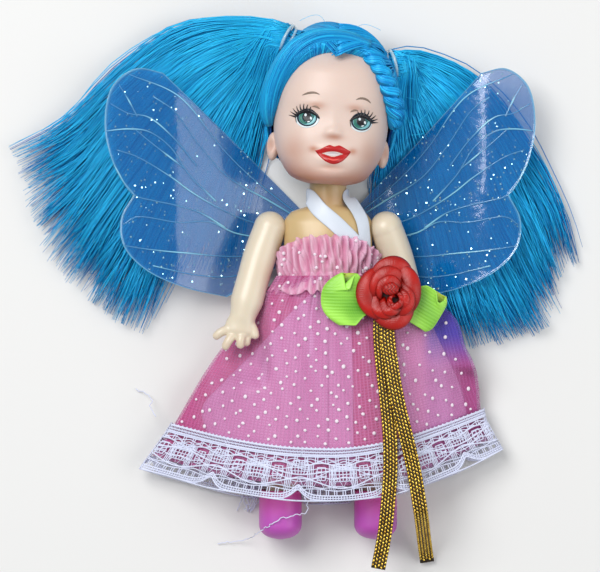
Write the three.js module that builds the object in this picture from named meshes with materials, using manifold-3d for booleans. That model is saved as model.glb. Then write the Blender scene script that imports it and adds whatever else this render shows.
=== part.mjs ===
// A small winged fairy doll lying on its back, as an assembly of separate pieces.
// Millimetres. +Z is up off the table, +Y is towards the head and +X is the doll's own left.
import * as THREE from "three";
import { mergeVertices } from "three/addons/utils/BufferGeometryUtils.js";
import Module from "manifold-3d";

// Fits
const GAP = 0.3; // between pieces that touch
const RUN = 0.35; // round a pin or a ball that turns
const SOFT_GAP = 0.35; // between one layer of cloth and the next
const FINEST = 0.02; // detail under this is left out of every surface

// Torso
const AXIS_Z = 8.6; // height of the body's axis above the table
const TORSO_WALL = 1.2;
const SHOULDER_HALF = 9.3;
const CHEST_HALF = 9.3;
const WAIST_HALF = 8.9;
const HIP_HALF = 9.8;
const CHEST_DEPTH = 5.7; // from the axis to the front or back
const BELLY_DEPTH = 6.1;
const TORSO_TOP_Y = 7.2;
const TORSO_BOTTOM_Y = -20.5;
const WEB_HALF = 1.5; // web between the legs, which carries the hip pins
const WEB_BOTTOM_Y = -25;

// Neck and head
const NECK_RADIUS = 3.9;
const NECK_TOP_Y = 11.1;
const NECK_POST_RADIUS = 2.8;
const NECK_BALL_RADIUS = 3.9;
const NECK_BALL_Y = 16;
const HEAD_ROLL_DEG = 4; // the head leans a little to the doll's left
const HEAD_WALL = 1.3;
const HEAD_BOTTOM = -4.4; // under the neck ball
const HEAD_TOP = 26.9;
const HEAD_HALF = 12;
const FACE_FRONT = 15.4; // in front of the neck axis
const HEAD_BACK = 7.2;
const CHEEK_UP = 2.4;
const CHEEK_FULLNESS = 0.035;
const NOSE_RADIUS = 1.35;
const NOSE_UP = 5.6;
const MOUTH_UP = 2.6;
const MOUTH_HALF = 3.4;
const EAR_UP = 3.9;
const EAR_HALF_HEIGHT = 3.0;
const EAR_REACH = 1.5;

// Arms
const SHOULDER_X = 13.6;
const SHOULDER_Y = 2.5;
const SHOULDER_RADIUS = 3.6;
const ARM_PEG_RADIUS = 1.9;
const ARM_FLANGE_RADIUS = 2.5;
const ARM_FLANGE_THICK = 1;
const SHOULDER_SEAT_X = 6.2; // inside of the wall that holds the flange
const RIGHT_ARM_DEG = 10; // forward of the body's plane
const LEFT_ARM_DEG = -10;
const UPPER_ARM_LENGTH = 12.2;
const FOREARM_LENGTH = 8.2;
const ARM_SPLAY_DEG = 16;
const ELBOW_RADIUS = 3.1;
const WRIST_RADIUS = 2.2;
const PALM_HALF = 3.0;
const PALM_DEPTH = 1.5;
const FINGER_LENGTH = 4.2;
const FINGER_RADIUS = 0.8;

// Legs and shoes
const HIP_X = 5.8;
const HIP_Y = -20.5;
const HIP_BARREL_RADIUS = 5.3;
const HIP_BARREL_HALF = 4.4;
const HIP_PIN_RADIUS = 1.5;
const THIGH_RADIUS = 4.6;
const KNEE_RADIUS = 4.0;
const CALF_RADIUS = 4.1;
const ANKLE_RADIUS = 2.9;
const ANKLE_X = 10;
const ANKLE_Y = -54;
const KNEE_DROP = 17; // from the hip
const CALF_DROP = 23;
const FOOT_BOTTOM_Y = -61.6;
const FOOT_HALF = 3.2;
const FOOT_LENGTH = 9.8;
const SHOE_WALL = 1;
const SHOE_TOP_Y = -52.6;
const SHOE_SOLE = 1.3;
const HEEL_Z = 0.15; // back of the shoe, which touches the table
const ANKLE_DROP = 2.8; // from the body's axis down to the ankle's

// Hair
const HAIR_THICK = 0.7;
const NAPE_UP = -1.8; // lower edge of the rooted hair
const HAIRLINE_HALF = 11.4;
const HAIRLINE_TOP = 23.2;
const HAIRLINE_MIDDLE = 8.6;
const ROLL_HALF = 2.3;
const TWIST_RADIUS = 1.45;
const TWIST_TURNS = 3;
const TIE_RADIUS = 2.3; // of the bunch inside the band
const TIE_BAND = 0.6;
const LOCK_DEPTH = 1.5; // half the height of a lock of hair
const LOCK_HALF = 4.4; // half the width of a lock where it is widest
const HAIR_REACH = 66; // from the middle to the end of the longest lock
const BUNCH_HIGH = 5.6; // height of the outermost lock near its tie
const LOOSE_Z = 2.1; // height of the locks' middles where they lie
const TABLE_CLEAR = 0.25; // under the loose hair

// Wings
const WING_THICK = 0.7;
const WING_VEIN = 0.3; // height of the raised veins
const WING_VEIN_SHARE = 0.012; // half-width of a vein, as a share of the row of veins
const WING_RISE = 8; // of the tips, which lie on the hair
const WING_CLEAR = 0.15; // under the wings, so that their hub alone rests on the table
const WING_FLAT = 8; // from the middle to where the rise starts
const WING_REACH = 38;
const WING_ROOT_X = 3.4;
const WING_ROOT_Y = 1.5;
const WING_ROOT_HALF = 2.6;
const HUB_HALF_X = 4.6;
const HUB_HALF_Y = 4;
const HUB_Y = 3.2;
const HUB_THICK = 1.4;
const WING_PEG_RADIUS = 1.5;
const WING_PEG_DEPTH = 2.4; // inside the back

// Dress
const BODICE_TOP_Y = 0.2;
const BODICE_BOTTOM_Y = -6.2;
const BODICE_THICK = 0.7;
const FRILL_DEPTH = 0.35;
const FRILL_COUNT = 13;
const ELASTIC_RADIUS = 0.3;
const WAIST_Y = -7.5; // top of the skirts
const SKIRT_THICK = 0.4;
const HEM_RIGHT_X = 38.2;
const HEM_LEFT_X = 35.4;
const HEM_Y = -54.6;
const HEM_BACK_LIFT = 3.4; // the back layer stops at the tops of the shoes
const HEM_RIGHT_LIFT = 6.4; // how much higher the hem lies at its sides
const HEM_LEFT_LIFT = 10.4;
const SKIRT_FRONT_Z = 15.3; // inside of the skirt, over the legs
const SKIRT_BACK_Z = 2.15;
const SKIRT_EDGE_Z = 5.2; // top of the skirt at its far sides
const SKIRT_SIDES = 40;
const HAND_DENT = 4.6; // how far the right arm presses the skirt down
const SIDE_PUFF = 1.6; // how far the skirt bulges at its right side
const ARM_PUFF = 5; // and at its left side, where it lies over the arm
const SKIRT_FOLDS = 5;
const SKIRT_FOLD_DEPTH = 0.7;
const UNDERSKIRT_SHARE = 0.88; // length as a share of the way to the hem
const OVERSKIRT_SHARE = 0.86;
const LACE_START_SHARE = 0.74;
const LACE_THICK = 0.35;
const LACE_COLUMNS = 33;
const LACE_ROWS = 2;
const LACE_BAR = 0.28; // half of a bar, as a share of its cell
const STRAP_WIDTH = 3.2;
const STRAP_NECK_WIDTH = 2.5;
const STRAP_THICK = 0.35;

// Flower and ribbons
const ROSE_X = 13;
const ROSE_Y = -11.2;
const ROSE_RADIUS = 7.2;
const ROSE_HEIGHT = 6;
const ROSE_PETALS = 5;
const LEAF_THICK = 0.4;
const LEAF_HEIGHT = 3.4;
const RIGHT_LEAF_LENGTH = 7.6;
const RIGHT_LEAF_WIDTH = 9.6;
const LEFT_LEAF_LENGTH = 6.4;
const LEFT_LEAF_WIDTH = 8.4;
const TAIL_WIDTH = 3.2;
const TAIL_THICK = 0.45;

const wasm = await Module();
wasm.setup();
const RIGHT = -1;
const LEFT = 1;
const rad = THREE.MathUtils.degToRad;
const lerp = THREE.MathUtils.lerp;
const point = (x, y, z) => new THREE.Vector3(x, y, z);
const ease = (t) => THREE.MathUtils.smoothstep(t, 0, 1);

// A smooth curve through pairs of place and value, without overshoot.
function through(pairs) {
  const slopes = pairs.slice(1).map(([at, v], i) => (v - pairs[i][1]) / (at - pairs[i][0]));
  const tangents = pairs.map((_, i) => {
    const before = slopes[Math.max(i - 1, 0)];
    const after = slopes[Math.min(i, slopes.length - 1)];
    return before * after <= 0 ? 0 : (2 * before * after) / (before + after);
  });
  return (at) => {
    const last = pairs.length - 2;
    const i = Math.min(Math.max(pairs.findIndex((p) => at < p[0]) - 1, 0), last);
    const from = at >= pairs[last + 1][0] ? last : i;
    const [a, va] = pairs[from];
    const [b, vb] = pairs[from + 1];
    const t = THREE.MathUtils.clamp((at - a) / (b - a), 0, 1);
    const h = b - a;
    const rest = 1 - t;
    return (
      (1 + 2 * t) * rest * rest * va + t * rest * rest * h * tangents[from] +
      t * t * (3 - 2 * t) * vb - t * t * rest * h * tangents[from + 1]
    );
  };
}

function steps(count, from = 0, to = 1) {
  return Array.from({ length: count + 1 }, (_, i) => lerp(from, to, i / count));
}

// One closed solid from points and triangles, facing out whichever way they were listed.
function solidFrom(points, faces) {
  const vertProperties = new Float32Array(points.flatMap((p) => [p.x, p.y, p.z]));
  const build = (list) =>
    new wasm.Manifold(new wasm.Mesh({ numProp: 3, vertProperties, triVerts: new Uint32Array(list.flat()) }));
  const made = build(faces);
  return made.volume() >= 0 ? made : build(faces.map(([a, b, c]) => [a, c, b]));
}

function solidOf(geometry) {
  const loose = geometry.index ? geometry.toNonIndexed() : geometry;
  const bare = new THREE.BufferGeometry().setAttribute("position", loose.getAttribute("position"));
  const merged = mergeVertices(bare, 1e-4);
  const place = merged.getAttribute("position");
  const points = Array.from({ length: place.count }, (_, i) => new THREE.Vector3().fromBufferAttribute(place, i));
  const index = merged.index.array;
  const faces = [];
  for (let i = 0; i < index.length; i += 3) {
    const face = [index[i], index[i + 1], index[i + 2]];
    if (new Set(face).size === 3) faces.push(face);
  }
  return solidFrom(points, faces);
}

function geometryOf(solid) {
  const mesh = solid.getMesh();
  const positions = new Float32Array(mesh.numVert * 3);
  for (let i = 0; i < mesh.numVert; i++)
    positions.set(mesh.vertProperties.subarray(i * mesh.numProp, i * mesh.numProp + 3), i * 3);
  const geometry = new THREE.BufferGeometry();
  geometry.setAttribute("position", new THREE.BufferAttribute(positions, 3));
  geometry.setIndex(new THREE.BufferAttribute(mesh.triVerts, 1));
  geometry.computeVertexNormals();
  return geometry;
}

// Rings of points joined in order into one solid with flat ends.
function loft(rings) {
  const sides = rings[0].length;
  const points = rings.flat();
  const faces = [];
  for (let r = 0; r + 1 < rings.length; r++)
    for (let s = 0; s < sides; s++) {
      const a = r * sides + s;
      const b = r * sides + ((s + 1) % sides);
      faces.push([a, b, b + sides], [a, b + sides, a + sides]);
    }
  const ends = [rings[0], rings[rings.length - 1]].map((ring, end) => {
    points.push(ring.reduce((sum, p) => sum.add(p), point(0, 0, 0)).divideScalar(sides));
    return { hub: points.length - 1, start: end * (rings.length - 1) * sides, end };
  });
  for (const { hub, start, end } of ends)
    for (let s = 0; s < sides; s++) {
      const pair = [start + s, start + ((s + 1) % sides)];
      faces.push(end ? [hub, ...pair] : [hub, ...pair.reverse()]);
    }
  return solidFrom(points, faces);
}

// A tube's wall between two skins, each of as many rings. Both skins split their faces the same way, so
// that a skin inside another never cuts it.
function shell(outer, inner) {
  const sides = outer[0].length;
  const last = outer.length - 1;
  const at = (skin, r, s) => (skin * (last + 1) + r) * sides + (s % sides);
  const faces = [];
  for (let s = 0; s < sides; s++) {
    for (let r = 0; r < last; r++) {
      const [a, b, c, d] = [[r, s], [r, s + 1], [r + 1, s + 1], [r + 1, s]];
      faces.push([at(0, ...a), at(0, ...b), at(0, ...c)], [at(0, ...a), at(0, ...c), at(0, ...d)]);
      faces.push([at(1, ...a), at(1, ...c), at(1, ...b)], [at(1, ...a), at(1, ...d), at(1, ...c)]);
    }
    faces.push([at(0, 0, s + 1), at(0, 0, s), at(1, 0, s)], [at(0, 0, s + 1), at(1, 0, s), at(1, 0, s + 1)]);
    faces.push([at(0, last, s), at(0, last, s + 1), at(1, last, s + 1)]);
    faces.push([at(0, last, s), at(1, last, s + 1), at(1, last, s)]);
  }
  return solidFrom([...outer, ...inner].flat(), faces);
}

// A ring across a limb: side is its half-width in X, depth its half-width across that.
function limbRing({ at, side, depth }, along, sides) {
  const right = point(1, 0, 0).addScaledVector(along, -along.x).normalize();
  const front = new THREE.Vector3().crossVectors(along, right).normalize();
  return steps(sides).slice(0, sides).map((share) => {
    const a = share * 2 * Math.PI;
    return at.clone().addScaledVector(right, side * Math.cos(a)).addScaledVector(front, depth * Math.sin(a));
  });
}

// A limb through a few stations, with rounded ends.
function limb(stations, { rings = 10, sides = 14, ends = [0.62, 0.9] } = {}) {
  const spine = new THREE.CatmullRomCurve3(stations.map((s) => s.at));
  const n = stations.length - 1;
  const side = through(stations.map((s, i) => [i / n, s.side]));
  const depth = through(stations.map((s, i) => [i / n, s.depth]));
  const made = steps(rings).map((t) => {
    const along = spine.getTangent(t);
    return limbRing({ at: spine.getPoint(t), side: side(t), depth: depth(t) }, along, sides);
  });
  const dome = (end, t) =>
    ends.map((out) => {
      const along = spine.getTangent(t);
      const at = spine.getPoint(t).addScaledVector(along, end * out * Math.min(side(t), depth(t)));
      const small = Math.sqrt(1 - out * out);
      return limbRing({ at, side: side(t) * small, depth: depth(t) * small }, along, sides);
    });
  return loft([...dome(-1, 0).reverse(), ...made, ...dome(1, 1)]);
}

function ball(radius, at, { stretch = point(1, 1, 1), across = 16, down = 8 } = {}) {
  const geometry = new THREE.SphereGeometry(radius, across, down);
  geometry.scale(stretch.x, stretch.y, stretch.z).translate(at.x, at.y, at.z);
  return solidOf(geometry);
}

// A round bar between two points, with a radius at each.
function bar(from, to, radius, endRadius = radius, sides = 18) {
  const length = from.distanceTo(to);
  const geometry = new THREE.CylinderGeometry(endRadius, radius, length, sides);
  geometry.applyQuaternion(
    new THREE.Quaternion().setFromUnitVectors(point(0, 1, 0), to.clone().sub(from).normalize()),
  );
  const middle = from.clone().lerp(to, 0.5);
  geometry.translate(middle.x, middle.y, middle.z);
  return solidOf(geometry);
}

function block(low, high) {
  const size = high.clone().sub(low);
  const middle = low.clone().lerp(high, 0.5);
  return solidOf(new THREE.BoxGeometry(size.x, size.y, size.z).translate(middle.x, middle.y, middle.z));
}

// A solid swept along a route. up gives the side it faces, and section(t) its outline as pairs across and up.
function sweep(route, section, { up = () => point(0, 0, 1), count = 12 } = {}) {
  const curve = new THREE.CatmullRomCurve3(route, false, "centripetal");
  return loft(
    steps(count).map((t) => {
      const at = curve.getPoint(t);
      const along = curve.getTangent(t);
      const rise = up(at).clone();
      rise.addScaledVector(along, -rise.dot(along)).normalize();
      const across = new THREE.Vector3().crossVectors(along, rise);
      return section(t).map(([a, r]) => at.clone().addScaledVector(across, a).addScaledVector(rise, r));
    }),
  );
}

const strip = (width, thick) =>
  [[1, 1], [-1, 1], [-1, -1], [1, -1]].map(([a, r]) => [(a * width) / 2, (r * thick) / 2]);

const oval = (half, rise, sides = 8, turn = 0) =>
  steps(sides).slice(0, sides).map((share) => {
    const a = (share + turn) * 2 * Math.PI;
    return [half * Math.cos(a), rise * Math.sin(a)];
  });

const joined = (solids) => solids.slice(1).reduce((sum, s) => sum.add(s), solids[0]);

const doll = new THREE.Group();

function place(name, solid, colour, { roughness = 0.5, metalness = 0, parent = doll } = {}) {
  const material = new THREE.MeshStandardMaterial({ color: colour, roughness, metalness });
  const mesh = new THREE.Mesh(geometryOf(solid.simplify(FINEST)), material);
  mesh.name = name;
  parent.add(mesh);
  return mesh;
}

// Colours
const BODY_PLASTIC = 0xe3c49a;
const LIMB_VINYL = 0xf0d2b4;
const HEAD_VINYL = 0xf2c8b4;
const HAIR_BLUE = 0x0a86cf;
const CLEAR_BAND = 0xd6e6ea;
const WING_BLUE = 0x4fb2cc;
const DRESS_PINK = 0xf26fa5;
const LINING_PINK = 0xe58fc0;
const LACE_WHITE = 0xf4f1f5;
const ROSE_RED = 0xb01018;
const LEAF_GREEN = 0xb6e62c;
const BRAID_GOLD = 0x8a6a1c;
const SHOE_PINK = 0xd44fc0;

// The torso: two welded half shells
const torsoHalf = through([
  [WEB_BOTTOM_Y, HIP_HALF * 0.55],
  [TORSO_BOTTOM_Y, HIP_HALF * 0.96],
  [-16, HIP_HALF],
  [-8.5, WAIST_HALF],
  [-1, CHEST_HALF],
  [3.4, SHOULDER_HALF],
  [5.8, SHOULDER_HALF * 0.84],
  [TORSO_TOP_Y, NECK_RADIUS],
]);
const torsoDepth = through([
  [WEB_BOTTOM_Y, BELLY_DEPTH * 0.55],
  [TORSO_BOTTOM_Y, BELLY_DEPTH * 0.84],
  [-15, BELLY_DEPTH],
  [-8, BELLY_DEPTH * 0.96],
  [-1, CHEST_DEPTH],
  [3.4, CHEST_DEPTH * 0.88],
  [5.8, NECK_RADIUS * 1.08],
  [TORSO_TOP_Y, NECK_RADIUS],
]);

// A ring round the torso, a distance outside it
function torsoRing(y, grow, sides, wave = () => 0) {
  return steps(sides).slice(0, sides).map((share) => {
    const a = share * 2 * Math.PI;
    const out = grow + wave(share);
    return point((torsoHalf(y) + out) * Math.cos(a), y, AXIS_Z + (torsoDepth(y) + out) * Math.sin(a));
  });
}

const hip = (side) => point(side * HIP_X, HIP_Y, AXIS_Z);
const shoulder = (side) => point(side * SHOULDER_X, SHOULDER_Y, AXIS_Z);
const inwards = (at, x) => point(x, at.y, at.z);

function torsoSolid() {
  const ys = [...steps(11, WEB_BOTTOM_Y, 3), 4.6, 5.8, 6.6, TORSO_TOP_Y];
  const body = loft(ys.map((y) => torsoRing(y, 0, 22)));
  const neckTop = point(0, NECK_TOP_Y, AXIS_Z);
  const ballAt = point(0, NECK_BALL_Y, AXIS_Z);
  const neck = bar(point(0, TORSO_TOP_Y - 1, AXIS_Z), neckTop, NECK_RADIUS, NECK_RADIUS * 0.96);
  const post = bar(point(0, NECK_TOP_Y - 1, AXIS_Z), ballAt, NECK_POST_RADIUS);
  const hollow = loft(
    steps(5, -12.5, 4).map((y) => torsoRing(y, -TORSO_WALL, 18)),
  );
  const neckBall = ball(NECK_BALL_RADIUS, ballAt, { stretch: point(1, 0.8, 1) });
  let solid = joined([body, neck, post, neckBall]).subtract(hollow);
  for (const side of [RIGHT, LEFT]) {
    const socketRadius = HIP_BARREL_RADIUS + RUN;
    const socket = bar(
      inwards(hip(side), side * WEB_HALF), inwards(hip(side), side * 20), socketRadius, socketRadius, 24,
    );
    const pinHoleRadius = HIP_PIN_RADIUS + RUN;
    const pinHole = bar(hip(side), inwards(hip(side), side * 0.4), pinHoleRadius, pinHoleRadius, 12);
    const armHole = bar(
      inwards(shoulder(side), side * 4), inwards(shoulder(side), side * 12),
      ARM_PEG_RADIUS + RUN, ARM_PEG_RADIUS + RUN, 14,
    );
    const pocketRadius = ARM_FLANGE_RADIUS + RUN;
    const pocket = bar(
      inwards(shoulder(side), side * 3.5), inwards(shoulder(side), side * SHOULDER_SEAT_X),
      pocketRadius, pocketRadius, 14,
    );
    solid = solid.subtract(socket).subtract(pinHole).subtract(armHole).subtract(pocket);
  }
  const pegHole = bar(
    point(0, HUB_Y, -1), point(0, HUB_Y, AXIS_Z - 2), WING_PEG_RADIUS + GAP, WING_PEG_RADIUS + GAP, 20,
  );
  return solid.subtract(pegHole);
}

function addTorso() {
  const solid = torsoSolid();
  const far = 60;
  const frontHalf = block(point(-far, -far, AXIS_Z + GAP / 2), point(far, far, far));
  const backHalf = block(point(-far, -far, -far), point(far, far, AXIS_Z - GAP / 2));
  place("torso_front", solid.intersect(frontHalf), BODY_PLASTIC, { roughness: 0.35 });
  place("torso_back", solid.intersect(backHalf), BODY_PLASTIC, { roughness: 0.35 });
}

// The head, in a frame of its own on the neck ball: u is to the side, v up the head and w out of the face
const head = new THREE.Group();
head.position.set(0, NECK_BALL_Y, AXIS_Z);
head.rotation.z = -rad(HEAD_ROLL_DEG);
doll.add(head);

const onHead = (u, v, w) => point(u * HEAD_HALF, v * HEAD_TOP, w * FACE_FRONT);
const headShare = (v) => (v - HEAD_BOTTOM) / (HEAD_TOP - HEAD_BOTTOM);
const headHalfShare = through([
  [0, 0.4], [0.02, 0.6], [0.06, 0.77], [0.11, 0.87], [0.17, 0.93], [0.27, 0.985], [0.43, 1], [0.59, 0.985],
  [0.72, 0.925], [0.84, 0.78], [0.94, 0.54], [0.985, 0.3], [1, 0.12],
]);
const headFrontShare = through([
  [0, 0.74], [0.02, 0.84], [0.06, 0.92], [0.11, 0.965], [0.17, 0.98], [0.3, 0.985], [0.43, 0.975], [0.58, 1],
  [0.72, 0.955], [0.84, 0.8], [0.94, 0.58], [0.985, 0.4], [1, 0.3],
]);
const headBackShare = through([
  [0, 0.62], [0.02, 0.74], [0.06, 0.83], [0.11, 0.89], [0.17, 0.93], [0.27, 0.975], [0.43, 1], [0.6, 0.97],
  [0.72, 0.87], [0.84, 0.66], [0.94, 0.3], [0.985, 0.02], [1, -0.14],
]);

function headRing(v, grow, sides) {
  const share = headShare(v);
  const half = HEAD_HALF * headHalfShare(share) + grow;
  const front = FACE_FRONT * headFrontShare(share) + grow;
  const back = HEAD_BACK * headBackShare(share) + grow;
  const middle = (front - back) / 2;
  const depth = (front + back) / 2;
  return steps(sides).slice(0, sides).map((s) => {
    const a = s * 2 * Math.PI;
    const full = Math.sign(Math.sin(a)) * Math.abs(Math.sin(a)) ** 0.9;
    const cheek = CHEEK_FULLNESS * Math.exp(-(((v - CHEEK_UP) / 4.5) ** 2)) * Math.sin(2 * a) ** 2;
    const swell = a < Math.PI ? 1 + cheek : 1;
    return point(half * Math.cos(a) * swell, v, middle + depth * full * swell);
  });
}

// The head's solid, grown all round by a distance
function headLoft(grow, { sides = 22, from = HEAD_BOTTOM, rings = 12 } = {}) {
  const shares = steps(rings).map((t) => (1 - Math.cos(Math.PI * t)) / 2);
  return loft(
    shares.map((share) => {
      const v = lerp(from, HEAD_TOP, share);
      const lift = lerp(-grow, grow, share);
      return headRing(v, grow, sides).map((p) => p.setY(v + lift));
    }),
  );
}

function addHead() {
  const inside = headLoft(-HEAD_WALL, { sides: 14, rings: 6 });
  const holeRadius = (NECK_POST_RADIUS + NECK_BALL_RADIUS) / 2 + RUN / 2;
  const neckHole = bar(point(0, HEAD_BOTTOM - 2, 0), point(0, 0, 0), holeRadius);
  const faceAt = (v) => FACE_FRONT * headFrontShare(headShare(v));
  const nose = ball(NOSE_RADIUS, point(0, NOSE_UP, faceAt(NOSE_UP) - 0.2), {
    stretch: point(1, 0.85, 1), across: 12, down: 8,
  });
  const lip = (up, half) =>
    ball(half, point(0, MOUTH_UP + up, faceAt(MOUTH_UP) - 0.35), {
      stretch: point(1, 0.26, 0.24), across: 12, down: 6,
    });
  const ears = [RIGHT, LEFT].map((side) => {
    const at = point(side * (HEAD_HALF + EAR_REACH - 1.3), EAR_UP, 3.2);
    const lobe = ball(EAR_HALF_HEIGHT, at, { stretch: point(0.42, 1, 0.6), across: 12, down: 8 });
    const dish = ball(EAR_HALF_HEIGHT * 0.6, at.clone().add(point(side * 0.9, 0.3, 1.3)), {
      stretch: point(0.5, 1, 0.6), across: 10, down: 6,
    });
    return lobe.subtract(dish);
  });
  const outside = joined([headLoft(0), nose, lip(0.75, MOUTH_HALF), lip(-0.75, MOUTH_HALF * 0.8), ...ears]);
  const solid = outside.subtract(inside).subtract(neckHole);
  place("head_shell", solid, HEAD_VINYL, { roughness: 0.45, parent: head });
}

// Arms: each hangs in a frame at its shoulder, which is turned to the way it lies
function armSolid(side) {
  const splay = rad(ARM_SPLAY_DEG);
  const down = (length, bend = 0) =>
    point(side * Math.sin(splay - rad(bend)) * length, -Math.cos(splay - rad(bend)) * length, 0);
  const elbow = down(UPPER_ARM_LENGTH, 1).add(point(0, 0, 0.3));
  const wrist = elbow.clone().add(down(FOREARM_LENGTH, 0));
  const palm = wrist.clone().add(down(2.6, -2));
  const knuckles = palm.clone().add(down(1.7, -4));
  const arm = limb(
    [
      { at: down(1.2).add(point(side * 0.1, 0, 0)), side: SHOULDER_RADIUS, depth: SHOULDER_RADIUS },
      { at: down(6), side: SHOULDER_RADIUS * 0.97, depth: SHOULDER_RADIUS * 0.95 },
      { at: elbow, side: ELBOW_RADIUS, depth: ELBOW_RADIUS * 0.95 },
      { at: elbow.clone().lerp(wrist, 0.45), side: ELBOW_RADIUS, depth: ELBOW_RADIUS * 0.9 },
      { at: wrist, side: WRIST_RADIUS, depth: WRIST_RADIUS * 0.9 },
      { at: palm, side: PALM_HALF, depth: PALM_DEPTH },
      { at: knuckles, side: PALM_HALF * 0.96, depth: PALM_DEPTH * 0.8 },
    ],
    { rings: 11, sides: 11 },
  );
  const fingers = steps(3, -0.78, 0.62).map((across, i) => {
    const root = knuckles.clone().add(point(side * across * -PALM_HALF, 0.2, 0));
    const reach = FINGER_LENGTH * (i === 0 || i === 3 ? 0.86 : 1);
    const tip = root.clone().add(down(reach, across * 26));
    const middle = root.clone().lerp(tip, 0.6).add(point(0, 0, 0.25));
    return limb(
      [
        { at: root, side: FINGER_RADIUS, depth: FINGER_RADIUS },
        { at: middle, side: FINGER_RADIUS * 0.92, depth: FINGER_RADIUS * 0.9 },
        { at: tip, side: FINGER_RADIUS * 0.72, depth: FINGER_RADIUS * 0.7 },
      ],
      { rings: 2, sides: 6, ends: [0.7] },
    );
  });
  const thumbRoot = palm.clone().add(point(-side * PALM_HALF * 0.7, 0.6, 0));
  const thick = FINGER_RADIUS;
  const thumb = limb(
    [
      { at: thumbRoot, side: thick * 1.1, depth: thick },
      { at: thumbRoot.clone().add(point(-side * 1.5, -1.7, 0.2)), side: thick, depth: thick },
      { at: thumbRoot.clone().add(point(-side * 2.1, -3.4, 0.2)), side: thick * 0.8, depth: thick * 0.8 },
    ],
    { rings: 2, sides: 6, ends: [0.7] },
  );
  const seat = SHOULDER_SEAT_X - GAP - SHOULDER_X;
  const pegEnd = point(side * (seat - ARM_FLANGE_THICK), 0, 0);
  const peg = bar(point(0, 0, 0), pegEnd, ARM_PEG_RADIUS, ARM_PEG_RADIUS, 12);
  const flange = bar(pegEnd, point(side * seat, 0, 0), ARM_FLANGE_RADIUS * 0.8, ARM_FLANGE_RADIUS, 12);
  return joined([arm, peg, flange, thumb, ...fingers]);
}

function addArm(name, side, forwardDeg) {
  const mesh = place(name, armSolid(side), LIMB_VINYL, { roughness: 0.3 });
  mesh.position.copy(shoulder(side));
  mesh.rotation.x = -rad(forwardDeg);
}

// Legs: a barrel at the hip with a pin into the web, then thigh, calf and foot
const ankle = (side) => point(side * ANKLE_X, ANKLE_Y, AXIS_Z - ANKLE_DROP);
const footHeelZ = HEEL_Z + SHOE_WALL + GAP;

function legSolid(side) {
  const top = hip(side);
  const foot = ankle(side);
  const share = (drop) => top.clone().lerp(foot, drop / (HIP_Y - ANKLE_Y));
  const shaft = limb(
    [
      { at: share(2.5), side: THIGH_RADIUS, depth: THIGH_RADIUS },
      { at: share(9), side: THIGH_RADIUS * 0.98, depth: THIGH_RADIUS },
      { at: share(KNEE_DROP), side: KNEE_RADIUS, depth: KNEE_RADIUS },
      { at: share(CALF_DROP), side: CALF_RADIUS, depth: CALF_RADIUS },
      { at: share(29), side: (CALF_RADIUS + ANKLE_RADIUS) / 2, depth: (CALF_RADIUS + ANKLE_RADIUS) / 2 },
      { at: foot, side: ANKLE_RADIUS, depth: ANKLE_RADIUS },
      { at: point(foot.x, FOOT_BOTTOM_Y + 3, foot.z), side: ANKLE_RADIUS, depth: ANKLE_RADIUS },
    ],
    { rings: 9, sides: 13 },
  );
  const barrelRing = (x, radius) =>
    steps(18).slice(0, 18).map((s) => {
      const a = s * 2 * Math.PI;
      return point(top.x + side * x, top.y + radius * Math.cos(a), top.z + radius * Math.sin(a));
    });
  const barrel = loft([
    barrelRing(-HIP_BARREL_HALF + 0.4, HIP_BARREL_RADIUS - 0.2),
    barrelRing(0, HIP_BARREL_RADIUS),
    barrelRing(HIP_BARREL_HALF * 0.6, HIP_BARREL_RADIUS * 0.93),
    barrelRing(HIP_BARREL_HALF * 0.9, HIP_BARREL_RADIUS * 0.72),
    barrelRing(HIP_BARREL_HALF, HIP_BARREL_RADIUS * 0.45),
  ]);
  const inner = block(point(side < 0 ? -60 : -1, -90, -5), point(side < 0 ? -WEB_HALF - GAP : 60, 0, 40));
  const clear = side < 0 ? inner : block(point(WEB_HALF + GAP, -90, -5), point(60, 0, 40));
  const pin = bar(top, inwards(top, side * 0.75), HIP_PIN_RADIUS, HIP_PIN_RADIUS, 16);
  return joined([shaft, barrel, footSolid(side, 0)]).intersect(clear).add(pin);
}

// The foot's outline, seen along the leg, is a long oval; it is straight so that the shoe slides off it
function footSolid(side, grow, top = ANKLE_Y - 1.5, bottom = FOOT_BOTTOM_Y) {
  const half = FOOT_HALF + grow;
  const middle = footHeelZ + FOOT_LENGTH / 2;
  const reach = FOOT_LENGTH / 2 + grow;
  const ring = (y, share) =>
    steps(16).slice(0, 16).map((s) => {
      const a = s * 2 * Math.PI;
      const oval = Math.sign(Math.sin(a)) * Math.abs(Math.sin(a)) ** 0.85;
      return point(side * ANKLE_X + half * share * Math.cos(a), y, middle + reach * share * oval);
    });
  const round = (top - bottom) * 0.22;
  return loft([ring(top, 1), ring(bottom + round, 1), ring(bottom + round * 0.35, 0.93), ring(bottom, 0.76)]);
}

function addLeg(name, side) {
  place(name, legSolid(side), LIMB_VINYL, { roughness: 0.3 });
}

function addShoe(name, side) {
  const outerGrow = GAP + SHOE_WALL;
  const outside = footSolid(side, outerGrow, SHOE_TOP_Y, FOOT_BOTTOM_Y - SHOE_SOLE);
  const inside = footSolid(side, GAP, SHOE_TOP_Y + 1, FOOT_BOTTOM_Y - GAP);
  place(name, outside.subtract(inside), SHOE_PINK, { roughness: 0.4 });
}

// The rooted hair, combed back over the head
const SCALP_GROW = GAP + HAIR_THICK;
const overScalp = () => headLoft(SCALP_GROW + GAP * 1.5, { sides: 16, rings: 8 });

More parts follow.
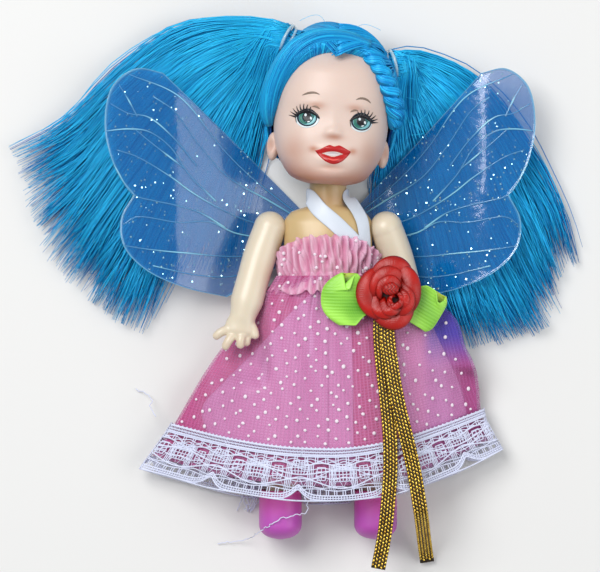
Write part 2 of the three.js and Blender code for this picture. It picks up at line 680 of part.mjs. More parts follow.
function addScalpHair() {
  const face = new THREE.CylinderGeometry(1, 1, 40, 24).rotateX(Math.PI / 2);
  face.scale(HAIRLINE_HALF, HAIRLINE_TOP - HAIRLINE_MIDDLE, 1).translate(0, HAIRLINE_MIDDLE, 22.2);
  const jaw = block(point(-30, -20, 0.9), point(30, HAIRLINE_MIDDLE, 60));
  const nape = block(point(-30, -30, -30), point(30, NAPE_UP, 60));
  const solid = headLoft(SCALP_GROW)
    .subtract(headLoft(GAP))
    .subtract(joined([solidOf(face), jaw, nape]));
  place("scalp_hair", solid, HAIR_BLUE, { parent: head });
}

function addFrontRoll() {
  const route = [
    onHead(0.383, 0.944, 0.481), onHead(-0.133, 0.989, 0.532), onHead(-0.6, 0.929, 0.558),
    onHead(-0.95, 0.758, 0.494), onHead(-1.1, 0.543, 0.403), onHead(-1.158, 0.387, 0.286),
    onHead(-1.142, 0.294, 0.182),
  ];
  const half = through([[0, 0.6], [0.25, 0.95], [0.6, 1], [0.85, 0.75], [1, 0.35]]);
  const roll = sweep(route, (t) => oval(ROLL_HALF * half(t), ROLL_HALF * 0.9 * half(t), 9), { count: 13 });
  place("front_roll", roll.subtract(overScalp()), HAIR_BLUE, { parent: head });
}

// Two strands twisted round each other, drawn as one outline that turns
function addSideTwist() {
  const route = [
    onHead(0.533, 0.937, 0.532), onHead(0.85, 0.773, 0.558), onHead(1.05, 0.58, 0.481),
    onHead(1.15, 0.431, 0.364), onHead(1.125, 0.283, 0.221),
  ];
  const section = (t) => {
    const size = TWIST_RADIUS * Math.min(1, 0.55 + 3 * Math.min(t, 1 - t));
    return oval(size, size * 0.62, 6, TWIST_TURNS * t);
  };
  const twist = sweep(route, section, { count: 6 * TWIST_TURNS });
  place("side_twist", twist.subtract(overScalp()), HAIR_BLUE, { parent: head });
}

// Where each bunch leaves the head, and which way, in the head's frame
const bunches = {
  [RIGHT]: { root: onHead(-0.467, 0.877, 0.156), tie: onHead(-0.850, 0.952, 0.143) },
  [LEFT]: { root: onHead(0.617, 0.758, 0.156), tie: onHead(0.992, 0.814, 0.143) },
};

function tieBand(side, grow) {
  const { root, tie } = bunches[side];
  const band = new THREE.TorusGeometry(TIE_RADIUS + GAP + TIE_BAND, TIE_BAND + grow, 6, 14);
  band.applyQuaternion(
    new THREE.Quaternion().setFromUnitVectors(point(0, 0, 1), tie.clone().sub(root).normalize()),
  );
  band.translate(tie.x, tie.y, tie.z);
  return solidOf(band);
}

function addTie(name, side) {
  place(name, tieBand(side, 0), CLEAR_BAND, { roughness: 0.15, parent: head });
}

// How high the wing's underside is at a distance from the middle, and where its upper edge runs
const wingRise = (x) => WING_RISE * ease((Math.abs(x) - WING_FLAT) / (WING_REACH - WING_FLAT));
const wingEdgeY = (x) => WING_ROOT_Y + WING_ROOT_HALF + (Math.abs(x) - WING_ROOT_X) * 1.03;

// A lock lies low under the wing and may be deeper where the wing doesn't hold it down
function lockHeight(at, freeZ) {
  const held = ease((wingEdgeY(at.x) + 6 - at.y) / 4) * (Math.abs(at.x) < 46 ? 1 : 0);
  const room = Math.max(wingRise(at.x) - GAP - TABLE_CLEAR, 0.8);
  const heldDepth = Math.min(LOCK_DEPTH, room / 2);
  const heldZ = Math.min(TABLE_CLEAR + heldDepth + room * 0.12, TABLE_CLEAR + room - heldDepth);
  return { z: lerp(freeZ, heldZ, held), depth: lerp(LOCK_DEPTH, heldDepth, held) };
}

// The bends of a bunch's locks down to their tips, as shares of the hair's reach, outermost lock first
const lockRoutes = {
  [RIGHT]: [
    [[-0.280, 0.676], [-0.447, 0.642], [-0.621, 0.515], [-0.803, 0.341], [-0.989, 0.236]],
    [[-0.280, 0.633], [-0.455, 0.561], [-0.629, 0.394], [-0.780, 0.197], [-0.933, 0.070]],
    [[-0.273, 0.588], [-0.432, 0.470], [-0.598, 0.273], [-0.735, 0.076], [-0.864, -0.091]],
    [[-0.261, 0.545], [-0.391, 0.402], [-0.538, 0.182], [-0.659, -0.030], [-0.761, -0.194]],
    [[-0.252, 0.506], [-0.348, 0.341], [-0.464, 0.121], [-0.567, -0.091], [-0.644, -0.282]],
    [[-0.245, 0.470], [-0.321, 0.303], [-0.400, 0.121], [-0.476, -0.097]],
  ],
  [LEFT]: [
    [[0.294, 0.573], [0.412, 0.515], [0.521, 0.394], [0.624, 0.212], [0.706, 0.067], [0.755, -0.085]],
    [[0.288, 0.536], [0.394, 0.448], [0.491, 0.303], [0.582, 0.106], [0.691, -0.152]],
    [[0.279, 0.503], [0.367, 0.385], [0.452, 0.212], [0.536, 0.015], [0.703, -0.288]],
    [[0.270, 0.470], [0.342, 0.324], [0.412, 0.136], [0.482, -0.076], [0.606, -0.306]],
    [[0.261, 0.436], [0.315, 0.267], [0.370, 0.076], [0.418, -0.106], [0.506, -0.333]],
    [[0.252, 0.409], [0.297, 0.221], [0.339, 0.030], [0.379, -0.136], [0.430, -0.348]],
  ],
};

function addPigtail(name, side) {
  const { root, tie } = bunches[side];
  const [rootAt, tieAt] = [root, tie].map((p) => head.localToWorld(p.clone()));
  const way = tieAt.clone().sub(rootAt).normalize();
  const past = tieAt.clone().addScaledVector(way, TIE_RADIUS);
  const count = lockRoutes[side].length;
  const locks = lockRoutes[side].map((shares, lock) => {
    const bends = shares.map(([x, y]) => [x * HAIR_REACH, y * HAIR_REACH]);
    const free = lerp(BUNCH_HIGH, LOOSE_Z, lock / (count - 1));
    const drops = bends.map((_, i) => lerp(past.z * 0.78, LOOSE_Z, ease((i + 0.6) / 2)));
    const route = bends.map(([x, y], i) => point(x, y, Math.max(drops[i], i ? LOOSE_Z : free)));
    const lows = route.map((p) => lockHeight(p, p.z));
    route.forEach((p, i) => p.setZ(lows[i].z));
    const depthAt = through([
      [0, TIE_RADIUS * 0.8],
      ...lows.map(({ depth }, i) => [(i + 1.6) / (bends.length + 1), depth]),
      [1.01, 0.5],
    ]);
    const halfAt = through([
      [0, TIE_RADIUS * 0.8], [0.14, TIE_RADIUS * 0.8], [0.4, LOCK_HALF * 0.82], [0.75, LOCK_HALF],
      [1, LOCK_HALF * 0.27],
    ]);
    return sweep([tieAt, past, ...route], (t) => oval(halfAt(t), depthAt(t), 6), { count: 7 });
  });
  const stem = bar(rootAt, past, TIE_RADIUS, TIE_RADIUS, 12);
  const solid = joined([stem, ...locks])
    .subtract(inWorld(overScalp()))
    .subtract(inWorld(tieBand(side, GAP)))
    .subtract(wingRoom(side))
    .intersect(block(point(-90, -90, TABLE_CLEAR), point(90, 90, 60)));
  place(name, largest(solid), HAIR_BLUE);
}

// The space that one wing takes up, with a gap round it, and all above it
function wingRoom(side) {
  const room = wingHalf(side, { under: GAP, over: 12, veins: [] });
  return joined([room, room.translate([0, GAP, 0]), room.translate([0, -GAP, 0])]);
}

// A solid made in the head's frame, where it lies in the part's frame
function inWorld(solid) {
  head.updateMatrixWorld(true);
  return solid.transform([...head.matrixWorld.elements]);
}

function largest(solid) {
  return solid.decompose().sort((a, b) => b.volume() - a.volume())[0];
}

// One wing's outer edge: an upper lobe and a lower one that meet in a notch
const UPPER_LOBE = [[33.4, 35.1], [38.8, 36], [43.6, 32.4], [45.2, 23.5], [42.6, 14], [39.3, 9.5]];
const LOWER_LOBE = [[39.3, 9.5], [41.9, 4.6], [41.4, -1.2], [37, -6.2], [29, -10], [20.5, -12]];
const NOTCH_SHARE = 0.55;
const WING_VEINS = [0.05, 0.17, 0.3, 0.43, 0.65, 0.8, 0.94];
const wingReach = { [RIGHT]: 1.037, [LEFT]: 0.963 }; // each half is bent a little differently where it lies

// Half of the wings; under and over make it thicker below and above
function wingHalf(side, { under = 0, over = 0, veins = WING_VEINS } = {}) {
  const edges = [UPPER_LOBE, LOWER_LOBE].map(
    (pairs) => new THREE.CatmullRomCurve3(pairs.map(([x, y]) => point(x, y, 0)), false, "centripetal"),
  );
  const edge = (c) =>
    c < NOTCH_SHARE
      ? edges[0].getPointAt(c / NOTCH_SHARE)
      : edges[1].getPointAt((c - NOTCH_SHARE) / (1 - NOTCH_SHARE));
  const veinRows = veins.flatMap((c) => [c - WING_VEIN_SHARE, c, c + WING_VEIN_SHARE]);
  const rows = [0, 0.24, NOTCH_SHARE, 0.73, 1, ...veinRows].sort((a, b) => a - b);
  const columns = steps(4).map((t) => 1 - (1 - t) ** 1.2);
  const surface = (c, t, top) => {
    const root = point(WING_ROOT_X, lerp(WING_ROOT_Y + WING_ROOT_HALF, WING_ROOT_Y - WING_ROOT_HALF, c), 0);
    const at = root.lerp(edge(c), t);
    at.x *= side * lerp(1, wingReach[side], t);
    const vein = veins.includes(c) ? WING_VEIN * (1 - 0.5 * t) : 0;
    at.z = WING_CLEAR + wingRise(at.x) + (top ? WING_THICK + vein + over : -under);
    return at;
  };
  const sheet = (top) => rows.map((c) => columns.map((t) => surface(c, t, top)));
  const [upper, lower] = [sheet(true), sheet(false)];
  // each ring goes out along the top and back along the underside
  return loft(rows.map((_, i) => [...upper[i], ...[...lower[i]].reverse()]));
}

function addWings() {
  const hub = new THREE.Shape();
  const round = 1.2;
  hub.absellipse(HUB_HALF_X - round, HUB_HALF_Y - round, round, round, 0, Math.PI / 2);
  hub.absellipse(-HUB_HALF_X + round, HUB_HALF_Y - round, round, round, Math.PI / 2, Math.PI);
  hub.absellipse(-HUB_HALF_X + round, -HUB_HALF_Y + round, round, round, Math.PI, 1.5 * Math.PI);
  hub.absellipse(HUB_HALF_X - round, -HUB_HALF_Y + round, round, round, 1.5 * Math.PI, 2 * Math.PI);
  const plate = new THREE.ExtrudeGeometry(hub, { depth: HUB_THICK, bevelEnabled: false, curveSegments: 4 });
  plate.translate(0, HUB_Y, 0);
  const backZ = AXIS_Z - torsoDepth(HUB_Y);
  const hubMiddle = point(0, HUB_Y, HUB_THICK / 2);
  const peg = bar(hubMiddle, point(0, HUB_Y, backZ + WING_PEG_DEPTH), WING_PEG_RADIUS, WING_PEG_RADIUS * 0.85, 16);
  const collarRadius = WING_PEG_RADIUS * 1.55;
  const seatZ = AXIS_Z - torsoDepth(HUB_Y - collarRadius) - GAP;
  const collar = bar(hubMiddle, point(0, HUB_Y, seatZ), collarRadius, collarRadius * 0.9, 16);
  const halves = [wingHalf(RIGHT), wingHalf(LEFT)];
  place("wings", joined([solidOf(plate), collar, peg, ...halves]), WING_BLUE, { roughness: 0.1 });
}

// The skirts: every layer is the same flared shape, a little larger than the one inside it
const armFlapZ = through([[-26, 7.6], [-16, 9.4], [-9, 11.2], [WAIST_Y, 11.4]]); // over the tucked left arm

function skirtPoint(share, turn, grow) {
  const across = Math.cos(turn);
  const side = across < 0 ? RIGHT : LEFT;
  const isFront = Math.sin(turn) >= 0;
  const hemX = side === RIGHT ? HEM_RIGHT_X : HEM_LEFT_X;
  const waistX = torsoHalf(WAIST_Y) + GAP + 0.6;
  const puff = side === LEFT ? ARM_PUFF : SIDE_PUFF;
  const bulge = puff * Math.sin(Math.PI * Math.min(share * 1.15, 1)) ** 2 * Math.abs(across) ** 3;
  const reach = (lerp(waistX, hemX, share ** 1.04) + bulge) * Math.abs(across);
  const sideLift = (side === RIGHT ? HEM_RIGHT_LIFT : HEM_LEFT_LIFT) * across * across;
  const y = lerp(WAIST_Y, HEM_Y + sideLift + (isFront ? 0 : HEM_BACK_LIFT * (1 - across * across)), share);
  const far = ease((reach - 12) / 24);
  const fold = SKIRT_FOLD_DEPTH * share * Math.sin(SKIRT_FOLDS * Math.PI * across) * (1 - across ** 6);
  let front = lerp(SKIRT_FRONT_Z, SKIRT_EDGE_Z, far) + fold;
  let back = lerp(SKIRT_BACK_Z, SKIRT_BACK_Z + 0.2, far);
  if (side === LEFT) {
    back = lerp(back, armFlapZ(y), ease((reach - 11) / 2.1) * ease((y + 31) / 5));
    front = Math.max(front, back + 2);
  } else front -= HAND_DENT * ease((reach - 11.5) / 3) * ease((y + 32) / 6);
  const full = Math.abs(Math.sin(turn)) ** 0.62;
  const middle = (front + back) / 2;
  const rise = ((front - back) / 2) * full + grow * full ** 0.5;
  return point(side * (reach + grow * across ** 4), y, isFront ? middle + rise : middle - rise);
}

const skirtTurns = (count) => steps(count).slice(0, count).map((s) => s * 2 * Math.PI);

// The layers share their rings, so that none cuts the next
function skirtLayer(grow, thick, hem) {
  const shares = [0, 0.11, 0.25, 0.4, 0.55, 0.7, hem];
  const ring = (share, out) => skirtTurns(SKIRT_SIDES).map((turn) => skirtPoint(share, turn, grow + out));
  const skin = (out) => shares.map((share) => ring(share, out));
  return shell(skin(thick), skin(0));
}

const OVERSKIRT_GROW = SKIRT_THICK + SOFT_GAP;
const LACE_GROW = OVERSKIRT_GROW + SKIRT_THICK + SOFT_GAP;

// An openwork band: bars round every cell, between the outer and the inner skin
function laceBand() {
  const turns = [];
  const cell = (2 * Math.PI) / LACE_COLUMNS;
  for (let c = 0; c < LACE_COLUMNS; c++) turns.push((c + LACE_BAR / 2) * cell, (c + 1 - LACE_BAR / 2) * cell);
  const rowHeight = 1 / LACE_ROWS;
  const shares = [];
  for (let r = 0; r < LACE_ROWS; r++)
    shares.push((r + LACE_BAR / 2) * rowHeight, (r + 1 - LACE_BAR / 2) * rowHeight);
  shares[0] = 0;
  shares[shares.length - 1] = 1;
  shares.splice(1, 0, LACE_BAR * rowHeight);
  shares.splice(shares.length - 1, 0, 1 - LACE_BAR * rowHeight);
  const wide = turns.length;
  const high = shares.length;
  const points = [];
  for (const out of [LACE_THICK, 0])
    for (const s of shares)
      for (const turn of turns) points.push(skirtPoint(lerp(LACE_START_SHARE, 1, s), turn, LACE_GROW + out));
  const at = (skin, row, column) => skin * wide * high + row * wide + (column % wide);
  const isHole = (row, column) => row > 0 && row < high - 2 && row % 2 === 1 && column % 2 === 0;
  const faces = [];
  const quad = (a, b, c, d) => faces.push([a, b, c], [a, c, d]);
  for (let row = 0; row + 1 < high; row++)
    for (let column = 0; column < wide; column++) {
      const corners = [[row, column], [row, column + 1], [row + 1, column + 1], [row + 1, column]];
      if (isHole(row, column)) {
        corners.forEach(([r, c], i) => {
          const [r2, c2] = corners[(i + 1) % 4];
          quad(at(0, r, c), at(0, r2, c2), at(1, r2, c2), at(1, r, c));
        });
      } else {
        quad(...corners.map(([r, c]) => at(0, r, c)));
        quad(...corners.map(([r, c]) => at(1, r, c)).reverse());
      }
    }
  for (let column = 0; column < wide; column++) {
    quad(at(0, 0, column + 1), at(0, 0, column), at(1, 0, column), at(1, 0, column + 1));
    const end = high - 1;
    quad(at(0, end, column), at(0, end, column + 1), at(1, end, column + 1), at(1, end, column));
  }
  return solidFrom(points, faces);
}

function addBodice() {
  const sides = FRILL_COUNT * 4;
  // the gathers stand out in front and are pressed flat at the sides and back
  const free = (share) => 0.15 + 0.85 * Math.max(Math.sin(2 * Math.PI * share), 0) ** 0.8;
  const inside = GAP;
  const levels = [
    [BODICE_TOP_Y, 0.5, 1], [BODICE_TOP_Y - 1.4, 0.05, 0.8],
    [lerp(BODICE_TOP_Y, BODICE_BOTTOM_Y, 0.6), 0, 0.9], [BODICE_BOTTOM_Y, 0, 0.9],
  ];
  const skin = (out) =>
    levels.map(([y, flare, waves]) =>
      torsoRing(y, inside + out, sides, (share) => {
        const wave = FRILL_DEPTH * waves * (1 + Math.cos(2 * Math.PI * FRILL_COUNT * share));
        return (flare + wave) * free(share);
      }),
    );
  place("bodice", shell(skin(BODICE_THICK), skin(0)), DRESS_PINK, { roughness: 0.9 });
}

function addBodiceElastic() {
  const middle = (BODICE_BOTTOM_Y + WAIST_Y) / 2;
  const skin = (side) =>
    [[-0.8, 0.5], [0, 1], [0.8, 0.5]].map(([up, out]) =>
      torsoRing(middle + up * ELASTIC_RADIUS, GAP + ELASTIC_RADIUS * (1 + side * out), 20),
    );
  place("bodice_elastic", shell(skin(1), skin(-1)), LACE_WHITE, { roughness: 0.8 });
}

// The halter: up from the bodice, across the chest, round the neck and down again
function addHalter() {
  const outwards = (at) => point(at.x, 0, at.z - AXIS_Z).normalize();
  const onBody = (x, y, lift = 0) => {
    const a = Math.acos(THREE.MathUtils.clamp(x / (torsoHalf(y) + 1), -1, 1));
    return torsoRing(y, GAP + STRAP_THICK / 2 + lift, 360)[Math.round((a * 180) / Math.PI)];
  };
  const neckY = (TORSO_TOP_Y + NECK_TOP_Y) / 2;
  const roundNeck = (deg) => {
    const r = NECK_RADIUS + GAP * 1.5 + STRAP_THICK / 2;
    return point(r * Math.cos(rad(deg)), neckY, AXIS_Z + r * Math.sin(rad(deg)));
  };
  const route = [
    onBody(3.2, BODICE_TOP_Y + 0.9, 0.1), onBody(0.6, 3.6, 0.15), onBody(-2.4, 6.2, 0.5),
    ...[150, 205, 270, 335, 380].map(roundNeck),
    onBody(4.6, 6, 0.5), onBody(6.4, 3.4, 0.15), onBody(7.6, BODICE_TOP_Y + 0.9, 0.1),
  ];
  const width = through([
    [0, STRAP_WIDTH], [0.2, STRAP_WIDTH], [0.38, STRAP_NECK_WIDTH], [0.7, STRAP_NECK_WIDTH],
    [0.85, STRAP_WIDTH * 0.8], [1, STRAP_WIDTH * 0.8],
  ]);
  const ribbon = sweep(route, (t) => strip(width(t), STRAP_THICK), { up: outwards, count: 34 });
  place("halter_ribbon", ribbon, LACE_WHITE, { roughness: 0.3 });
}

function addSkirts() {
  place("underskirt", skirtLayer(0, SKIRT_THICK, UNDERSKIRT_SHARE), LINING_PINK, { roughness: 0.8 });
  const net = skirtLayer(OVERSKIRT_GROW, SKIRT_THICK, OVERSKIRT_SHARE);
  place("overskirt", net, DRESS_PINK, { roughness: 0.9 });
  place("lace_trim", laceBand(), LACE_WHITE, { roughness: 0.9 });
}

// Height of the dress's outside over a point of the table, for what lies on it
function dressTop(x, y) {
  const grow = LACE_GROW + LACE_THICK;
  let best = 0;
  let nearest = Infinity;
  for (const share of steps(40))
    for (const turn of steps(60, 0, Math.PI)) {
      const at = skirtPoint(share, turn, grow);
      const away = Math.hypot(at.x - x, at.y - y);
      if (away < nearest) [nearest, best] = [away, at.z];
    }
  return best;
}

// The highest of it within a distance to either side
function dressTopNear(x, y, reach) {
  return Math.max(...[-1, 0, 1].map((step) => dressTop(x + step * reach, y)));
}

// The rose: a rolled heart with petals round it, and a flat foot that is sewn to the dress
function addRose() {
  const seat = dressTopNear(ROSE_X, ROSE_Y, ROSE_RADIUS * 0.5) + 2.5 * GAP + TAIL_THICK;
  const ring = (radius, z, wave, turn) =>
    steps(20).slice(0, 20).map((s) => {
      const a = s * 2 * Math.PI;
      const r = radius * (1 + wave * Math.abs(Math.cos((ROSE_PETALS * a) / 2 + turn)));
      return point(ROSE_X + r * Math.cos(a), ROSE_Y + r * Math.sin(a), seat + z);
    });
  const h = ROSE_HEIGHT;
  const r = ROSE_RADIUS;
  const petals = loft([
    ring(r * 0.45, 0, 0, 0), ring(r * 0.72, h * 0.18, 0.1, 0), ring(r * 0.86, h * 0.5, 0.14, 0),
    ring(r * 0.74, h * 0.66, 0.1, 0), ring(r * 0.6, h * 0.56, 0.05, 1), ring(r * 0.6, h * 0.78, 0.1, 1),
    ring(r * 0.46, h * 0.86, 0.08, 1), ring(r * 0.36, h * 0.7, 0, 0),
    ring(r * 0.3, h, 0.08, 2), ring(r * 0.14, h * 0.9, 0, 2),
  ]);
  place("rose", petals, ROSE_RED, { roughness: 0.35 });
}

// A leaf is a ribbon bent into a loop, open at its sides
function addLeaf(name, { away, length, width, turnDeg }) {
  const turn = rad(turnDeg);
  const [cos, sin] = [Math.cos(turn), Math.sin(turn)];
  const to = (along, across) => [ROSE_X + along * cos - across * sin, ROSE_Y + along * sin + across * cos];
  const seat = Math.max(...[0, 0.5, 1].map((t) => dressTop(...to(away + length * t, 0)))) + GAP;
  const loop = (out) => {
    const h = LEAF_HEIGHT / 2 - out;
    return [
      [away, -h * 0.7], [away + length * 0.5, -h], [away + length * 0.88, -h * 0.72], [away + length - out, 0],
      [away + length * 0.88, h * 0.72], [away + length * 0.5, h], [away, h * 0.7],
    ];
  };
  const half = width / 2;
  const spread = [[-half, 0.72], [-half * 0.5, 0.95], [0, 1], [half * 0.5, 0.95], [half, 0.72]];
  const at = ([u, z], [across, small]) => {
    const [x, y] = to(away + (u - away) * small, across);
    return point(x, y, seat + LEAF_HEIGHT / 2 + z);
  };
  // each ring crosses the ribbon, along its outside and back along its inside
  const inside = loop(LEAF_THICK);
  const rings = loop(0).map((outer, i) => [
    ...spread.map((s) => at(outer, s)),
    ...[...spread].reverse().map((s) => at(inside[i], s)),
  ]);
  place(name, loft(rings), LEAF_GREEN, { roughness: 0.4 });
}

const TAIL_ROUTES = {
  [RIGHT]: [
    [12, -13.5], [11.8, -19.6], [12, -26], [12.2, -34], [12.5, -42], [12.6, -49], [12.1, -56], [11.6, -62],
    [10.4, -68.6],
  ],
  [LEFT]: [
    [15.6, -13.5], [15.4, -19.6], [15.7, -26], [16, -34], [17, -42], [17.9, -48], [18.8, -54], [19.8, -61],
    [21, -68],
  ],
};

function addTail(name, side) {
  const route = TAIL_ROUTES[side].map(([x, y]) => {
    const over = dressTopNear(x, Math.max(y, -55), TAIL_WIDTH / 2) + GAP + TAIL_THICK / 2;
    const drop = ease((-55.5 - y) / 13) * (side === RIGHT ? 5 : over - 1.2);
    return point(x, y, over - drop);
  });
  const braid = sweep(route, () => strip(TAIL_WIDTH, TAIL_THICK), { count: 18 });
  place(name, braid, BRAID_GOLD, { roughness: 0.35, metalness: 0.8 });
}

addTorso();
addHead();
addArm("right_arm", RIGHT, RIGHT_ARM_DEG);
addArm("left_arm", LEFT, LEFT_ARM_DEG);
addLeg("right_leg", RIGHT);
addLeg("left_leg", LEFT);
addShoe("right_shoe", RIGHT);
addShoe("left_shoe", LEFT);
addScalpHair();
addFrontRoll();
addSideTwist();
addTie("right_hair_tie", RIGHT);
addTie("left_hair_tie", LEFT);
addPigtail("right_pigtail", RIGHT);
addPigtail("left_pigtail", LEFT);
addWings();
addBodice();
addBodiceElastic();
addHalter();
addSkirts();
addRose();
const leafAway = ROSE_RADIUS + GAP;
addLeaf("right_leaf_loop", { away: leafAway, length: RIGHT_LEAF_LENGTH, width: RIGHT_LEAF_WIDTH, turnDeg: 172 });
addLeaf("left_leaf_loop", { away: leafAway, length: LEFT_LEAF_LENGTH, width: LEFT_LEAF_WIDTH, turnDeg: -12 });
addTail("right_gold_tail", RIGHT);
addTail("left_gold_tail", LEFT);

export default doll;
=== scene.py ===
"""A small winged doll lying on its back, dressed and lit as it is photographed.

Metres, in the frame of the CAD part: +Z up off the table, +Y towards the head, +X to the doll's own left.
Sizes in the classes below are millimetres unless a name says otherwise, and MM turns them into metres.
"""

import logging
import math
from dataclasses import dataclass, field
from enum import Enum
from typing import Callable, Sequence

import bpy
import numpy as np
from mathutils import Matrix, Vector


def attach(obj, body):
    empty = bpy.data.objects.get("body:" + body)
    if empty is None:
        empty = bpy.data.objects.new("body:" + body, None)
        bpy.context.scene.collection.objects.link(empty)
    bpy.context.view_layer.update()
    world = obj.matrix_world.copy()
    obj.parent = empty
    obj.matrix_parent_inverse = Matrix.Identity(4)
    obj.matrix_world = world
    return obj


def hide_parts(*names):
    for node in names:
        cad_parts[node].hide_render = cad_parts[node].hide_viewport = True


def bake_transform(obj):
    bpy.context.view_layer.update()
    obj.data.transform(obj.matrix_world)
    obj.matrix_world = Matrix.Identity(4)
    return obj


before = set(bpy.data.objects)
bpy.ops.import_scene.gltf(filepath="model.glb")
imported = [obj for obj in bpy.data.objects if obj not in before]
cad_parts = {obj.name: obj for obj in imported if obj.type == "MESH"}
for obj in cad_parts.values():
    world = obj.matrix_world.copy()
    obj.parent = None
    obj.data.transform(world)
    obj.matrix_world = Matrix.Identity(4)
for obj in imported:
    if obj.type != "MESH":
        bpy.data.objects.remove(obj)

LOG = logging.getLogger("doll")
MM = 0.001
TAU = 2 * math.pi
UP = np.array([0.0, 0.0, 1.0])

# The height of the axis that runs through the neck, and of the shoulders and hips.
AXIS_Z = 8.6
# Where the random draws start, with a number of its own added in each class that draws.
SEED = 41
# The shortest span of a curve, and how many times more points a curve has while it is worked out.
TINY = 1e-9
FINER = 8
# How upright a strand has to be before the ring round it is squared to X instead of Z.
STEEP = 0.9
# The angle that a round form leaves open at each of its poles, in radians.
POLE = 0.02
# How far the underside of the print lies from the skin of the face.
SUNK = -0.08
# The levels of detail in the noise that the grain is made of.
GRAIN_DETAIL = 4

Array = np.ndarray
Colour = tuple[float, float, float]


class Side(Enum):
    """The doll's own right and left, with the sign of X on each."""

    RIGHT = -1
    LEFT = 1

    @property
    def word(self) -> str:
        """The side's name in the names of nodes."""
        return self.name.lower()


class Body(Enum):
    """The rigid bodies that pieces ride on."""

    TORSO = "torso"
    HEAD = "head"
    RIGHT_ARM = "right_arm"
    LEFT_ARM = "left_arm"
    RIGHT_LEG = "right_leg"
    LEFT_LEG = "left_leg"
    RIGHT_SHOE = "right_shoe"
    LEFT_SHOE = "left_shoe"


def ease(t: Array | float) -> Array | float:
    """Smooth step from 0 to 1: 3t squared minus 2t cubed, with t held between 0 and 1."""
    t = np.clip(t, 0, 1)
    return t * t * (3 - 2 * t)


def lerp(a: Array | float, b: Array | float, t: Array | float) -> Array | float:
    """The value a share t of the way from a to b."""
    return a + (b - a) * t


def bell(x: Array | float, width: float) -> Array | float:
    """A smooth bump, 1 at zero and falling away over width: exp of minus (x / width) squared."""
    return np.exp(-((x / width) ** 2))


def signed_power(x: Array, power: float) -> Array:
    """A power that keeps the sign: it makes an oval's sine and cosine squarer where it is below one."""
    return np.sign(x) * np.abs(x) ** power


def unit(v: Array) -> Array:
    """Each vector of an array scaled to length one."""
    return v / np.maximum(np.linalg.norm(v, axis=-1, keepdims=True), 1e-12)


class Profile:
    """A smooth curve through pairs of place and value that never overshoots them."""

    def __init__(self, pairs: Sequence[tuple[float, float]]) -> None:
        """Work out the slope at each pair: the harmonic mean of the slopes on its two sides."""
        self.at = np.array([p[0] for p in pairs], float)
        self.value = np.array([p[1] for p in pairs], float)
        slope = np.diff(self.value) / np.diff(self.at)
        before = np.concatenate([slope[:1], slope])
        after = np.concatenate([slope, slope[-1:]])
        product = before * after
        total = np.where(product > 0, before + after, 1.0)
        self.slope = np.where(product > 0, 2 * product / total, 0.0)

    def __call__(self, at: Array | float) -> Array:
        """The curve's value at one place, or at each of an array: a cubic between the pairs beside it."""
        at = np.asarray(at, float)
        i = np.clip(np.searchsorted(self.at, at, side="right") - 1, 0, len(self.at) - 2)
        width = self.at[i + 1] - self.at[i]
        t = np.clip((at - self.at[i]) / width, 0, 1)
        rest = 1 - t
        return (
            (1 + 2 * t) * rest * rest * self.value[i]
            + t * rest * rest * width * self.slope[i]
            + t * t * (3 - 2 * t) * self.value[i + 1]
            - t * t * rest * width * self.slope[i + 1]
        )


def circle(count: int) -> Array:
    """Angles spread evenly round a circle, from zero."""
    return np.arange(count) / count * TAU


def run_of(line: Array) -> Array:
    """How far along a line each of its points lies."""
    return np.concatenate([[0], np.cumsum(np.linalg.norm(np.diff(line, axis=0), axis=1))])


def through(points: Array, count: int) -> Array:
    """A smooth curve through points, one row each, as count points spread evenly along its length.

    Each span is a cubic over the square root of its length, and its tangents lean to the chords on both
    sides, so that it neither loops nor overshoots.
    """
    p = np.asarray(points, float)
    gap = np.maximum(np.linalg.norm(np.diff(p, axis=0), axis=1) ** 0.5, TINY)
    knot = np.concatenate([[0], np.cumsum(gap)])
    slope = np.diff(p, axis=0) / gap[:, None]
    tangent = np.empty_like(p)
    tangent[0], tangent[-1] = slope[0], slope[-1]
    share = (gap[:-1] / (gap[:-1] + gap[1:]))[:, None]
    tangent[1:-1] = slope[:-1] * (1 - share) + slope[1:] * share
    fine = np.linspace(0, knot[-1], count * FINER)
    i = np.clip(np.searchsorted(knot, fine, side="right") - 1, 0, len(gap) - 1)
    h = gap[i][:, None]
    t = ((fine - knot[i]) / gap[i])[:, None]
    rest = 1 - t
    curve = (
        (1 + 2 * t) * rest * rest * p[i]
        + t * rest * rest * h * tangent[i]
        + t * t * (3 - 2 * t) * p[i + 1]
        - t * t * rest * h * tangent[i + 1]
    )
    return resample(curve, count)


def resample(curve: Array, count: int) -> Array:
    """The same line with its points spread evenly along its length."""
    run = run_of(curve)
    want = np.linspace(0, run[-1], count)
    return np.stack([np.interp(want, run, curve[:, k]) for k in range(curve.shape[1])], axis=1)


def grid_faces(rows: int, columns: int, wrap: bool = True, closed: bool = True) -> list[Array]:
    """The quads over a grid of points whose rows are rings, and the end faces.

    Wrap joins a ring's last point to its first, and closed gives the first and last rings of such a
    grid a flat face each.
    """
    across = columns if wrap else columns - 1
    r, c = np.meshgrid(np.arange(rows - 1), np.arange(across), indexing="ij")
    n = (c + 1) % columns
    here, below = r * columns, (r + 1) * columns
    quads = np.stack([here + c, here + n, below + n, below + c], axis=-1)
    faces = [quads.reshape(-1, 4)]
    if closed and wrap:
        ring = np.arange(columns)
        faces += [ring[::-1][None], (ring + (rows - 1) * columns)[None]]
    return faces


def tube_faces(count: int, rows: int, columns: int) -> list[Array]:
    """The faces of equal closed tubes whose points follow one another."""
    first = (np.arange(count) * rows * columns)[:, None, None]
    quads, *ends = grid_faces(rows, columns)
    return [(quads[None] + first).reshape(-1, 4), *((end[None] + first).reshape(-1, columns) for end in ends)]


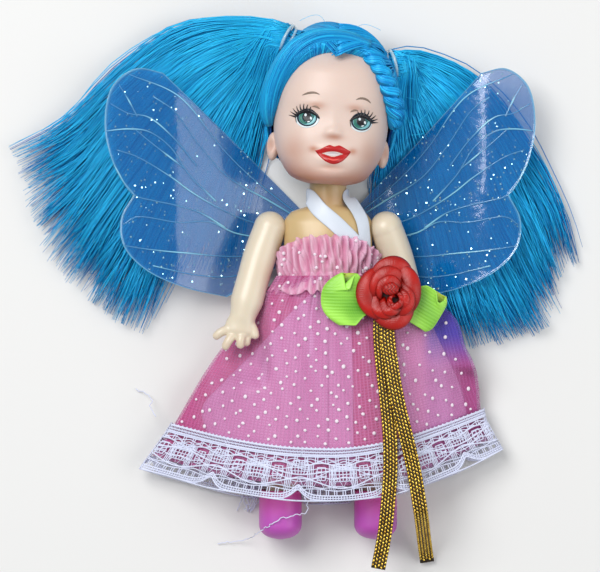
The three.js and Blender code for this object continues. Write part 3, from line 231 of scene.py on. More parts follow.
def squared(line: Array, up: Array) -> tuple[Array, Array]:
    """The directions across a line and up from it, both square to the line."""
    along = unit(np.gradient(line, axis=0))
    rise = np.broadcast_to(up, line.shape)
    rise = unit(rise - along * np.sum(rise * along, axis=1, keepdims=True))
    return np.cross(along, rise), rise


def rings_along(line: Array, section: Array, up: Array) -> Array:
    """Carry a section along a line: points in an array of line by section by three.

    At each point the section's first number runs across, which is the line's direction crossed with
    up, and its second runs along up after up is squared to the line. Up is one vector or one for each
    point.
    """
    across, rise = squared(line, up)
    return line[:, None] + section[..., :1] * across[:, None] + section[..., 1:] * rise[:, None]


def oval(half: Array | float, rise: Array | float, sides: int, power: float = 1.0) -> Array:
    """Pairs round an oval, for each value of its two half-widths, and squarer where power is below one."""
    across, up = signed_power(np.cos(circle(sides)), power), signed_power(np.sin(circle(sides)), power)
    half, rise = np.broadcast_arrays(np.asarray(half, float)[..., None], np.asarray(rise, float)[..., None])
    return np.stack([half * across, rise * up], axis=-1)


class Graph:
    """A node tree while it is wired, with short calls for the nodes that the finishes share."""

    def __init__(self, tree: bpy.types.NodeTree) -> None:
        """Work on one node tree."""
        self.tree = tree

    def node(self, kind: str, **settings: object) -> bpy.types.Node:
        """Add a node of a kind, with its settings."""
        made = self.tree.nodes.new(kind)
        for name, value in settings.items():
            setattr(made, name, value)
        return made

    def feed(self, socket: bpy.types.NodeSocket, value: object) -> None:
        """Put a number or a colour on a socket, or link another socket to it."""
        if isinstance(value, bpy.types.NodeSocket):
            self.tree.links.new(value, socket)
        else:
            socket.default_value = value

    def fill(self, node: bpy.types.Node, **values: object) -> None:
        """Feed several inputs, each by its name in small letters with an underscore for each space."""
        for socket in node.inputs:
            name = socket.name.lower().replace(" ", "_")
            if name in values:
                self.feed(socket, values.pop(name))
        assert not values, f"{node.name} has no {', '.join(values)}"

    def maths(self, operation: str, *values: object) -> bpy.types.NodeSocket:
        """One Math node over numbers or sockets."""
        made = self.node("ShaderNodeMath", operation=operation)
        for socket, value in zip(made.inputs, values):
            self.feed(socket, value)
        return made.outputs[0]

    def blend(self, share: object, low: object, high: object) -> bpy.types.NodeSocket:
        """A colour mixed from two by a share."""
        made = self.node("ShaderNodeMix", data_type="RGBA")
        for index, value in ((0, share), (6, low), (7, high)):
            self.feed(made.inputs[index], value)
        return made.outputs[2]

    def span(self, value: object, low: float, high: float) -> bpy.types.NodeSocket:
        """A share from 0 to 1 stretched to run from low to high."""
        made = self.node("ShaderNodeMapRange")
        for index, given in ((0, value), (3, low), (4, high)):
            self.feed(made.inputs[index], given)
        return made.outputs[0]

    def mark(self, name: str) -> bpy.types.Node:
        """The mesh's own attribute of a name."""
        return self.node("ShaderNodeAttribute", attribute_name=name)

    def places(self) -> bpy.types.NodeSocket:
        """Object coordinates, in metres."""
        return self.node("ShaderNodeTexCoord").outputs["Object"]

    def group(self, tree: bpy.types.NodeTree, **values: object) -> bpy.types.Node:
        """Place a shared group, with its values by input name."""
        made = self.node("ShaderNodeGroup", node_tree=tree)
        for name, value in values.items():
            self.feed(made.inputs[name], value)
        return made

    def threads(self, pitch: float, sharp: float) -> bpy.types.Node:
        """The shared weave over the directions that the mark named lie gives."""
        return self.group(Groups.weave(), Place=self.mark("lie").outputs["Vector"], Pitch=pitch, Sharp=sharp)

    def cloth_colour(self, plain: Colour, deep: Colour, other: Colour) -> bpy.types.NodeSocket:
        """A cloth's colour: the deep colour where the mark named fold says, which on most cloths is painted
        shade in their folds, and the other colour where tint says.
        """
        base = self.blend(self.mark("fold").outputs["Fac"], full(plain), full(deep))
        return self.blend(self.mark("tint").outputs["Fac"], base, full(other))

    def bump(self, height: object, distance: float, strength: float = 1.0) -> bpy.types.NodeSocket:
        """A normal from a height, with its distance in metres."""
        made = self.node("ShaderNodeBump")
        self.fill(made, strength=strength, distance=distance, height=height)
        return made.outputs["Normal"]


def shared_group(
    name: str, inputs: dict[str, str], outputs: dict[str, str]
) -> tuple[bpy.types.NodeTree, Graph]:
    """Start a shader node group, with the kind of each socket by name, and a graph to wire it with."""
    tree = bpy.data.node_groups.new(name, "ShaderNodeTree")
    for way, sockets in (("INPUT", inputs), ("OUTPUT", outputs)):
        for label, kind in sockets.items():
            tree.interface.new_socket(label, in_out=way, socket_type=kind)
    return tree, Graph(tree)


class Groups:
    """The shader node groups that more than one finish uses, each built once."""

    _made: dict[str, bpy.types.NodeTree] = {}

    @classmethod
    def grain(cls) -> bpy.types.NodeTree:
        """Fine uneven grain: noise over a place times a scale, as a share and as a height."""
        if "grain" not in cls._made:
            number, vector = "NodeSocketFloat", "NodeSocketVector"
            tree, g = shared_group("surface grain", {"Place": vector, "Scale": number}, {"Share": number})
            source, sink = g.node("NodeGroupInput"), g.node("NodeGroupOutput")
            noise = g.node("ShaderNodeTexNoise")
            noise.inputs["Detail"].default_value = GRAIN_DETAIL
            g.feed(noise.inputs["Vector"], source.outputs["Place"])
            g.feed(noise.inputs["Scale"], source.outputs["Scale"])
            g.feed(sink.inputs["Share"], noise.outputs["Fac"])
            cls._made["grain"] = tree
        return cls._made["grain"]

    @classmethod
    def weave(cls) -> bpy.types.NodeTree:
        """Crossed threads over a place in millimetres: how near a place is to a thread of either kind.

        Net is the larger of the two cosines' absolute values raised to Sharp, and Cloth is the product
        of the two sines' absolute values.
        """
        if "weave" not in cls._made:
            number, vector = "NodeSocketFloat", "NodeSocketVector"
            tree, g = shared_group(
                "crossed threads",
                {"Place": vector, "Pitch": number, "Sharp": number},
                {"Net": number, "Cloth": number},
            )
            source, sink = g.node("NodeGroupInput"), g.node("NodeGroupOutput")
            parts = g.node("ShaderNodeSeparateXYZ")
            g.feed(parts.inputs[0], source.outputs["Place"])
            lines, bumps = [], []
            for axis in (0, 1):
                scaled = g.maths("MULTIPLY", parts.outputs[axis], math.pi)
                turn = g.maths("DIVIDE", scaled, source.outputs["Pitch"])
                near = g.maths("ABSOLUTE", g.maths("COSINE", turn))
                lines.append(g.maths("POWER", near, source.outputs["Sharp"]))
                bumps.append(g.maths("ABSOLUTE", g.maths("SINE", turn)))
            g.feed(sink.inputs["Net"], g.maths("MAXIMUM", *lines))
            g.feed(sink.inputs["Cloth"], g.maths("MULTIPLY", *bumps))
            cls._made["weave"] = tree
        return cls._made["weave"]


def srgb(red: int, green: int, blue: int) -> Colour:
    """A screen colour from 0 to 255 as the linear colour that shaders take."""
    share = np.array([red, green, blue]) / 255
    low, high = share / 12.92, ((share + 0.055) / 1.055) ** 2.4
    return tuple(float(x) for x in np.where(share <= 0.04045, low, high))


def full(colour: Colour) -> tuple[float, float, float, float]:
    """A colour with an alpha of one."""
    return (*colour, 1.0)


@dataclass(frozen=True)
class Finish:
    """What a surface is made of: its material slot in the record, which is not used, and its look."""

    name: str
    slot: str
    colour: Colour
    roughness: float = 0.5

    def material(self) -> bpy.types.Material:
        """The finish's material, made at its first use."""
        found = bpy.data.materials.get(self.name)
        if found:
            return found
        made = bpy.data.materials.new(self.name)
        made.use_nodes = True
        g, shader = Graph(made.node_tree), made.node_tree.nodes["Principled BSDF"]
        g.fill(shader, base_color=full(self.colour), roughness=self.roughness)
        self.dress(g, shader)
        return made

    def dress(self, g: Graph, shader: bpy.types.Node) -> None:
        """Add what this kind of finish has over plain colour and roughness."""


@dataclass(frozen=True)
class Vinyl(Finish):
    """Moulded vinyl or plastic: a trace of grain, and a warmer colour where a mark says, which is partly the
    doll's own blush and partly painted shade and warm reflection.
    """

    # The warm colour: the vinyl's blush, and painted shade and warm reflection where the mark puts it.
    warm: Colour = (0.5, 0.3, 0.2)
    coat: float = 0.15
    coat_roughness: float = 0.25
    soft: float = 0.08
    uneven: float = 0.05

    def dress(self, g: Graph, shader: bpy.types.Node) -> None:
        """Mix the warm colour in, as blush and as painted shade, and add the coat, the grain and a little
        light under the surface.
        """
        grain = g.group(Groups.grain(), Place=g.places(), Scale=900.0).outputs["Share"]
        g.fill(
            shader,
            base_color=g.blend(g.mark("blush").outputs["Fac"], full(self.colour), full(self.warm)),
            roughness=g.span(grain, self.roughness - self.uneven, self.roughness + self.uneven),
            normal=g.bump(grain, 0.03 * MM, 0.25),
            coat_weight=self.coat,
            coat_roughness=self.coat_roughness,
            subsurface_weight=self.soft,
            subsurface_radius=(1.5 * MM, 0.7 * MM, 0.4 * MM),
        )


@dataclass(frozen=True)
class Fibre(Finish):
    """Dyed nylon hair: each strand has its own tone, from dark to bright, which on the pigtails also carries
    painted light.
    """

    bright: Colour = (0.0, 0.4, 0.9)
    shine: float = 0.25
    tint: Colour = (0.45, 0.85, 1.0)

    def dress(self, g: Graph, shader: bpy.types.Node) -> None:
        """Mix the strand's tone and give the sheen the hair's own colour."""
        g.fill(
            shader,
            base_color=g.blend(g.mark("tone").outputs["Fac"], full(self.colour), full(self.bright)),
            metallic=self.shine,
            specular_tint=full(self.tint),
            specular_ior_level=0.6,
        )


@dataclass(frozen=True)
class Film(Finish):
    """Clear tinted sheet: glossy, and less clear along its veins and rim, where the mark named vein is, which
    on the veins also carries painted highlights.
    """

    clear: float = 0.3
    dense: float = 0.8
    rim: Colour = (0.5, 0.85, 0.95)

    def dress(self, g: Graph, shader: bpy.types.Node) -> None:
        """Set the alpha by the vein mark, with a hard coat and slight waves in the sheet."""
        vein = g.mark("vein").outputs["Fac"]
        waves = g.group(Groups.grain(), Place=g.places(), Scale=120.0).outputs["Share"]
        g.fill(
            shader,
            base_color=g.blend(vein, full(self.colour), full(self.rim)),
            alpha=g.span(vein, self.clear, self.dense),
            normal=g.bump(waves, 0.6 * MM, 0.5),
            coat_weight=1.0,
            coat_roughness=0.04,
            specular_ior_level=0.8,
        )


@dataclass(frozen=True)
class Satin(Finish):
    """Smooth woven cloth or ribbon: fine threads along its own directions, and painted shade in its folds."""

    # The colour of the painted shade in the folds.
    deep: Colour = (0.3, 0.02, 0.04)
    other: Colour = (0.1, 0.05, 0.3)
    pitch: float = 0.32
    sheen: float = 0.25
    shine: float = 0.0
    clear: float = 1.0

    def dress(self, g: Graph, shader: bpy.types.Node) -> None:
        """Paint shade into the folds by the mark named fold, tint some places by tint, and lay the threads by
        lie.
        """
        threads = g.threads(self.pitch, 3.0)
        g.fill(
            shader,
            base_color=g.cloth_colour(self.colour, self.deep, self.other),
            alpha=self.clear,
            normal=g.bump(threads.outputs["Cloth"], 0.04 * MM, 0.5),
            sheen_weight=self.sheen,
            sheen_roughness=0.4,
            metallic=self.shine,
        )


@dataclass(frozen=True)
class Net(Finish):
    """Sheer net: its threads are dense and the space between them nearly clear."""

    # The colour of the painted shade in the folds.
    deep: Colour = (0.4, 0.1, 0.3)
    other: Colour = (0.15, 0.1, 0.55)
    pitch: float = 0.6
    open_alpha: float = 0.25
    thread_alpha: float = 0.75

    def dress(self, g: Graph, shader: bpy.types.Node) -> None:
        """Let the threads of the weave set the alpha."""
        threads = g.threads(self.pitch, 6.0)
        g.fill(
            shader,
            base_color=g.cloth_colour(self.colour, self.deep, self.other),
            alpha=g.span(threads.outputs["Net"], self.open_alpha, self.thread_alpha),
            sheen_weight=0.3,
        )


@dataclass(frozen=True)
class Clear(Finish):
    """Clear and shiny, such as an elastic band."""

    alpha: float = 0.4
    metal: float = 0.0

    def dress(self, g: Graph, shader: bpy.types.Node) -> None:
        """Set a plain alpha and a coat."""
        g.fill(shader, alpha=self.alpha, metallic=self.metal, coat_weight=0.8, coat_roughness=0.05)


FACE = Vinyl("face vinyl", "face_vinyl", srgb(222, 197, 184), 0.46, warm=srgb(190, 122, 92), coat=0.06)
LIMB = Vinyl(
    "limb vinyl", "limb_vinyl", srgb(222, 208, 184), 0.38, warm=srgb(206, 156, 120), coat=0.22,
    coat_roughness=0.2,
)
TRUNK = Vinyl("torso plastic", "torso_plastic", srgb(204, 176, 126), 0.36, warm=srgb(176, 122, 84), coat=0.2)
SHOE = Vinyl("shoe vinyl", "shoe_vinyl", srgb(186, 80, 178), 0.5, warm=srgb(206, 72, 146), coat=0.1)
HAIR = Fibre("hair fibre", "hair_fibre", srgb(0, 98, 192), 0.36, bright=srgb(44, 206, 255), shine=0.12)
# Dark hair under the strands, standing for the shade among them: painted shade.
HAIR_IN_PAINTED_SHADE = Fibre(
    "hair under the strands", "hair_fibre", srgb(0, 40, 110), 0.5, bright=srgb(0, 104, 196), shine=0.1,
)
WING = Film(
    "wing film", "wing_plastic", srgb(0, 112, 190), 0.12, clear=0.44, dense=0.95, rim=srgb(150, 220, 240),
)
BAND = Clear("clear elastic", "clear_elastic", srgb(214, 238, 246), 0.08)
PRINT_BLACK = Finish("print black", "face_vinyl", srgb(14, 12, 20), 0.35)
PRINT_WHITE = Finish("print white", "face_vinyl", srgb(222, 232, 234), 0.35)
PRINT_TEETH = Finish("print teeth", "face_vinyl", srgb(214, 204, 204), 0.35)
PRINT_NAVY = Finish("print dark blue", "face_vinyl", srgb(8, 32, 52), 0.3)
PRINT_TEAL = Finish("print dark teal", "face_vinyl", srgb(34, 92, 96), 0.3)
PRINT_GREEN = Finish("print green", "face_vinyl", srgb(44, 116, 100), 0.3)
PRINT_PALE = Finish("print pale aqua", "face_vinyl", srgb(128, 190, 196), 0.3)
PRINT_BROWN = Finish("print brown", "face_vinyl", srgb(134, 114, 100), 0.5)
PRINT_SHADE = Finish("print lid shade", "face_vinyl", srgb(148, 124, 108), 0.5)
PRINT_RED = Finish("print red", "face_vinyl", srgb(188, 30, 30), 0.34)
# A painted highlight on the lower lip.
LIP_PAINTED_HIGHLIGHT = Finish("print light red", "face_vinyl", srgb(238, 92, 84), 0.25)
BODICE = Satin(
    "bodice satin", "bodice_cloth", srgb(252, 200, 226), 0.32, deep=srgb(234, 126, 178), clear=0.58,
    sheen=0.6,
)
ELASTIC = Satin("elastic thread", "elastic_thread", srgb(238, 150, 194), 0.6, deep=srgb(226, 118, 168))
STRAP = Satin("white satin", "white_satin", srgb(218, 226, 236), 0.26, deep=srgb(150, 164, 184))
LINING = Satin(
    "lining", "lining_cloth", srgb(208, 92, 150), 0.5, deep=srgb(190, 56, 104), other=srgb(62, 44, 176),
)
PANEL = Satin("pale panel", "lining_cloth", srgb(216, 160, 204), 0.4, deep=srgb(196, 116, 168), pitch=0.4)
TULLE = Net(
    "dotted net", "dotted_tulle", srgb(230, 156, 206), 0.6, deep=srgb(206, 84, 156), pitch=0.62,
    open_alpha=0.16, thread_alpha=0.4,
)
DOT = Satin("net dot", "dotted_tulle", srgb(240, 226, 236), 0.6, deep=srgb(210, 180, 200))
LACE = Satin("lace thread", "lace", srgb(226, 230, 250), 0.7, deep=srgb(184, 188, 216))
ROSE = Satin("red satin", "red_satin", srgb(184, 18, 4), 0.36, deep=srgb(76, 2, 0), sheen=0.0, pitch=0.3)
LEAF = Satin(
    "green ribbon", "green_ribbon", srgb(168, 236, 84), 0.4, deep=srgb(92, 168, 32), other=srgb(206, 214, 70),
    sheen=0.1,
)
GOLD = Satin(
    "gold braid", "gold_braid", srgb(250, 212, 92), 0.26, deep=srgb(170, 122, 30), sheen=0.0, shine=0.85,
)
GOLD_DARK = Satin(
    "braid core", "gold_braid", srgb(62, 42, 10), 0.5, deep=srgb(48, 32, 6), sheen=0.0, shine=0.3,
)
GLITTER = Clear("wing glitter", "wing_plastic", srgb(196, 240, 246), 0.15, alpha=1.0, metal=0.9)


class Shape:
    """Points in millimetres, faces over them, and marks: numbers that the finishes read at each point."""

    def __init__(self, points: Array, faces: list[Array], **marks: Array | float) -> None:
        """Keep the points as one row each, and spread each plain mark over all of them."""
        self.points = np.asarray(points, float).reshape(-1, 3)
        self.faces = [np.asarray(f, np.int64) for f in faces if len(f)]
        count = len(self.points)
        self.marks: dict[str, Array] = {}
        for name, value in marks.items():
            given = np.asarray(value, float)
            wide = given.ndim > 0 and given.shape[-1] == 3 and given.size == count * 3
            plain = given if wide else np.broadcast_to(given.ravel(), (count,)).copy()
            self.marks[name] = plain.reshape(count, 3) if wide else plain

    def outward(self) -> "Shape":
        """The same closed shape with its faces turned out, by the sign of the volume they enclose."""
        volume = 0.0
        for f in self.faces:
            corner = self.points[f]
            for k in range(1, f.shape[1] - 1):
                volume += float(np.sum(corner[:, 0] * np.cross(corner[:, k], corner[:, k + 1])))
        if volume < 0:
            self.faces = [f[:, ::-1] for f in self.faces]
        return self

    def moved(self, matrix: Array, shift: Array) -> "Shape":
        """The same shape turned by a matrix and then shifted."""
        made = Shape(self.points @ matrix.T + shift, self.faces)
        made.marks = self.marks
        return made

    @staticmethod
    def joined(shapes: Sequence["Shape"]) -> "Shape":
        """Several shapes as one, with zero where a shape lacks a mark."""
        points = np.concatenate([s.points for s in shapes])
        start = np.concatenate([[0], np.cumsum([len(s.points) for s in shapes])])
        by_size: dict[int, list[Array]] = {}
        for s, first in zip(shapes, start):
            for f in s.faces:
                by_size.setdefault(f.shape[1], []).append(f + first)
        made = Shape(points, [np.concatenate(f) for f in by_size.values()])
        for name in sorted({n for s in shapes for n in s.marks}):
            wide = any(s.marks[name].ndim > 1 for s in shapes if name in s.marks)
            blank = (lambda s: np.zeros((len(s.points), 3))) if wide else (lambda s: np.zeros(len(s.points)))
            made.marks[name] = np.concatenate([s.marks.get(name, blank(s)) for s in shapes])
        return made

    def mesh(self, name: str, smooth: bool = True) -> bpy.types.Mesh:
        """Make the Blender mesh, in metres, with its marks as point attributes."""
        mesh = bpy.data.meshes.new(name)
        corners = np.concatenate([f.ravel() for f in self.faces]).astype(np.int32)
        sizes = np.concatenate([np.full(len(f), f.shape[1]) for f in self.faces])
        starts = np.concatenate([[0], np.cumsum(sizes)[:-1]]).astype(np.int32)
        mesh.vertices.add(len(self.points))
        mesh.vertices.foreach_set("co", (self.points * MM).astype(np.float32).ravel())
        mesh.loops.add(len(corners))
        mesh.loops.foreach_set("vertex_index", corners)
        mesh.polygons.add(len(sizes))
        mesh.polygons.foreach_set("loop_start", starts)
        mesh.update(calc_edges=True)
        mesh.validate()
        mesh.polygons.foreach_set("use_smooth", np.full(len(mesh.polygons), smooth))
        for label, value in self.marks.items():
            kind, slot = ("FLOAT_VECTOR", "vector") if value.ndim > 1 else ("FLOAT", "value")
            attribute = mesh.attributes.new(label, kind, "POINT")
            attribute.data.foreach_set(slot, value.astype(np.float32).ravel())
        return mesh

    def piece(
        self,
        name: str,
        finish: Finish,
        body: Body | None,
        replaces: Sequence[str] = (),
        smooth: bool = True,
    ) -> bpy.types.Object:
        """Make a piece of the scene that rides on a body, or on no body where None is given.

        Replaces names the CAD nodes that the piece stands for.
        """
        made = bpy.data.objects.new(name, self.mesh(name, smooth))
        bpy.context.scene.collection.objects.link(made)
        made.data.materials.append(finish.material())
        if body is not None:
            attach(made, body.value)
        if replaces:
            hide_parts(*replaces)
        where = body.value if body else "two bodies"
        low = float(self.points[:, 2].min())
        LOG.info("%s: %d points on %s, from %.2f mm up", name, len(self.points), where, low)
        return made


def tube(line: Array, section: Array, up: Array, **marks: Array) -> Shape:
    """A closed solid whose section is carried along a line, with marks for its points or the line's.

    Its mark named lie holds millimetres round the section and along the line.
    """
    points = rings_along(line, section, up)
    rows, columns = points.shape[:2]
    run = run_of(line)
    step = np.mean(np.linalg.norm(np.diff(points, axis=1), axis=2))
    round_it = np.linspace(0, 1, columns) * columns * step
    lie = np.stack(np.broadcast_arrays(round_it[None, :], run[:, None], 0.0), axis=-1)
    spread = {
        k: np.broadcast_to(np.asarray(v, float)[:, None], (rows, columns)) if np.size(v) == rows else v
        for k, v in marks.items()
    }
    return Shape(points, grid_faces(rows, columns), **{"lie": lie, **spread}).outward()


def strands(lines: Array, radius: Array, tone: Array, sides: int = 3) -> Shape:
    """Many thin tubes as one shape, over lines in an array of strand by step by three.

    At each point of each line a small ring stands square to the line. Tone holds one value for each
    strand, or for each of its steps.
    """
    count, steps = lines.shape[:2]
    along = unit(np.gradient(lines, axis=1))
    guess = np.where(np.abs(along[..., 2:]) > STEEP, [1.0, 0, 0], [0, 0, 1.0])
    across = unit(np.cross(along, guess))
    rise = np.cross(across, along)
    a = circle(sides)[:, None]
    ring = across[:, :, None] * np.cos(a) + rise[:, :, None] * np.sin(a)
    points = lines[:, :, None] + ring * np.broadcast_to(radius, (count, steps))[:, :, None, None]
    tones = np.broadcast_to(np.asarray(tone, float).reshape(count, -1), (count, steps))
    return Shape(points, tube_faces(count, steps, sides), tone=np.repeat(tones.ravel(), sides)).outward()


def slab(
    middle: Array, normal: Array, thick: Array | float, wrap: bool = False, **marks: Array
) -> Shape:
    """A thin closed sheet: a grid of points moved half the thickness each way along its normal.

    Wrap joins the last column to the first, and the marks hold a number for each point of the grid.
    """
    rows, columns = middle.shape[:2]
    half = np.broadcast_to(np.asarray(thick, float) / 2, (rows, columns))[..., None]
    top, bottom = middle + normal * half, middle - normal * half
    quads = grid_faces(rows, columns, wrap, closed=False)[0]
    count = rows * columns
    index = np.arange(count).reshape(rows, columns)
    rims = [index[0], index[-1][::-1]]
    if wrap:
        rims = [np.append(r, r[0]) for r in rims]
    else:
        rims += [index[::-1, 0], index[:, -1]]
    edges = [np.stack([a + count, b + count, b, a], axis=-1) for a, b in ((r[:-1], r[1:]) for r in rims)]
    spread = {k: np.concatenate([np.reshape(v, (count, -1))] * 2).squeeze() for k, v in marks.items()}
    points = np.concatenate([top.reshape(-1, 3), bottom.reshape(-1, 3)])
    return Shape(points, [quads, quads[:, ::-1] + count, *edges], **spread).outward()


def normals_of(surface: Array) -> Array:
    """The direction square to a grid of points: the cross of its differences down and across."""
    return unit(np.cross(np.gradient(surface, axis=1), np.gradient(surface, axis=0)))


def blob(centre: Array, radii: Array, across: int = 16, down: int = 10, **marks: Array | float) -> Shape:
    """A round form: a sphere stretched by three radii about a centre."""
    polar = np.linspace(POLE, math.pi - POLE, down)[:, None]
    a = circle(across)[None, :]
    flat = np.sin(polar)
    point = np.stack(np.broadcast_arrays(flat * np.cos(a), flat * np.sin(a), np.cos(polar)), axis=-1)
    return Shape(point * radii + centre, grid_faces(down, across), **marks).outward()


def fused(shape: Shape, voxel: float, rounds: int = 6) -> Shape:
    """One skin, without marks, round overlapping closed forms, as a moulded piece has.

    The forms are fused on a grid of voxel size, and the skin is smoothed for a number of rounds.
    """
    mesh = shape.mesh("work")
    work = bpy.data.objects.new("work", mesh)
    bpy.context.scene.collection.objects.link(work)
    join = work.modifiers.new("join", "REMESH")
    join.mode, join.voxel_size = "VOXEL", voxel * MM
    soften = work.modifiers.new("soften", "SMOOTH")
    soften.factor, soften.iterations = 0.5, rounds
    made = work.evaluated_get(bpy.context.evaluated_depsgraph_get()).to_mesh()
    points = np.empty(len(made.vertices) * 3, np.float32)
    made.vertices.foreach_get("co", points)
    corners = np.empty(len(made.loops), np.int32)
    made.loops.foreach_get("vertex_index", corners)
    sizes = np.empty(len(made.polygons), np.int32)
    made.polygons.foreach_get("loop_total", sizes)
    starts = np.concatenate([[0], np.cumsum(sizes)[:-1]])
    faces = [corners[starts[sizes == n][:, None] + np.arange(n)] for n in np.unique(sizes)]
    bpy.data.objects.remove(work)
    bpy.data.meshes.remove(mesh)
    return Shape(points.reshape(-1, 3).astype(float) / MM, faces).outward()


def turn_about_x(degrees: float) -> Array:
    """A matrix that turns by an angle about X."""
    c, s = math.cos(math.radians(degrees)), math.sin(math.radians(degrees))
    return np.array([[1, 0, 0], [0, c, -s], [0, s, c]])


def turn_about_z(degrees: float) -> Array:
    """A matrix that turns by an angle about Z."""
    c, s = math.cos(math.radians(degrees)), math.sin(math.radians(degrees))
    return np.array([[c, -s, 0], [s, c, 0], [0, 0, 1]])


FEATURES = (
    (0.85, 0.0, 6.3, 1.6, 1.25), (0.3, 0.0, 8.8, 1.4, 2.4),
    (0.2, -1.3, 5.9, 0.8, 0.8), (0.2, 1.3, 5.9, 0.8, 0.8),
    (-0.4, -5.6, 9.2, 2.6, 1.7), (-0.4, 5.6, 9.2, 2.6, 1.7),
    (0.22, -5.5, 12.0, 2.8, 0.8), (0.22, 5.5, 12.0, 2.8, 0.8),
    (0.35, -6.2, 4.4, 3.0, 2.6), (0.35, 6.2, 4.4, 3.0, 2.6),
    (0.42, 0.0, 2.8, 2.9, 0.6), (0.5, 0.0, 0.4, 2.2, 0.75),
    (-0.3, 0.0, 1.6, 2.4, 0.4), (-0.25, 0.0, -1.2, 2.6, 0.5), (0.4, 0.0, -2.6, 2.8, 1.3),
)
# Warm spots on the face: painted shade and warm reflection at the sides of the jaw, painted shade under the
# nose, warmer over the eyes and at the mouth's corners, and painted shade below the lower lip.
WARMTH = (
    (0.45, -8.0, 1.6, 2.6, 3.2), (0.45, 8.0, 1.6, 2.6, 3.2), (0.75, 0.2, 5.2, 1.9, 0.6),
    (0.55, -3.7, 11.5, 1.6, 0.8), (0.55, 4.1, 11.5, 1.6, 0.8),
    (0.8, -3.9, 2.5, 0.9, 0.7), (0.8, 4.2, 2.5, 0.9, 0.7), (0.4, 0.0, -1.0, 2.2, 0.6),
)


def spots(u: Array, v: Array, table: Sequence[tuple[float, ...]]) -> Array:
    """A sum of smooth spots, each given as its height, its u and v, its width and its tallness."""
    return sum(height * bell(u - at, wide) * bell(v - up, tall) for height, at, up, wide, tall in table)


@dataclass
class HeadForm:
    """The head's outer form, in a frame on the neck ball: u to the side, v up the head, w out of the face."""

    half: float = 12.0
    front: float = 15.4
    back: float = 7.2
    bottom: float = -4.4
    top: float = 26.9
    roll_deg: float = 4.0
    neck: tuple[float, float, float] = (0.0, 16.0, AXIS_Z)
    cheek_up: float = 2.4
    cheek: float = 0.015
    cheek_tall: float = 4.5
    square: float = 0.9
    middle: float = 0.6
    halvings: int = 30

    half_share = Profile([
        (0, 0.33), (0.02, 0.53), (0.05, 0.67), (0.11, 0.79), (0.166, 0.875), (0.22, 0.93), (0.3, 0.975),
        (0.43, 1), (0.59, 0.985), (0.72, 0.925), (0.84, 0.78), (0.94, 0.54), (0.985, 0.3), (1, 0.12),
    ])
    front_share = Profile([
        (0, 0.74), (0.02, 0.84), (0.06, 0.92), (0.11, 0.965), (0.17, 0.98), (0.3, 0.985), (0.43, 0.975),
        (0.58, 1), (0.72, 0.955), (0.84, 0.8), (0.94, 0.58), (0.985, 0.4), (1, 0.3),
    ])
    back_share = Profile([
        (0, 0.62), (0.02, 0.74), (0.06, 0.83), (0.11, 0.89), (0.17, 0.93), (0.27, 0.975), (0.43, 1),
        (0.6, 0.97), (0.72, 0.87), (0.84, 0.66), (0.94, 0.3), (0.985, 0.02), (1, -0.14),
    ])

    def skin(self, v: Array, a: Array, grow: float = 0.0) -> Array:
        """The head's surface, in its frame: an oval ring at each height v, fuller at the cheeks.

        The face lies at angles a from 0 to pi. The surface runs outside the head by grow.
        """
        v, a = np.broadcast_arrays(np.asarray(v, float), np.asarray(a, float))
        share = np.clip((v - self.bottom) / (self.top - self.bottom), 0, 1)
        half = self.half * self.half_share(share) + grow
        front = self.front * self.front_share(share) + grow
        back = self.back * self.back_share(share) + grow
        sine = np.sin(a)
        swell = self.cheek * bell(v - self.cheek_up, self.cheek_tall) * np.sin(2 * a) ** 2
        puff = 1 + np.where(sine > 0, swell, 0)
        out = (front - back) / 2 + (front + back) / 2 * signed_power(sine, self.square) * puff
        return np.stack([half * np.cos(a) * puff, v + lerp(-grow, grow, share), out], axis=-1)

    def relief(self, u: Array, v: Array) -> Array:
        """How far the features stand out of the face: a sum of smooth bumps and dents."""
        return spots(u - self.middle, v, FEATURES)

    def face(self, u: Array, v: Array, lift: Array | float = 0.0) -> Array:
        """Places on the face over given u and v: the ring's angle is found by halving its span."""
        u, v = np.asarray(u, float), np.asarray(v, float)
        low, high = np.zeros_like(u), np.full_like(u, math.pi)
        for _ in range(self.halvings):
            mid = (low + high) / 2
            beyond = self.skin(v, mid)[..., 0] > u
            low, high = np.where(beyond, mid, low), np.where(beyond, high, mid)
        w = self.skin(v, (low + high) / 2)[..., 2] + self.relief(u, v) + lift
        return np.stack([u, v, w], axis=-1)

    def placed(self, shape: Shape) -> Shape:
        """A shape from the head's frame, where it lies in the part's frame."""
        return shape.moved(turn_about_z(-self.roll_deg), np.array(self.neck))

    def points(self, local: Array) -> Array:
        """Points from the head's frame in the part's frame."""
        return np.asarray(local, float) @ turn_about_z(-self.roll_deg).T + np.array(self.neck)


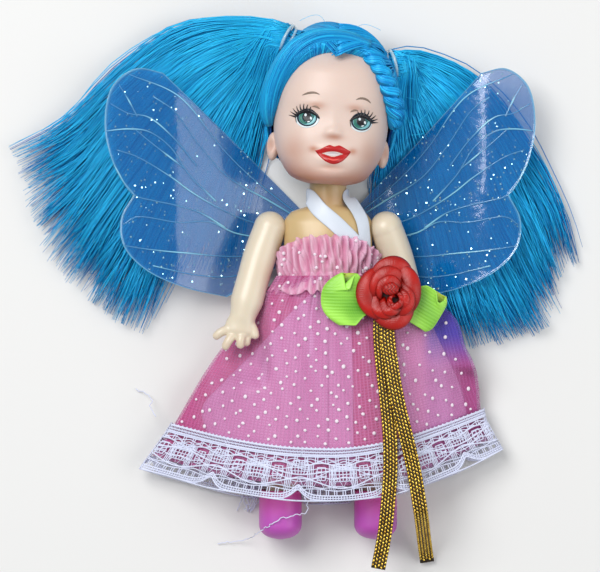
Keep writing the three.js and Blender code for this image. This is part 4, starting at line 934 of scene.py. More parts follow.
@dataclass
class Head:
    """The vinyl head with its printed face."""

    form: HeadForm = field(default_factory=HeadForm)
    rows: int = 142
    columns: int = 190
    lash_half: float = 0.23
    lash_tip: float = 0.0276

    def build(self) -> None:
        """Make the head, its ears and every layer of the print."""
        self.shell()
        for name, shape, finish in self.prints():
            self.form.placed(shape).piece(name, finish, Body.HEAD)

    def shell(self) -> None:
        """The face and the back of the head, with the ears, as one vinyl piece."""
        form = self.form
        share = (1 - np.cos(np.linspace(0, math.pi, self.rows))) / 2
        v = lerp(form.bottom, form.top, share)[:, None]
        a = circle(self.columns)[None, :]
        points = form.skin(v, a)
        ahead = ease(np.sin(a) * 2.2)
        points[..., 2] += form.relief(points[..., 0], points[..., 1]) * ahead
        skull = Shape(points, grid_faces(self.rows, self.columns), blush=self.blush(points)).outward()
        ears = [self.ear(side) for side in Side]
        form.placed(Shape.joined([skull, *ears])).piece("doll_head", FACE, Body.HEAD, ["head_shell"])

    def blush(self, p: Array) -> Array:
        """How warm the vinyl is: painted shade and warm reflection round the jaw and at the sides of the
        face, painted shade under the nose and below the lower lip, and warmer over the eyes and at the
        corners of the mouth.
        """
        u, v = p[..., 0] - self.form.middle, p[..., 1]
        jaw = 0.9 * ease((0.8 - v) / 5) * ease((np.hypot(u, (v - 6) * 0.8) - 4) / 5)
        return np.clip(jaw + spots(u, v, WARMTH), 0, 1) * ease(p[..., 2] / 3 + 0.6)

    def ear(self, side: Side) -> Shape:
        """An ear: a flattened ball with a dish pressed into its front."""
        at = np.array([11.3 if side is Side.LEFT else -11.8, 2.7, 3.8])
        made = blob(at, np.array([1.25, 3.0, 1.9]), 28, 20)
        out = made.points - at
        dish = bell(out[:, 1] - 0.2, 1.3) * bell(out[:, 0] * side.value - 0.5, 0.9) * ease(out[:, 2])
        made.points[:, 2] -= 0.9 * dish
        # A little warmth over the whole ear, and painted shade in its dish.
        made.marks["blush"] = 0.12 + 0.4 * dish
        return made

    def decal(
        self, outline: Sequence[tuple[float, float]], lift: float, smooth: int = 0, rings: int = 7
    ) -> Shape:
        """A closed layer of print over an outline's inside, with its underside sunk in the face.

        Smooth is the points to round the outline to, or 0 to keep its corners.
        """
        edge = np.asarray(outline, float)
        if smooth:
            loop = np.concatenate([edge, edge[:1]])
            edge = through(loop, smooth + 1)[:-1]
        count = len(edge)
        centre = edge.mean(0)
        grow = np.linspace(0.02, 1, rings)[:, None, None]
        flat = centre + (edge - centre)[None] * grow
        top, under = (self.form.face(flat[..., 0], flat[..., 1], up) for up in (lift, SUNK))
        return Shape(np.concatenate([top, under[::-1]]), grid_faces(2 * rings, count)).outward()

    def strip(self, path: Array, half: Array, lift: float, shares: Sequence[float]) -> Shape:
        """A closed strip of print along a path, through points at shares of its half-width."""
        along = unit(np.gradient(path, axis=0))
        across = np.stack([-along[:, 1], along[:, 0]], axis=1) * half[:, None]
        flat = path[:, None] + across[:, None] * np.array(shares)[:, None]
        top, under = (self.form.face(flat[..., 0], flat[..., 1], up) for up in (lift, SUNK))
        ring = np.concatenate([top, under[:, ::-1]], axis=1)
        return Shape(ring, grid_faces(len(path), 2 * len(shares))).outward()

    def stroke(self, line: Sequence[tuple[float, float]], wide: float, lift: float, tip: float) -> Shape:
        """A painted stroke along a line, whose ends are narrower by the share tip."""
        path = through(np.asarray(line, float), 14)
        t = np.linspace(0, 1, len(path))
        return self.strip(path, wide / 2 * lerp(1.0, tip, np.abs(2 * t - 1) ** 2.2), lift, (1, 0, -1))

    def lash(self, root: tuple[float, float], tip: tuple[float, float]) -> Shape:
        """A lash: a spike from the lid to its tip, a little bent."""
        (u, v), (s, t) = root, tip
        bend = ((u + s) / 2 + (t - v) * 0.12 * np.sign(u - self.form.middle), (v + t) / 2)
        path = through(np.array([root, bend, tip], float), 8)
        return self.strip(path, np.linspace(self.lash_half, self.lash_tip, len(path)), 0.13, (1, -1))

    def disc(self, at: tuple[float, float], wide: float, high: float, lift: float, turn: float = 0) -> Shape:
        """A round spot of print, wide and high, turned by an angle in radians."""
        a = np.linspace(0, TAU, 40, endpoint=False)
        x, y = wide * np.cos(a), high * np.sin(a)
        c, s = math.cos(turn), math.sin(turn)
        return self.decal(list(zip(at[0] + x * c - y * s, at[1] + x * s + y * c)), lift, rings=6)

    def prints(self) -> list[tuple[str, Shape, Finish]]:
        """Every layer of the printed face, from the eyes' whites up to their lashes, and a painted highlight
        on the lower lip.
        """
        made: list[tuple[str, Shape, Finish]] = []
        for side, eye in EYES.items():
            u, v = eye.iris
            layers = {
                "eye_white": ([self.decal([*eye.lid, *eye.low[::-1]], 0.03, smooth=48)], PRINT_WHITE),
                "iris_rim": ([self.disc((u, v), 2.12, 1.86, 0.05)], PRINT_NAVY),
                "iris_pale": ([self.disc((u + 0.08, v - 0.08), 1.78, 1.5, 0.065)], PRINT_PALE),
                "iris_green": (
                    [self.disc((u - 0.42, v - 0.1), 1.2, 1.28, 0.08, 0.3),
                     self.disc((u + 0.6, v + 0.35), 0.9, 0.72, 0.08)],
                    PRINT_GREEN,
                ),
                "iris_deep": ([self.disc((u + 0.1, v + 0.02), 1.2, 1.18, 0.09)], PRINT_TEAL),
                "pupil": ([self.disc((u - 0.02, v + 0.1), 0.92, 0.98, 0.1)], PRINT_BLACK),
                "eye_glint": (
                    [self.disc((u - 0.35, v + 0.5), 0.26, 0.3, 0.12),
                     self.disc((u + 0.8, v - 0.12), 0.2, 0.32, 0.12, 0.4),
                     self.disc((u + 0.35, v - 0.86), 0.3, 0.13, 0.12, 0.3)],
                    PRINT_WHITE,
                ),
            }
            dark = [
                self.stroke(eye.lid, 0.76, 0.12, 0.4),
                self.stroke([eye.lid[0], eye.low[1]], 0.16, 0.12, 0.3),
            ]
            dark += [self.lash(root, tip) for root, tip in eye.lashes]
            layers["lashes"] = (dark, PRINT_BLACK)
            layers["brow"] = ([self.stroke(eye.brow, 0.46, 0.05, 0.2)], PRINT_BROWN)
            layers["lid_line"] = ([self.stroke(eye.crease, 0.42, 0.04, 0.15)], PRINT_SHADE)
            for name, (parts, finish) in layers.items():
                made.append((f"{side.word}_{name}", Shape.joined(parts), finish))
        lips = [self.decal(UPPER_LIP, 0.05, smooth=72), self.decal(LOWER_LIP, 0.05, smooth=60)]
        made.append(("lips", Shape.joined(lips), PRINT_RED))
        made.append(("teeth", self.decal(TEETH, 0.08, smooth=48), PRINT_TEETH))
        # A painted highlight along the lower lip.
        shine = self.stroke([(-0.2, 0.7), (1.0, 0.42), (2.3, 0.78)], 0.4, 0.09, 0.1)
        made.append(("lip_shine", shine, LIP_PAINTED_HIGHLIGHT))
        return made


@dataclass(frozen=True)
class Eye:
    """Where one printed eye lies on the face, as pairs of u and v."""

    iris: tuple[float, float]
    lid: tuple[tuple[float, float], ...]
    low: tuple[tuple[float, float], ...]
    lashes: tuple[tuple[tuple[float, float], tuple[float, float]], ...]
    brow: tuple[tuple[float, float], ...]
    crease: tuple[tuple[float, float], ...]


EYES = {
    Side.RIGHT: Eye(
        iris=(-5.05, 8.9),
        lid=((-7.5, 8.9), (-6.9, 9.6), (-5.7, 10.15), (-4.3, 10.1), (-3.2, 9.55), (-2.5, 8.8)),
        low=((-7.5, 8.6), (-7.2, 7.7), (-6.4, 7.0), (-5.3, 6.7), (-3.9, 6.95), (-2.8, 7.7), (-2.5, 8.6)),
        lashes=(
            ((-7.3, 8.9), (-8.9, 9.2)), ((-7.2, 9.2), (-8.6, 9.95)), ((-6.95, 9.5), (-8.1, 10.6)),
            ((-6.6, 9.7), (-7.4, 11.15)), ((-6.1, 9.95), (-6.7, 11.55)), ((-5.6, 10.1), (-5.9, 11.7)),
            ((-5.1, 10.1), (-5.1, 11.55)), ((-4.5, 10.1), (-4.4, 11.2)),
        ),
        brow=((-6.4, 13.4), (-5.4, 13.85), (-4.35, 14.08), (-3.5, 14.03), (-2.8, 13.76)),
        crease=((-4.2, 11.2), (-3.4, 11.25), (-2.5, 10.8)),
    ),
    Side.LEFT: Eye(
        iris=(6.2, 8.8),
        lid=((3.9, 8.7), (4.4, 9.3), (5.3, 9.8), (6.6, 10.0), (7.7, 9.5), (8.5, 8.7)),
        low=((3.9, 8.5), (4.15, 7.6), (5.0, 6.9), (6.3, 6.6), (7.5, 6.95), (8.2, 7.7), (8.5, 8.5)),
        lashes=(
            ((8.3, 8.8), (9.8, 8.95)), ((8.15, 9.05), (9.65, 9.7)), ((7.9, 9.3), (9.2, 10.4)),
            ((7.5, 9.6), (8.5, 10.95)), ((7.0, 9.8), (7.7, 11.25)), ((6.5, 9.95), (6.8, 11.35)),
            ((6.0, 9.95), (6.0, 11.25)), ((5.5, 9.85), (5.3, 10.9)),
        ),
        brow=((4.8, 13.2), (5.56, 13.56), (6.42, 13.6), (7.3, 13.29), (7.95, 12.76)),
        crease=((3.8, 10.6), (4.5, 11.0), (5.4, 11.1)),
    ),
}
UPPER_LIP = (
    (-3.0, 2.1), (-1.8, 2.55), (-0.8, 3.15), (0.05, 3.5), (0.95, 3.25), (2.0, 3.55), (3.0, 3.15), (3.9, 2.7),
    (4.5, 2.35), (3.4, 1.75), (2.2, 2.1), (0.9, 2.2), (-0.6, 2.0), (-1.9, 1.6),
)
LOWER_LIP = (
    (-2.9, 2.05), (-1.9, 1.5), (-0.6, 1.2), (0.9, 1.1), (2.3, 1.35), (3.4, 1.8), (4.45, 2.35), (3.7, 1.2),
    (2.8, 0.3), (1.2, -0.4), (-0.4, -0.05), (-1.8, 0.95),
)
TEETH = (
    (-1.0, 1.62), (-0.4, 1.92), (0.4, 2.1), (1.2, 2.14), (1.9, 2.0), (2.5, 1.74), (1.9, 1.45), (0.9, 1.3),
    (-0.2, 1.34),
)


def wound(line: Array, half: Array | float, rise: Array | float, up: Array, angle: Array) -> Array:
    """Lines along a tube's skin, in an array of wound line by step by three.

    Half and rise are the tube's half-widths across and along up, and angle says for each wound line how
    far round the tube it is at each point.
    """
    across, lift = squared(line, up)
    half, rise = (np.broadcast_to(x, (len(line),))[:, None] for x in (half, rise))
    return line + np.cos(angle)[..., None] * half * across + np.sin(angle)[..., None] * rise * lift


@dataclass
class WingForm:
    """The outline and rise of one wing, which the hair under it has to fit."""

    root: tuple[float, float] = (3.4, 4.1)
    root_low: float = -1.1
    bottom: float = 0.15
    thick: float = 0.7
    rise_from: float = 8.0
    rise_over: float = 30.0
    rise: float = 8.0
    slope: float = 1.03

    def underside(self, x: Array) -> Array:
        """How high the wing's lower skin runs at a distance to the side."""
        return self.bottom + self.rise * ease((np.abs(x) - self.rise_from) / self.rise_over)

    def cover(self, x: Array, y: Array) -> Array:
        """How surely a place lies under the wing, from 0 above its upper edge to 1 below it."""
        edge = self.root[1] + (np.abs(x) - self.root[0]) * self.slope
        return ease((edge + 6 - y) / 4) * (1 - ease((np.abs(x) - 46) / 3))


RIGHT_LOCKS = (
    ((-18.5, 44.6), (-29.5, 42.4), (-41.0, 34.0), (-53.0, 22.5), (-65.3, 15.6)),
    ((-18.5, 41.8), (-30.0, 37.0), (-41.5, 26.0), (-51.5, 13.0), (-61.6, 4.6)),
    ((-18.0, 38.8), (-28.5, 31.0), (-39.5, 18.0), (-48.5, 5.0), (-57.0, -6.0)),
    ((-17.2, 36.0), (-25.8, 26.5), (-35.5, 12.0), (-43.5, -2.0), (-50.2, -12.8)),
    ((-16.6, 33.4), (-23.0, 22.5), (-30.6, 8.0), (-37.4, -6.0), (-42.5, -18.6)),
    ((-16.2, 31.0), (-21.2, 20.0), (-26.4, 8.0), (-31.4, -6.4)),
    ((-15.6, 28.6), (-18.4, 18.0), (-21.0, 6.0), (-23.4, -6.6)),
)
LEFT_LOCKS = (
    ((19.4, 37.8), (27.2, 34.0), (34.4, 26.0), (41.2, 14.0), (46.6, 4.4), (49.8, -5.6)),
    ((19.0, 35.4), (26.0, 29.6), (32.4, 20.0), (38.4, 7.0), (45.6, -10.0)),
    ((18.4, 33.2), (24.2, 25.4), (29.8, 14.0), (35.4, 1.0), (46.4, -19.0)),
    ((17.8, 31.0), (22.6, 21.4), (27.2, 9.0), (31.8, -5.0), (40.0, -20.2)),
    ((17.2, 28.8), (20.8, 17.6), (24.4, 5.0), (27.6, -7.0), (33.4, -22.0)),
    ((16.6, 27.0), (19.6, 14.6), (22.4, 2.0), (25.0, -9.0), (28.4, -23.0)),
    ((15.0, 24.0), (16.4, 14.0), (17.8, 4.0), (19.2, -5.0), (21.4, -13.0)),
    ((13.8, 22.0), (13.6, 14.0), (13.2, 8.0), (14.2, 1.0)),
)


@dataclass(frozen=True)
class Bunch:
    """Where one pigtail leaves the head, where its tie sits and how its locks fall."""

    side: Side
    root: tuple[float, float, float]
    tie: tuple[float, float, float]
    locks: tuple[tuple[tuple[float, float], ...], ...]


BUNCHES = (
    Bunch(Side.RIGHT, (-5.6, 23.6, 2.4), (-10.2, 25.6, 2.2), RIGHT_LOCKS),
    Bunch(Side.LEFT, (7.4, 20.4, 2.4), (11.9, 21.9, 2.2), LEFT_LOCKS),
)


STRAY_HAIRS = (
    ((-2.0, 27.0, 7.0), (-8.0, 29.0, 9.0), (1.0, 2.4, 0.5)),
    ((3.0, 26.4, 7.4), (9.0, 28.2, 9.4), (-1.0, 1.8, 0.6)),
    ((13.6, 15.0, 6.0), (17.8, 9.6, 7.0), (4.4, 1.0, 0.5)),
    ((-13.6, 12.0, 6.0), (-16.0, 9.0, 7.0), (-2.6, 0.5, 0.4)),
    ((13.6, 11.0, 5.0), (16.8, 7.0, 6.6), (4.0, -1.0, 0.5)),
)


@dataclass
class Hair:
    """The nylon hair: combed back, rolled over the forehead, twisted at the left and tied in two bunches."""

    form: HeadForm = field(default_factory=HeadForm)
    wing: WingForm = field(default_factory=WingForm)
    nape: float = -1.8
    grow: float = 0.85
    face_up: float = 8.6
    face_half: float = 12.4
    face_high: float = 15.4
    loose_z: float = 2.1
    strand: float = 0.13
    per_lock: int = 334
    steps: int = 15
    stem: float = 2.3
    roll_half: float = 2.45
    twist_radius: float = 1.55
    scalp_count: int = 640
    crown_count: int = 460
    root_count: int = 150
    stem_count: int = 260
    roll_route = (
        (6.6, 23.9, 9.4), (1.6, 25.1, 10.3), (-3.5, 24.9, 10.7), (-7.4, 22.9, 10.6), (-10.3, 19.4, 10.1),
        (-12.5, 14.5, 8.6), (-13.3, 9.8, 6.6), (-13.0, 7.2, 4.8),
    )
    twist_route = (
        (5.2, 24.0, 9.8), (9.1, 20.4, 10.6), (11.2, 16.9, 10.0), (12.8, 13.3, 8.4), (13.4, 10.4, 6.4),
        (13.0, 8.2, 4.8),
    )
    lowest: float = 0.2
    split: int = 3
    roll_width = Profile([(0, 0.8), (0.2, 1.0), (0.45, 1.1), (0.65, 0.95), (0.85, 0.78), (1, 0.35)])
    lock_half = Profile([(0, 1.84), (0.14, 1.9), (0.4, 3.9), (0.75, 4.9), (1, 4.4)])

    def build(self) -> None:
        """Make every part of the hair."""
        self.chance = np.random.default_rng(SEED)
        self.scalp()
        self.roll()
        self.twist()
        for bunch in BUNCHES:
            self.tie(bunch)
            self.pigtail(bunch)
        self.flyaway()

    def edge_angle(self, v: Array) -> Array:
        """The ring angle, from the side to the middle of the face, of the hairline at each height."""
        open_half = np.where(
            v > self.face_up,
            self.face_half * np.sqrt(np.clip(1 - ((v - self.face_up) / self.face_high) ** 2, 0, 1)),
            self.face_half,
        )
        share = np.clip((v - self.form.bottom) / (self.form.top - self.form.bottom), 0, 1)
        half = self.form.half * self.form.half_share(share)
        angle = np.arccos(np.clip(open_half / np.maximum(half, 0.1), 0, 0.995))
        return lerp(angle, -0.16 - 0.8 * ease((3.0 - v) / 4), ease((self.face_up - v) / 1.6))

    def scalp(self) -> None:
        """A cap under the hair, dark as painted shade, and combed strands over it, gathered towards the two
        bunches.
        """
        form = self.form
        v = np.linspace(self.nape, form.top - 0.3, 60)[:, None]
        edge = self.edge_angle(v[:, 0])[:, None]
        around = np.linspace(0, 1, 90)[None, :]
        cap = form.skin(v, lerp(math.pi - edge, TAU + edge, around), self.grow)
        crown = cap[-1].mean(0)
        closing = [crown + (cap[-1] - crown) * s + [0, 0.25 * (1 - s), 0] for s in (0.7, 0.35, 0.05)]
        cap = np.concatenate([cap, np.array(closing)])
        under = slab(cap, normals_of(cap), 0.5, tone=np.full(cap.shape[:2], 0.3))
        form.placed(under).piece("scalp_cap", HAIR_IN_PAINTED_SHADE, Body.HEAD, ["scalp_hair"])
        lines, tones = [], []
        for bunch in BUNCHES:
            count = self.scalp_count
            side = bunch.side.value
            home_a = math.pi if side < 0 else 0.0
            pick = self.chance.random(count)
            start_v = lerp(self.nape, form.top - 1.2, self.chance.random(count))
            edge = self.edge_angle(start_v)
            front = math.pi - edge if side < 0 else edge
            back = np.full(count, 1.5 * math.pi if side < 0 else -0.5 * math.pi)
            nape_a = lerp(home_a - side * 1.0, back, self.chance.random(count))
            from_nape = pick < 0.3
            from_back = (pick >= 0.3) & (pick < 0.72)
            a0 = np.where(from_nape, nape_a, np.where(from_back, back, front))
            v0 = np.where(from_nape, self.nape, start_v)
            t = np.linspace(0, 1, 12)[None, :]
            v_line = lerp(v0[:, None], bunch.root[1], t**1.25)
            v_line = v_line - 1.4 * np.sin(math.pi * t) * from_back[:, None]
            a_line = lerp(a0[:, None], home_a, t)
            lift = self.grow + 0.25 + 0.35 * self.chance.random((count, 1)) + 0.5 * np.sin(math.pi * t)
            v_line = np.clip(v_line, self.nape, form.top - 0.4)
            lines.append(form.points(form.skin(v_line, a_line, lift)))
            tones.append(self.chance.random(count) * 0.55 + 0.2)
        over, over_tones = self.crown()
        lines = np.concatenate([*lines, over])
        lines[..., 2] = np.maximum(lines[..., 2], self.lowest)
        combed = strands(lines, self.strand * 1.3, np.concatenate([*tones, over_tones]))
        combed.piece("scalp_strands", HAIR, Body.HEAD)

    def crown(self) -> tuple[Array, Array]:
        """Strands over the top of the head, from its middle line to each bunch, and their tones."""
        centre, radii = np.array([0.0, 13.0, 4.04]), np.array([13.0, 15.3, 12.2])
        count = self.crown_count
        lines = []
        for bunch in BUNCHES:
            s = bunch.side.value
            dip = np.radians(lerp(56.0, -80.0, self.chance.random(count)))
            aside = 0.025 * self.chance.normal(0, 1, count) + 0.01 * s
            start = unit(np.stack([aside, np.cos(dip), np.sin(dip)], axis=1))[:, None]
            home = unit((np.array(bunch.root) + [1.4 * s, -0.5, 0.0] - centre) / radii)
            turn = np.arccos(np.clip(np.sum(start * home, axis=-1, keepdims=True), -1, 1))
            t = np.linspace(0, 1, 12)[None, :, None]
            way = (np.sin((1 - t) * turn) * start + np.sin(t * turn) * home) / np.sin(turn)
            high = 1.03 + 0.035 * self.chance.random((count, 1, 1)) + 0.03 * np.sin(math.pi * t)
            lines.append(self.form.points(centre + way * radii * high))
        return np.concatenate(lines), self.chance.random(2 * count) * 0.55 + 0.2

    def bundle(self, route: Array, half: Array, rise: Array, turns: float, count: int) -> Shape:
        """A count of strands packed over a tube's skin, each winding a number of turns along its route."""
        t = np.linspace(0, 1, len(route))[None, :]
        start = circle(count) + self.chance.normal(0, 0.03, count)
        size = self.chance.normal(0, 0.05, (count, 1))
        wobble = size * np.sin(TAU * (t * 1.5 + self.chance.random((count, 1))))
        depth = 1 + self.chance.normal(0, 0.02, (count, 1))
        lines = wound(route, half, rise, UP, start[:, None] + turns * TAU * t + wobble)
        lines = route + (lines - route) * depth[..., None]
        return strands(lines, self.strand * 1.1, self.chance.random(count) * 0.7 + 0.2)

    def roll(self) -> None:
        """The smooth roll over the forehead: a core dark as painted shade, long strands over it and short
        roots at the hairline.
        """
        route = through(self.form.points(np.array(self.roll_route)), 38)
        t = np.linspace(0, 1, len(route))
        half = self.roll_half * self.roll_width(t)
        core = tube(route, oval(half * 0.97, half * 0.87, 28), UP, tone=0.45)
        long = self.bundle(route, half, half * 0.9, 0.22, 190)
        count = self.root_count
        step = np.linspace(1, len(route) - 3, count)
        low = np.floor(step).astype(int)
        share = (step - low)[:, None]
        middle = lerp(route[low], route[low + 1], share)
        along = unit(route[low + 1] - route[low])
        across = np.cross(along, UP)
        to_face = self.form.points(np.array([[0.6, 9.0, 12.0]])) - middle
        across *= np.sign(np.sum(to_face * across, axis=1))[:, None]
        sweep = np.linspace(-0.5, 1.25, 12)[None, :, None]
        wide = lerp(half[low], half[low + 1], share[:, 0])[:, None, None]
        lean = along[:, None] * (sweep + 0.5) * self.chance.normal(-1.3, 0.2, count)[:, None, None]
        out, rise = across[:, None] * np.cos(sweep) * wide, UP * np.sin(sweep) * wide
        roots = middle[:, None] + out * 1.04 + rise * 0.94 + lean
        short = strands(roots, self.strand * 1.5, self.chance.random(count) * 0.8 + 0.15)
        Shape.joined([long, short]).piece("front_roll_strands", HAIR, Body.HEAD)
        core.piece("front_roll_core", HAIR_IN_PAINTED_SHADE, Body.HEAD, ["front_roll"])

    def twist(self) -> None:
        """The lock beside the face: two plies wound round each other, which run out into a smooth end."""
        route = through(self.form.points(np.array(self.twist_route)), 64)
        t = np.linspace(0, 1, len(route))
        open_share = ease((t - 0.55) / 0.2)
        size = self.twist_radius * Profile([(0, 0.8), (0.3, 1), (0.7, 1.2), (0.9, 1.1), (1, 0.35)])(t)
        pieces, cores = [], []
        for start in (0.0, math.pi):
            angle = start + TAU * 4.2 * t
            offset = size * lerp(0.56, 0.25, open_share)
            ply = wound(route, offset, offset * 0.8, UP, angle[None, :])[0]
            thick = size * lerp(0.62, 0.86, open_share)
            pieces.append(self.bundle(ply, thick, thick * 0.9, 0.9, 78))
            # Dark cores under the plies' strands, as painted shade.
            cores.append(tube(ply, oval(thick * 0.96, thick * 0.86, 18), UP, tone=0.4))
        Shape.joined(pieces).piece("side_twist_strands", HAIR, Body.HEAD)
        Shape.joined(cores).piece("side_twist_core", HAIR_IN_PAINTED_SHADE, Body.HEAD, ["side_twist"])

    def tie(self, bunch: Bunch) -> None:
        """The clear elastic band, wound three times round the bunch, and the hair between it and the head."""
        root, tie = self.form.points(np.array(bunch.root)), self.form.points(np.array(bunch.tie))
        word = bunch.side.word
        way = unit(tie - root)
        side = unit(np.cross(way, UP))
        rise = np.cross(side, way)
        a = np.linspace(0, TAU * 3, 150)
        wide = self.stem + 0.45 + 0.12 * np.sin(a * 0.37)
        ring = np.cos(a)[:, None] * wide[:, None] * side + np.sin(a)[:, None] * wide[:, None] * rise
        loop = tie + ring + way * (np.sin(a / 3) * 0.75 + 0.25 * np.sin(a * 1.7))[:, None]
        band = tube(loop, oval(np.full(len(a), 0.3), 0.3, 10), way)
        band.piece(f"{word}_tie_band", BAND, Body.HEAD, [f"{word}_hair_tie"])
        count = self.stem_count
        t = np.linspace(0, 1, 10)
        angle = self.chance.random(count) * TAU
        reach = np.sqrt(self.chance.random(count))
        spread = reach[:, None] * lerp(4.4, self.stem, ease(t))[None, :]
        middle = lerp(root - way * 1.6, tie, t[:, None])
        out = np.cos(angle)[:, None, None] * side + np.sin(angle)[:, None, None] * rise
        tone = self.chance.random(count) * 0.6 + 0.2
        stem = strands(middle + spread[..., None] * out, self.strand * 1.1, tone)
        stem.piece(f"{word}_stem_strands", HAIR, Body.HEAD)

    def fan(self, bunch: Bunch) -> Array:
        """The locks' routes, evenly sampled, from the tie to their tips."""
        root, tie = self.form.points(np.array(bunch.root)), self.form.points(np.array(bunch.tie))
        past = tie + unit(tie - root) * 2.3
        last = len(bunch.locks) - 1
        routes = []
        for lock, bends in enumerate(bunch.locks):
            first = lerp(5.6, self.loose_z, lock / last)
            high = [first, *lerp(past[2] * 0.5, self.loose_z, np.linspace(0.35, 1, len(bends) - 1) ** 0.5)]
            points = [tie, past, *[(x, y, z) for (x, y), z in zip(bends, high)]]
            routes.append(through(np.array(points), self.steps))
        return np.array(routes)

    def pigtail(self, bunch: Bunch) -> None:
        """One pigtail: strands spread over its fan of locks, in clumps, and pressed flat under the wing.
        """
        routes = self.fan(bunch)
        last = len(routes) - 1
        clumps = 60 * len(routes)
        count = self.per_lock * len(routes)
        rng = self.chance
        which = rng.integers(0, clumps, count)
        seat = np.clip((np.arange(clumps) + rng.random(clumps)) / clumps * (last + 0.5) - 0.25, 0, last)
        pull = np.round(seat) + (seat - np.round(seat)) * 0.8
        across_c, up_c = rng.uniform(-1, 1, clumps) * 0.75, rng.uniform(-1, 1, clumps)
        reach_c = rng.uniform(0.86, 1.0, clumps) - 0.1 * (rng.random(clumps) < 0.18)
        phase, wave = rng.random(clumps) * TAU, rng.uniform(0.15, 0.6, clumps)
        t = np.linspace(0, 1, self.steps)
        fuzz = rng.normal(0, 1, (2, count)) * 0.34
        reach = np.clip(reach_c[which] + rng.normal(0, 0.035, count), 0.6, 1.02)
        place = np.clip(pull[which], 0, last)
        low = np.minimum(np.floor(place).astype(int), last - 1)
        share = (place - low)[:, None, None]
        base = lerp(routes[low], routes[low + 1], share)
        at = np.clip(t[None, :] * reach[:, None], 0, 1) * (self.steps - 1)
        i = np.minimum(np.floor(at).astype(int), self.steps - 2)
        rows = np.arange(count)[:, None]
        line = lerp(base[rows, i], base[rows, i + 1], (at - i)[..., None])
        along = unit(np.gradient(line, axis=1))
        side = unit(np.stack([-along[..., 1], along[..., 0], np.zeros_like(at)], axis=-1))
        half = self.lock_half(at / (self.steps - 1))
        loose = lerp(1.0, 0.55, t)[None, :]
        across = (across_c[which][:, None] + fuzz[0][:, None] * loose) * half
        across += wave[which][:, None] * np.sin(at * 0.95 + phase[which][:, None]) * ease(t * 2)[None, :]
        up = np.clip(up_c[which] + fuzz[1], -1, 1)[:, None]
        deep = lerp(1.9, 1.5, ease(at / (self.steps - 1) * 2))
        line = line + side * across[..., None]
        free = line[..., 2] + up * deep
        line[..., 2] = self.settle(line, free, up)
        thin = self.strand * lerp(1.08, 0.38, t[None, :] ** 4)
        near = 1 - ease(at / (self.steps - 1) * 1.5)
        # Painted light: strands higher in the bunch and near the tie are brighter, besides each strand's own
        # random tone.
        tone = np.clip(0.42 + 0.34 * up + 0.2 * near + rng.normal(0, 0.13, (count, 1)), 0, 1)
        weight = 1 - ease(at / (self.steps - 1) * 1.7)
        name = f"{bunch.side.word}_pigtail"
        for part in range(self.split):
            chosen = np.arange(count) % self.split == part
            made = strands(line[chosen], thin[np.zeros(chosen.sum(), int)], tone[chosen])
            piece = made.piece(f"{name}_{part + 1}", HAIR, None, [] if part else [name])
            share = np.repeat(weight[chosen].ravel(), 3)
            follow(piece, Body.HEAD)
        LOG.info("%s pigtail: %d strands", bunch.side.word, count)

    def settle(self, line: Array, free: Array, up: Array) -> Array:
        """Heights of the strands: as they fall outside the wing, and within the room under it."""
        x, y = line[..., 0], line[..., 1]
        room = self.wing.underside(x) - 0.35
        low = self.lowest + 0.1 * np.maximum(room, 0)
        high = np.maximum(np.minimum(room, 4.2), low + 0.1)
        held = lerp(low, high, (up + 1) / 2)
        return lerp(np.maximum(free, self.lowest), held, self.wing.cover(x, y))

    def flyaway(self) -> None:
        """A few loose fine hairs round the head and the bunches."""
        start, end, bow = np.array(STRAY_HAIRS).transpose(1, 0, 2)[:, :, None]
        t = np.linspace(0, 1, 18)[None, :, None]
        lines = self.form.points(lerp(start, end, t) + bow * np.sin(math.pi * t))
        strands(lines, 0.05, np.full(len(STRAY_HAIRS), 0.9)).piece("stray_hairs", HAIR, Body.HEAD)


@dataclass
class TrunkForm:
    """The torso's form: an oval ring at each height."""

    half = Profile([
        (-25, 5.39), (-20.5, 9.41), (-16, 9.8), (-8.5, 8.9), (-1, 9.3), (3.4, 9.3), (5.8, 7.81), (7.2, 3.9),
    ])
    depth = Profile([
        (-25, 3.355), (-20.5, 5.124), (-15, 6.1), (-8, 5.856), (-1, 5.7), (3.4, 5.016), (5.8, 4.212),
        (7.2, 3.9),
    ])
    neck_top: float = 14.0

    def ring(self, y: Array, a: Array, out: Array | float = 0.0) -> Array:
        """Points round the torso at heights y and angles a, a distance out from its skin."""
        y, a, out = np.broadcast_arrays(np.asarray(y, float), a, out)
        x, z = (self.half(y) + out) * np.cos(a), (self.depth(y) + out) * np.sin(a)
        return np.stack([x, y, AXIS_Z + z], axis=-1)


@dataclass
class Trunk:
    """The hard plastic torso, with the line where its two halves are welded."""

    form: TrunkForm = field(default_factory=TrunkForm)
    columns: int = 120

    def build(self) -> None:
        """One smooth body from the hips to the neck, with a fine groove at the weld."""
        neck = np.linspace(7.6, self.form.neck_top, 12)
        y = np.concatenate([np.linspace(-25, 3, 40), np.linspace(3.4, 7.2, 26), neck])
        a = circle(self.columns)
        groove = -0.14 * bell(np.sin(a) * self.form.half(0.0), 0.35)
        points = self.form.ring(np.minimum(y, 7.2)[:, None], a[None, :], groove[None, :])
        points[..., 1] = y[:, None]
        # Painted shade: warmer below the chest, under the dress, and round the neck under the chin.
        warm = np.clip(0.35 * ease((-y - 4) / 6) + 0.4 * bell(y - 8.4, 1.8), 0, 1)
        shape = Shape(points, grid_faces(len(y), self.columns), blush=np.repeat(warm, self.columns)).outward()
        shape.piece("doll_torso", TRUNK, Body.TORSO, ["torso_front", "torso_back"])


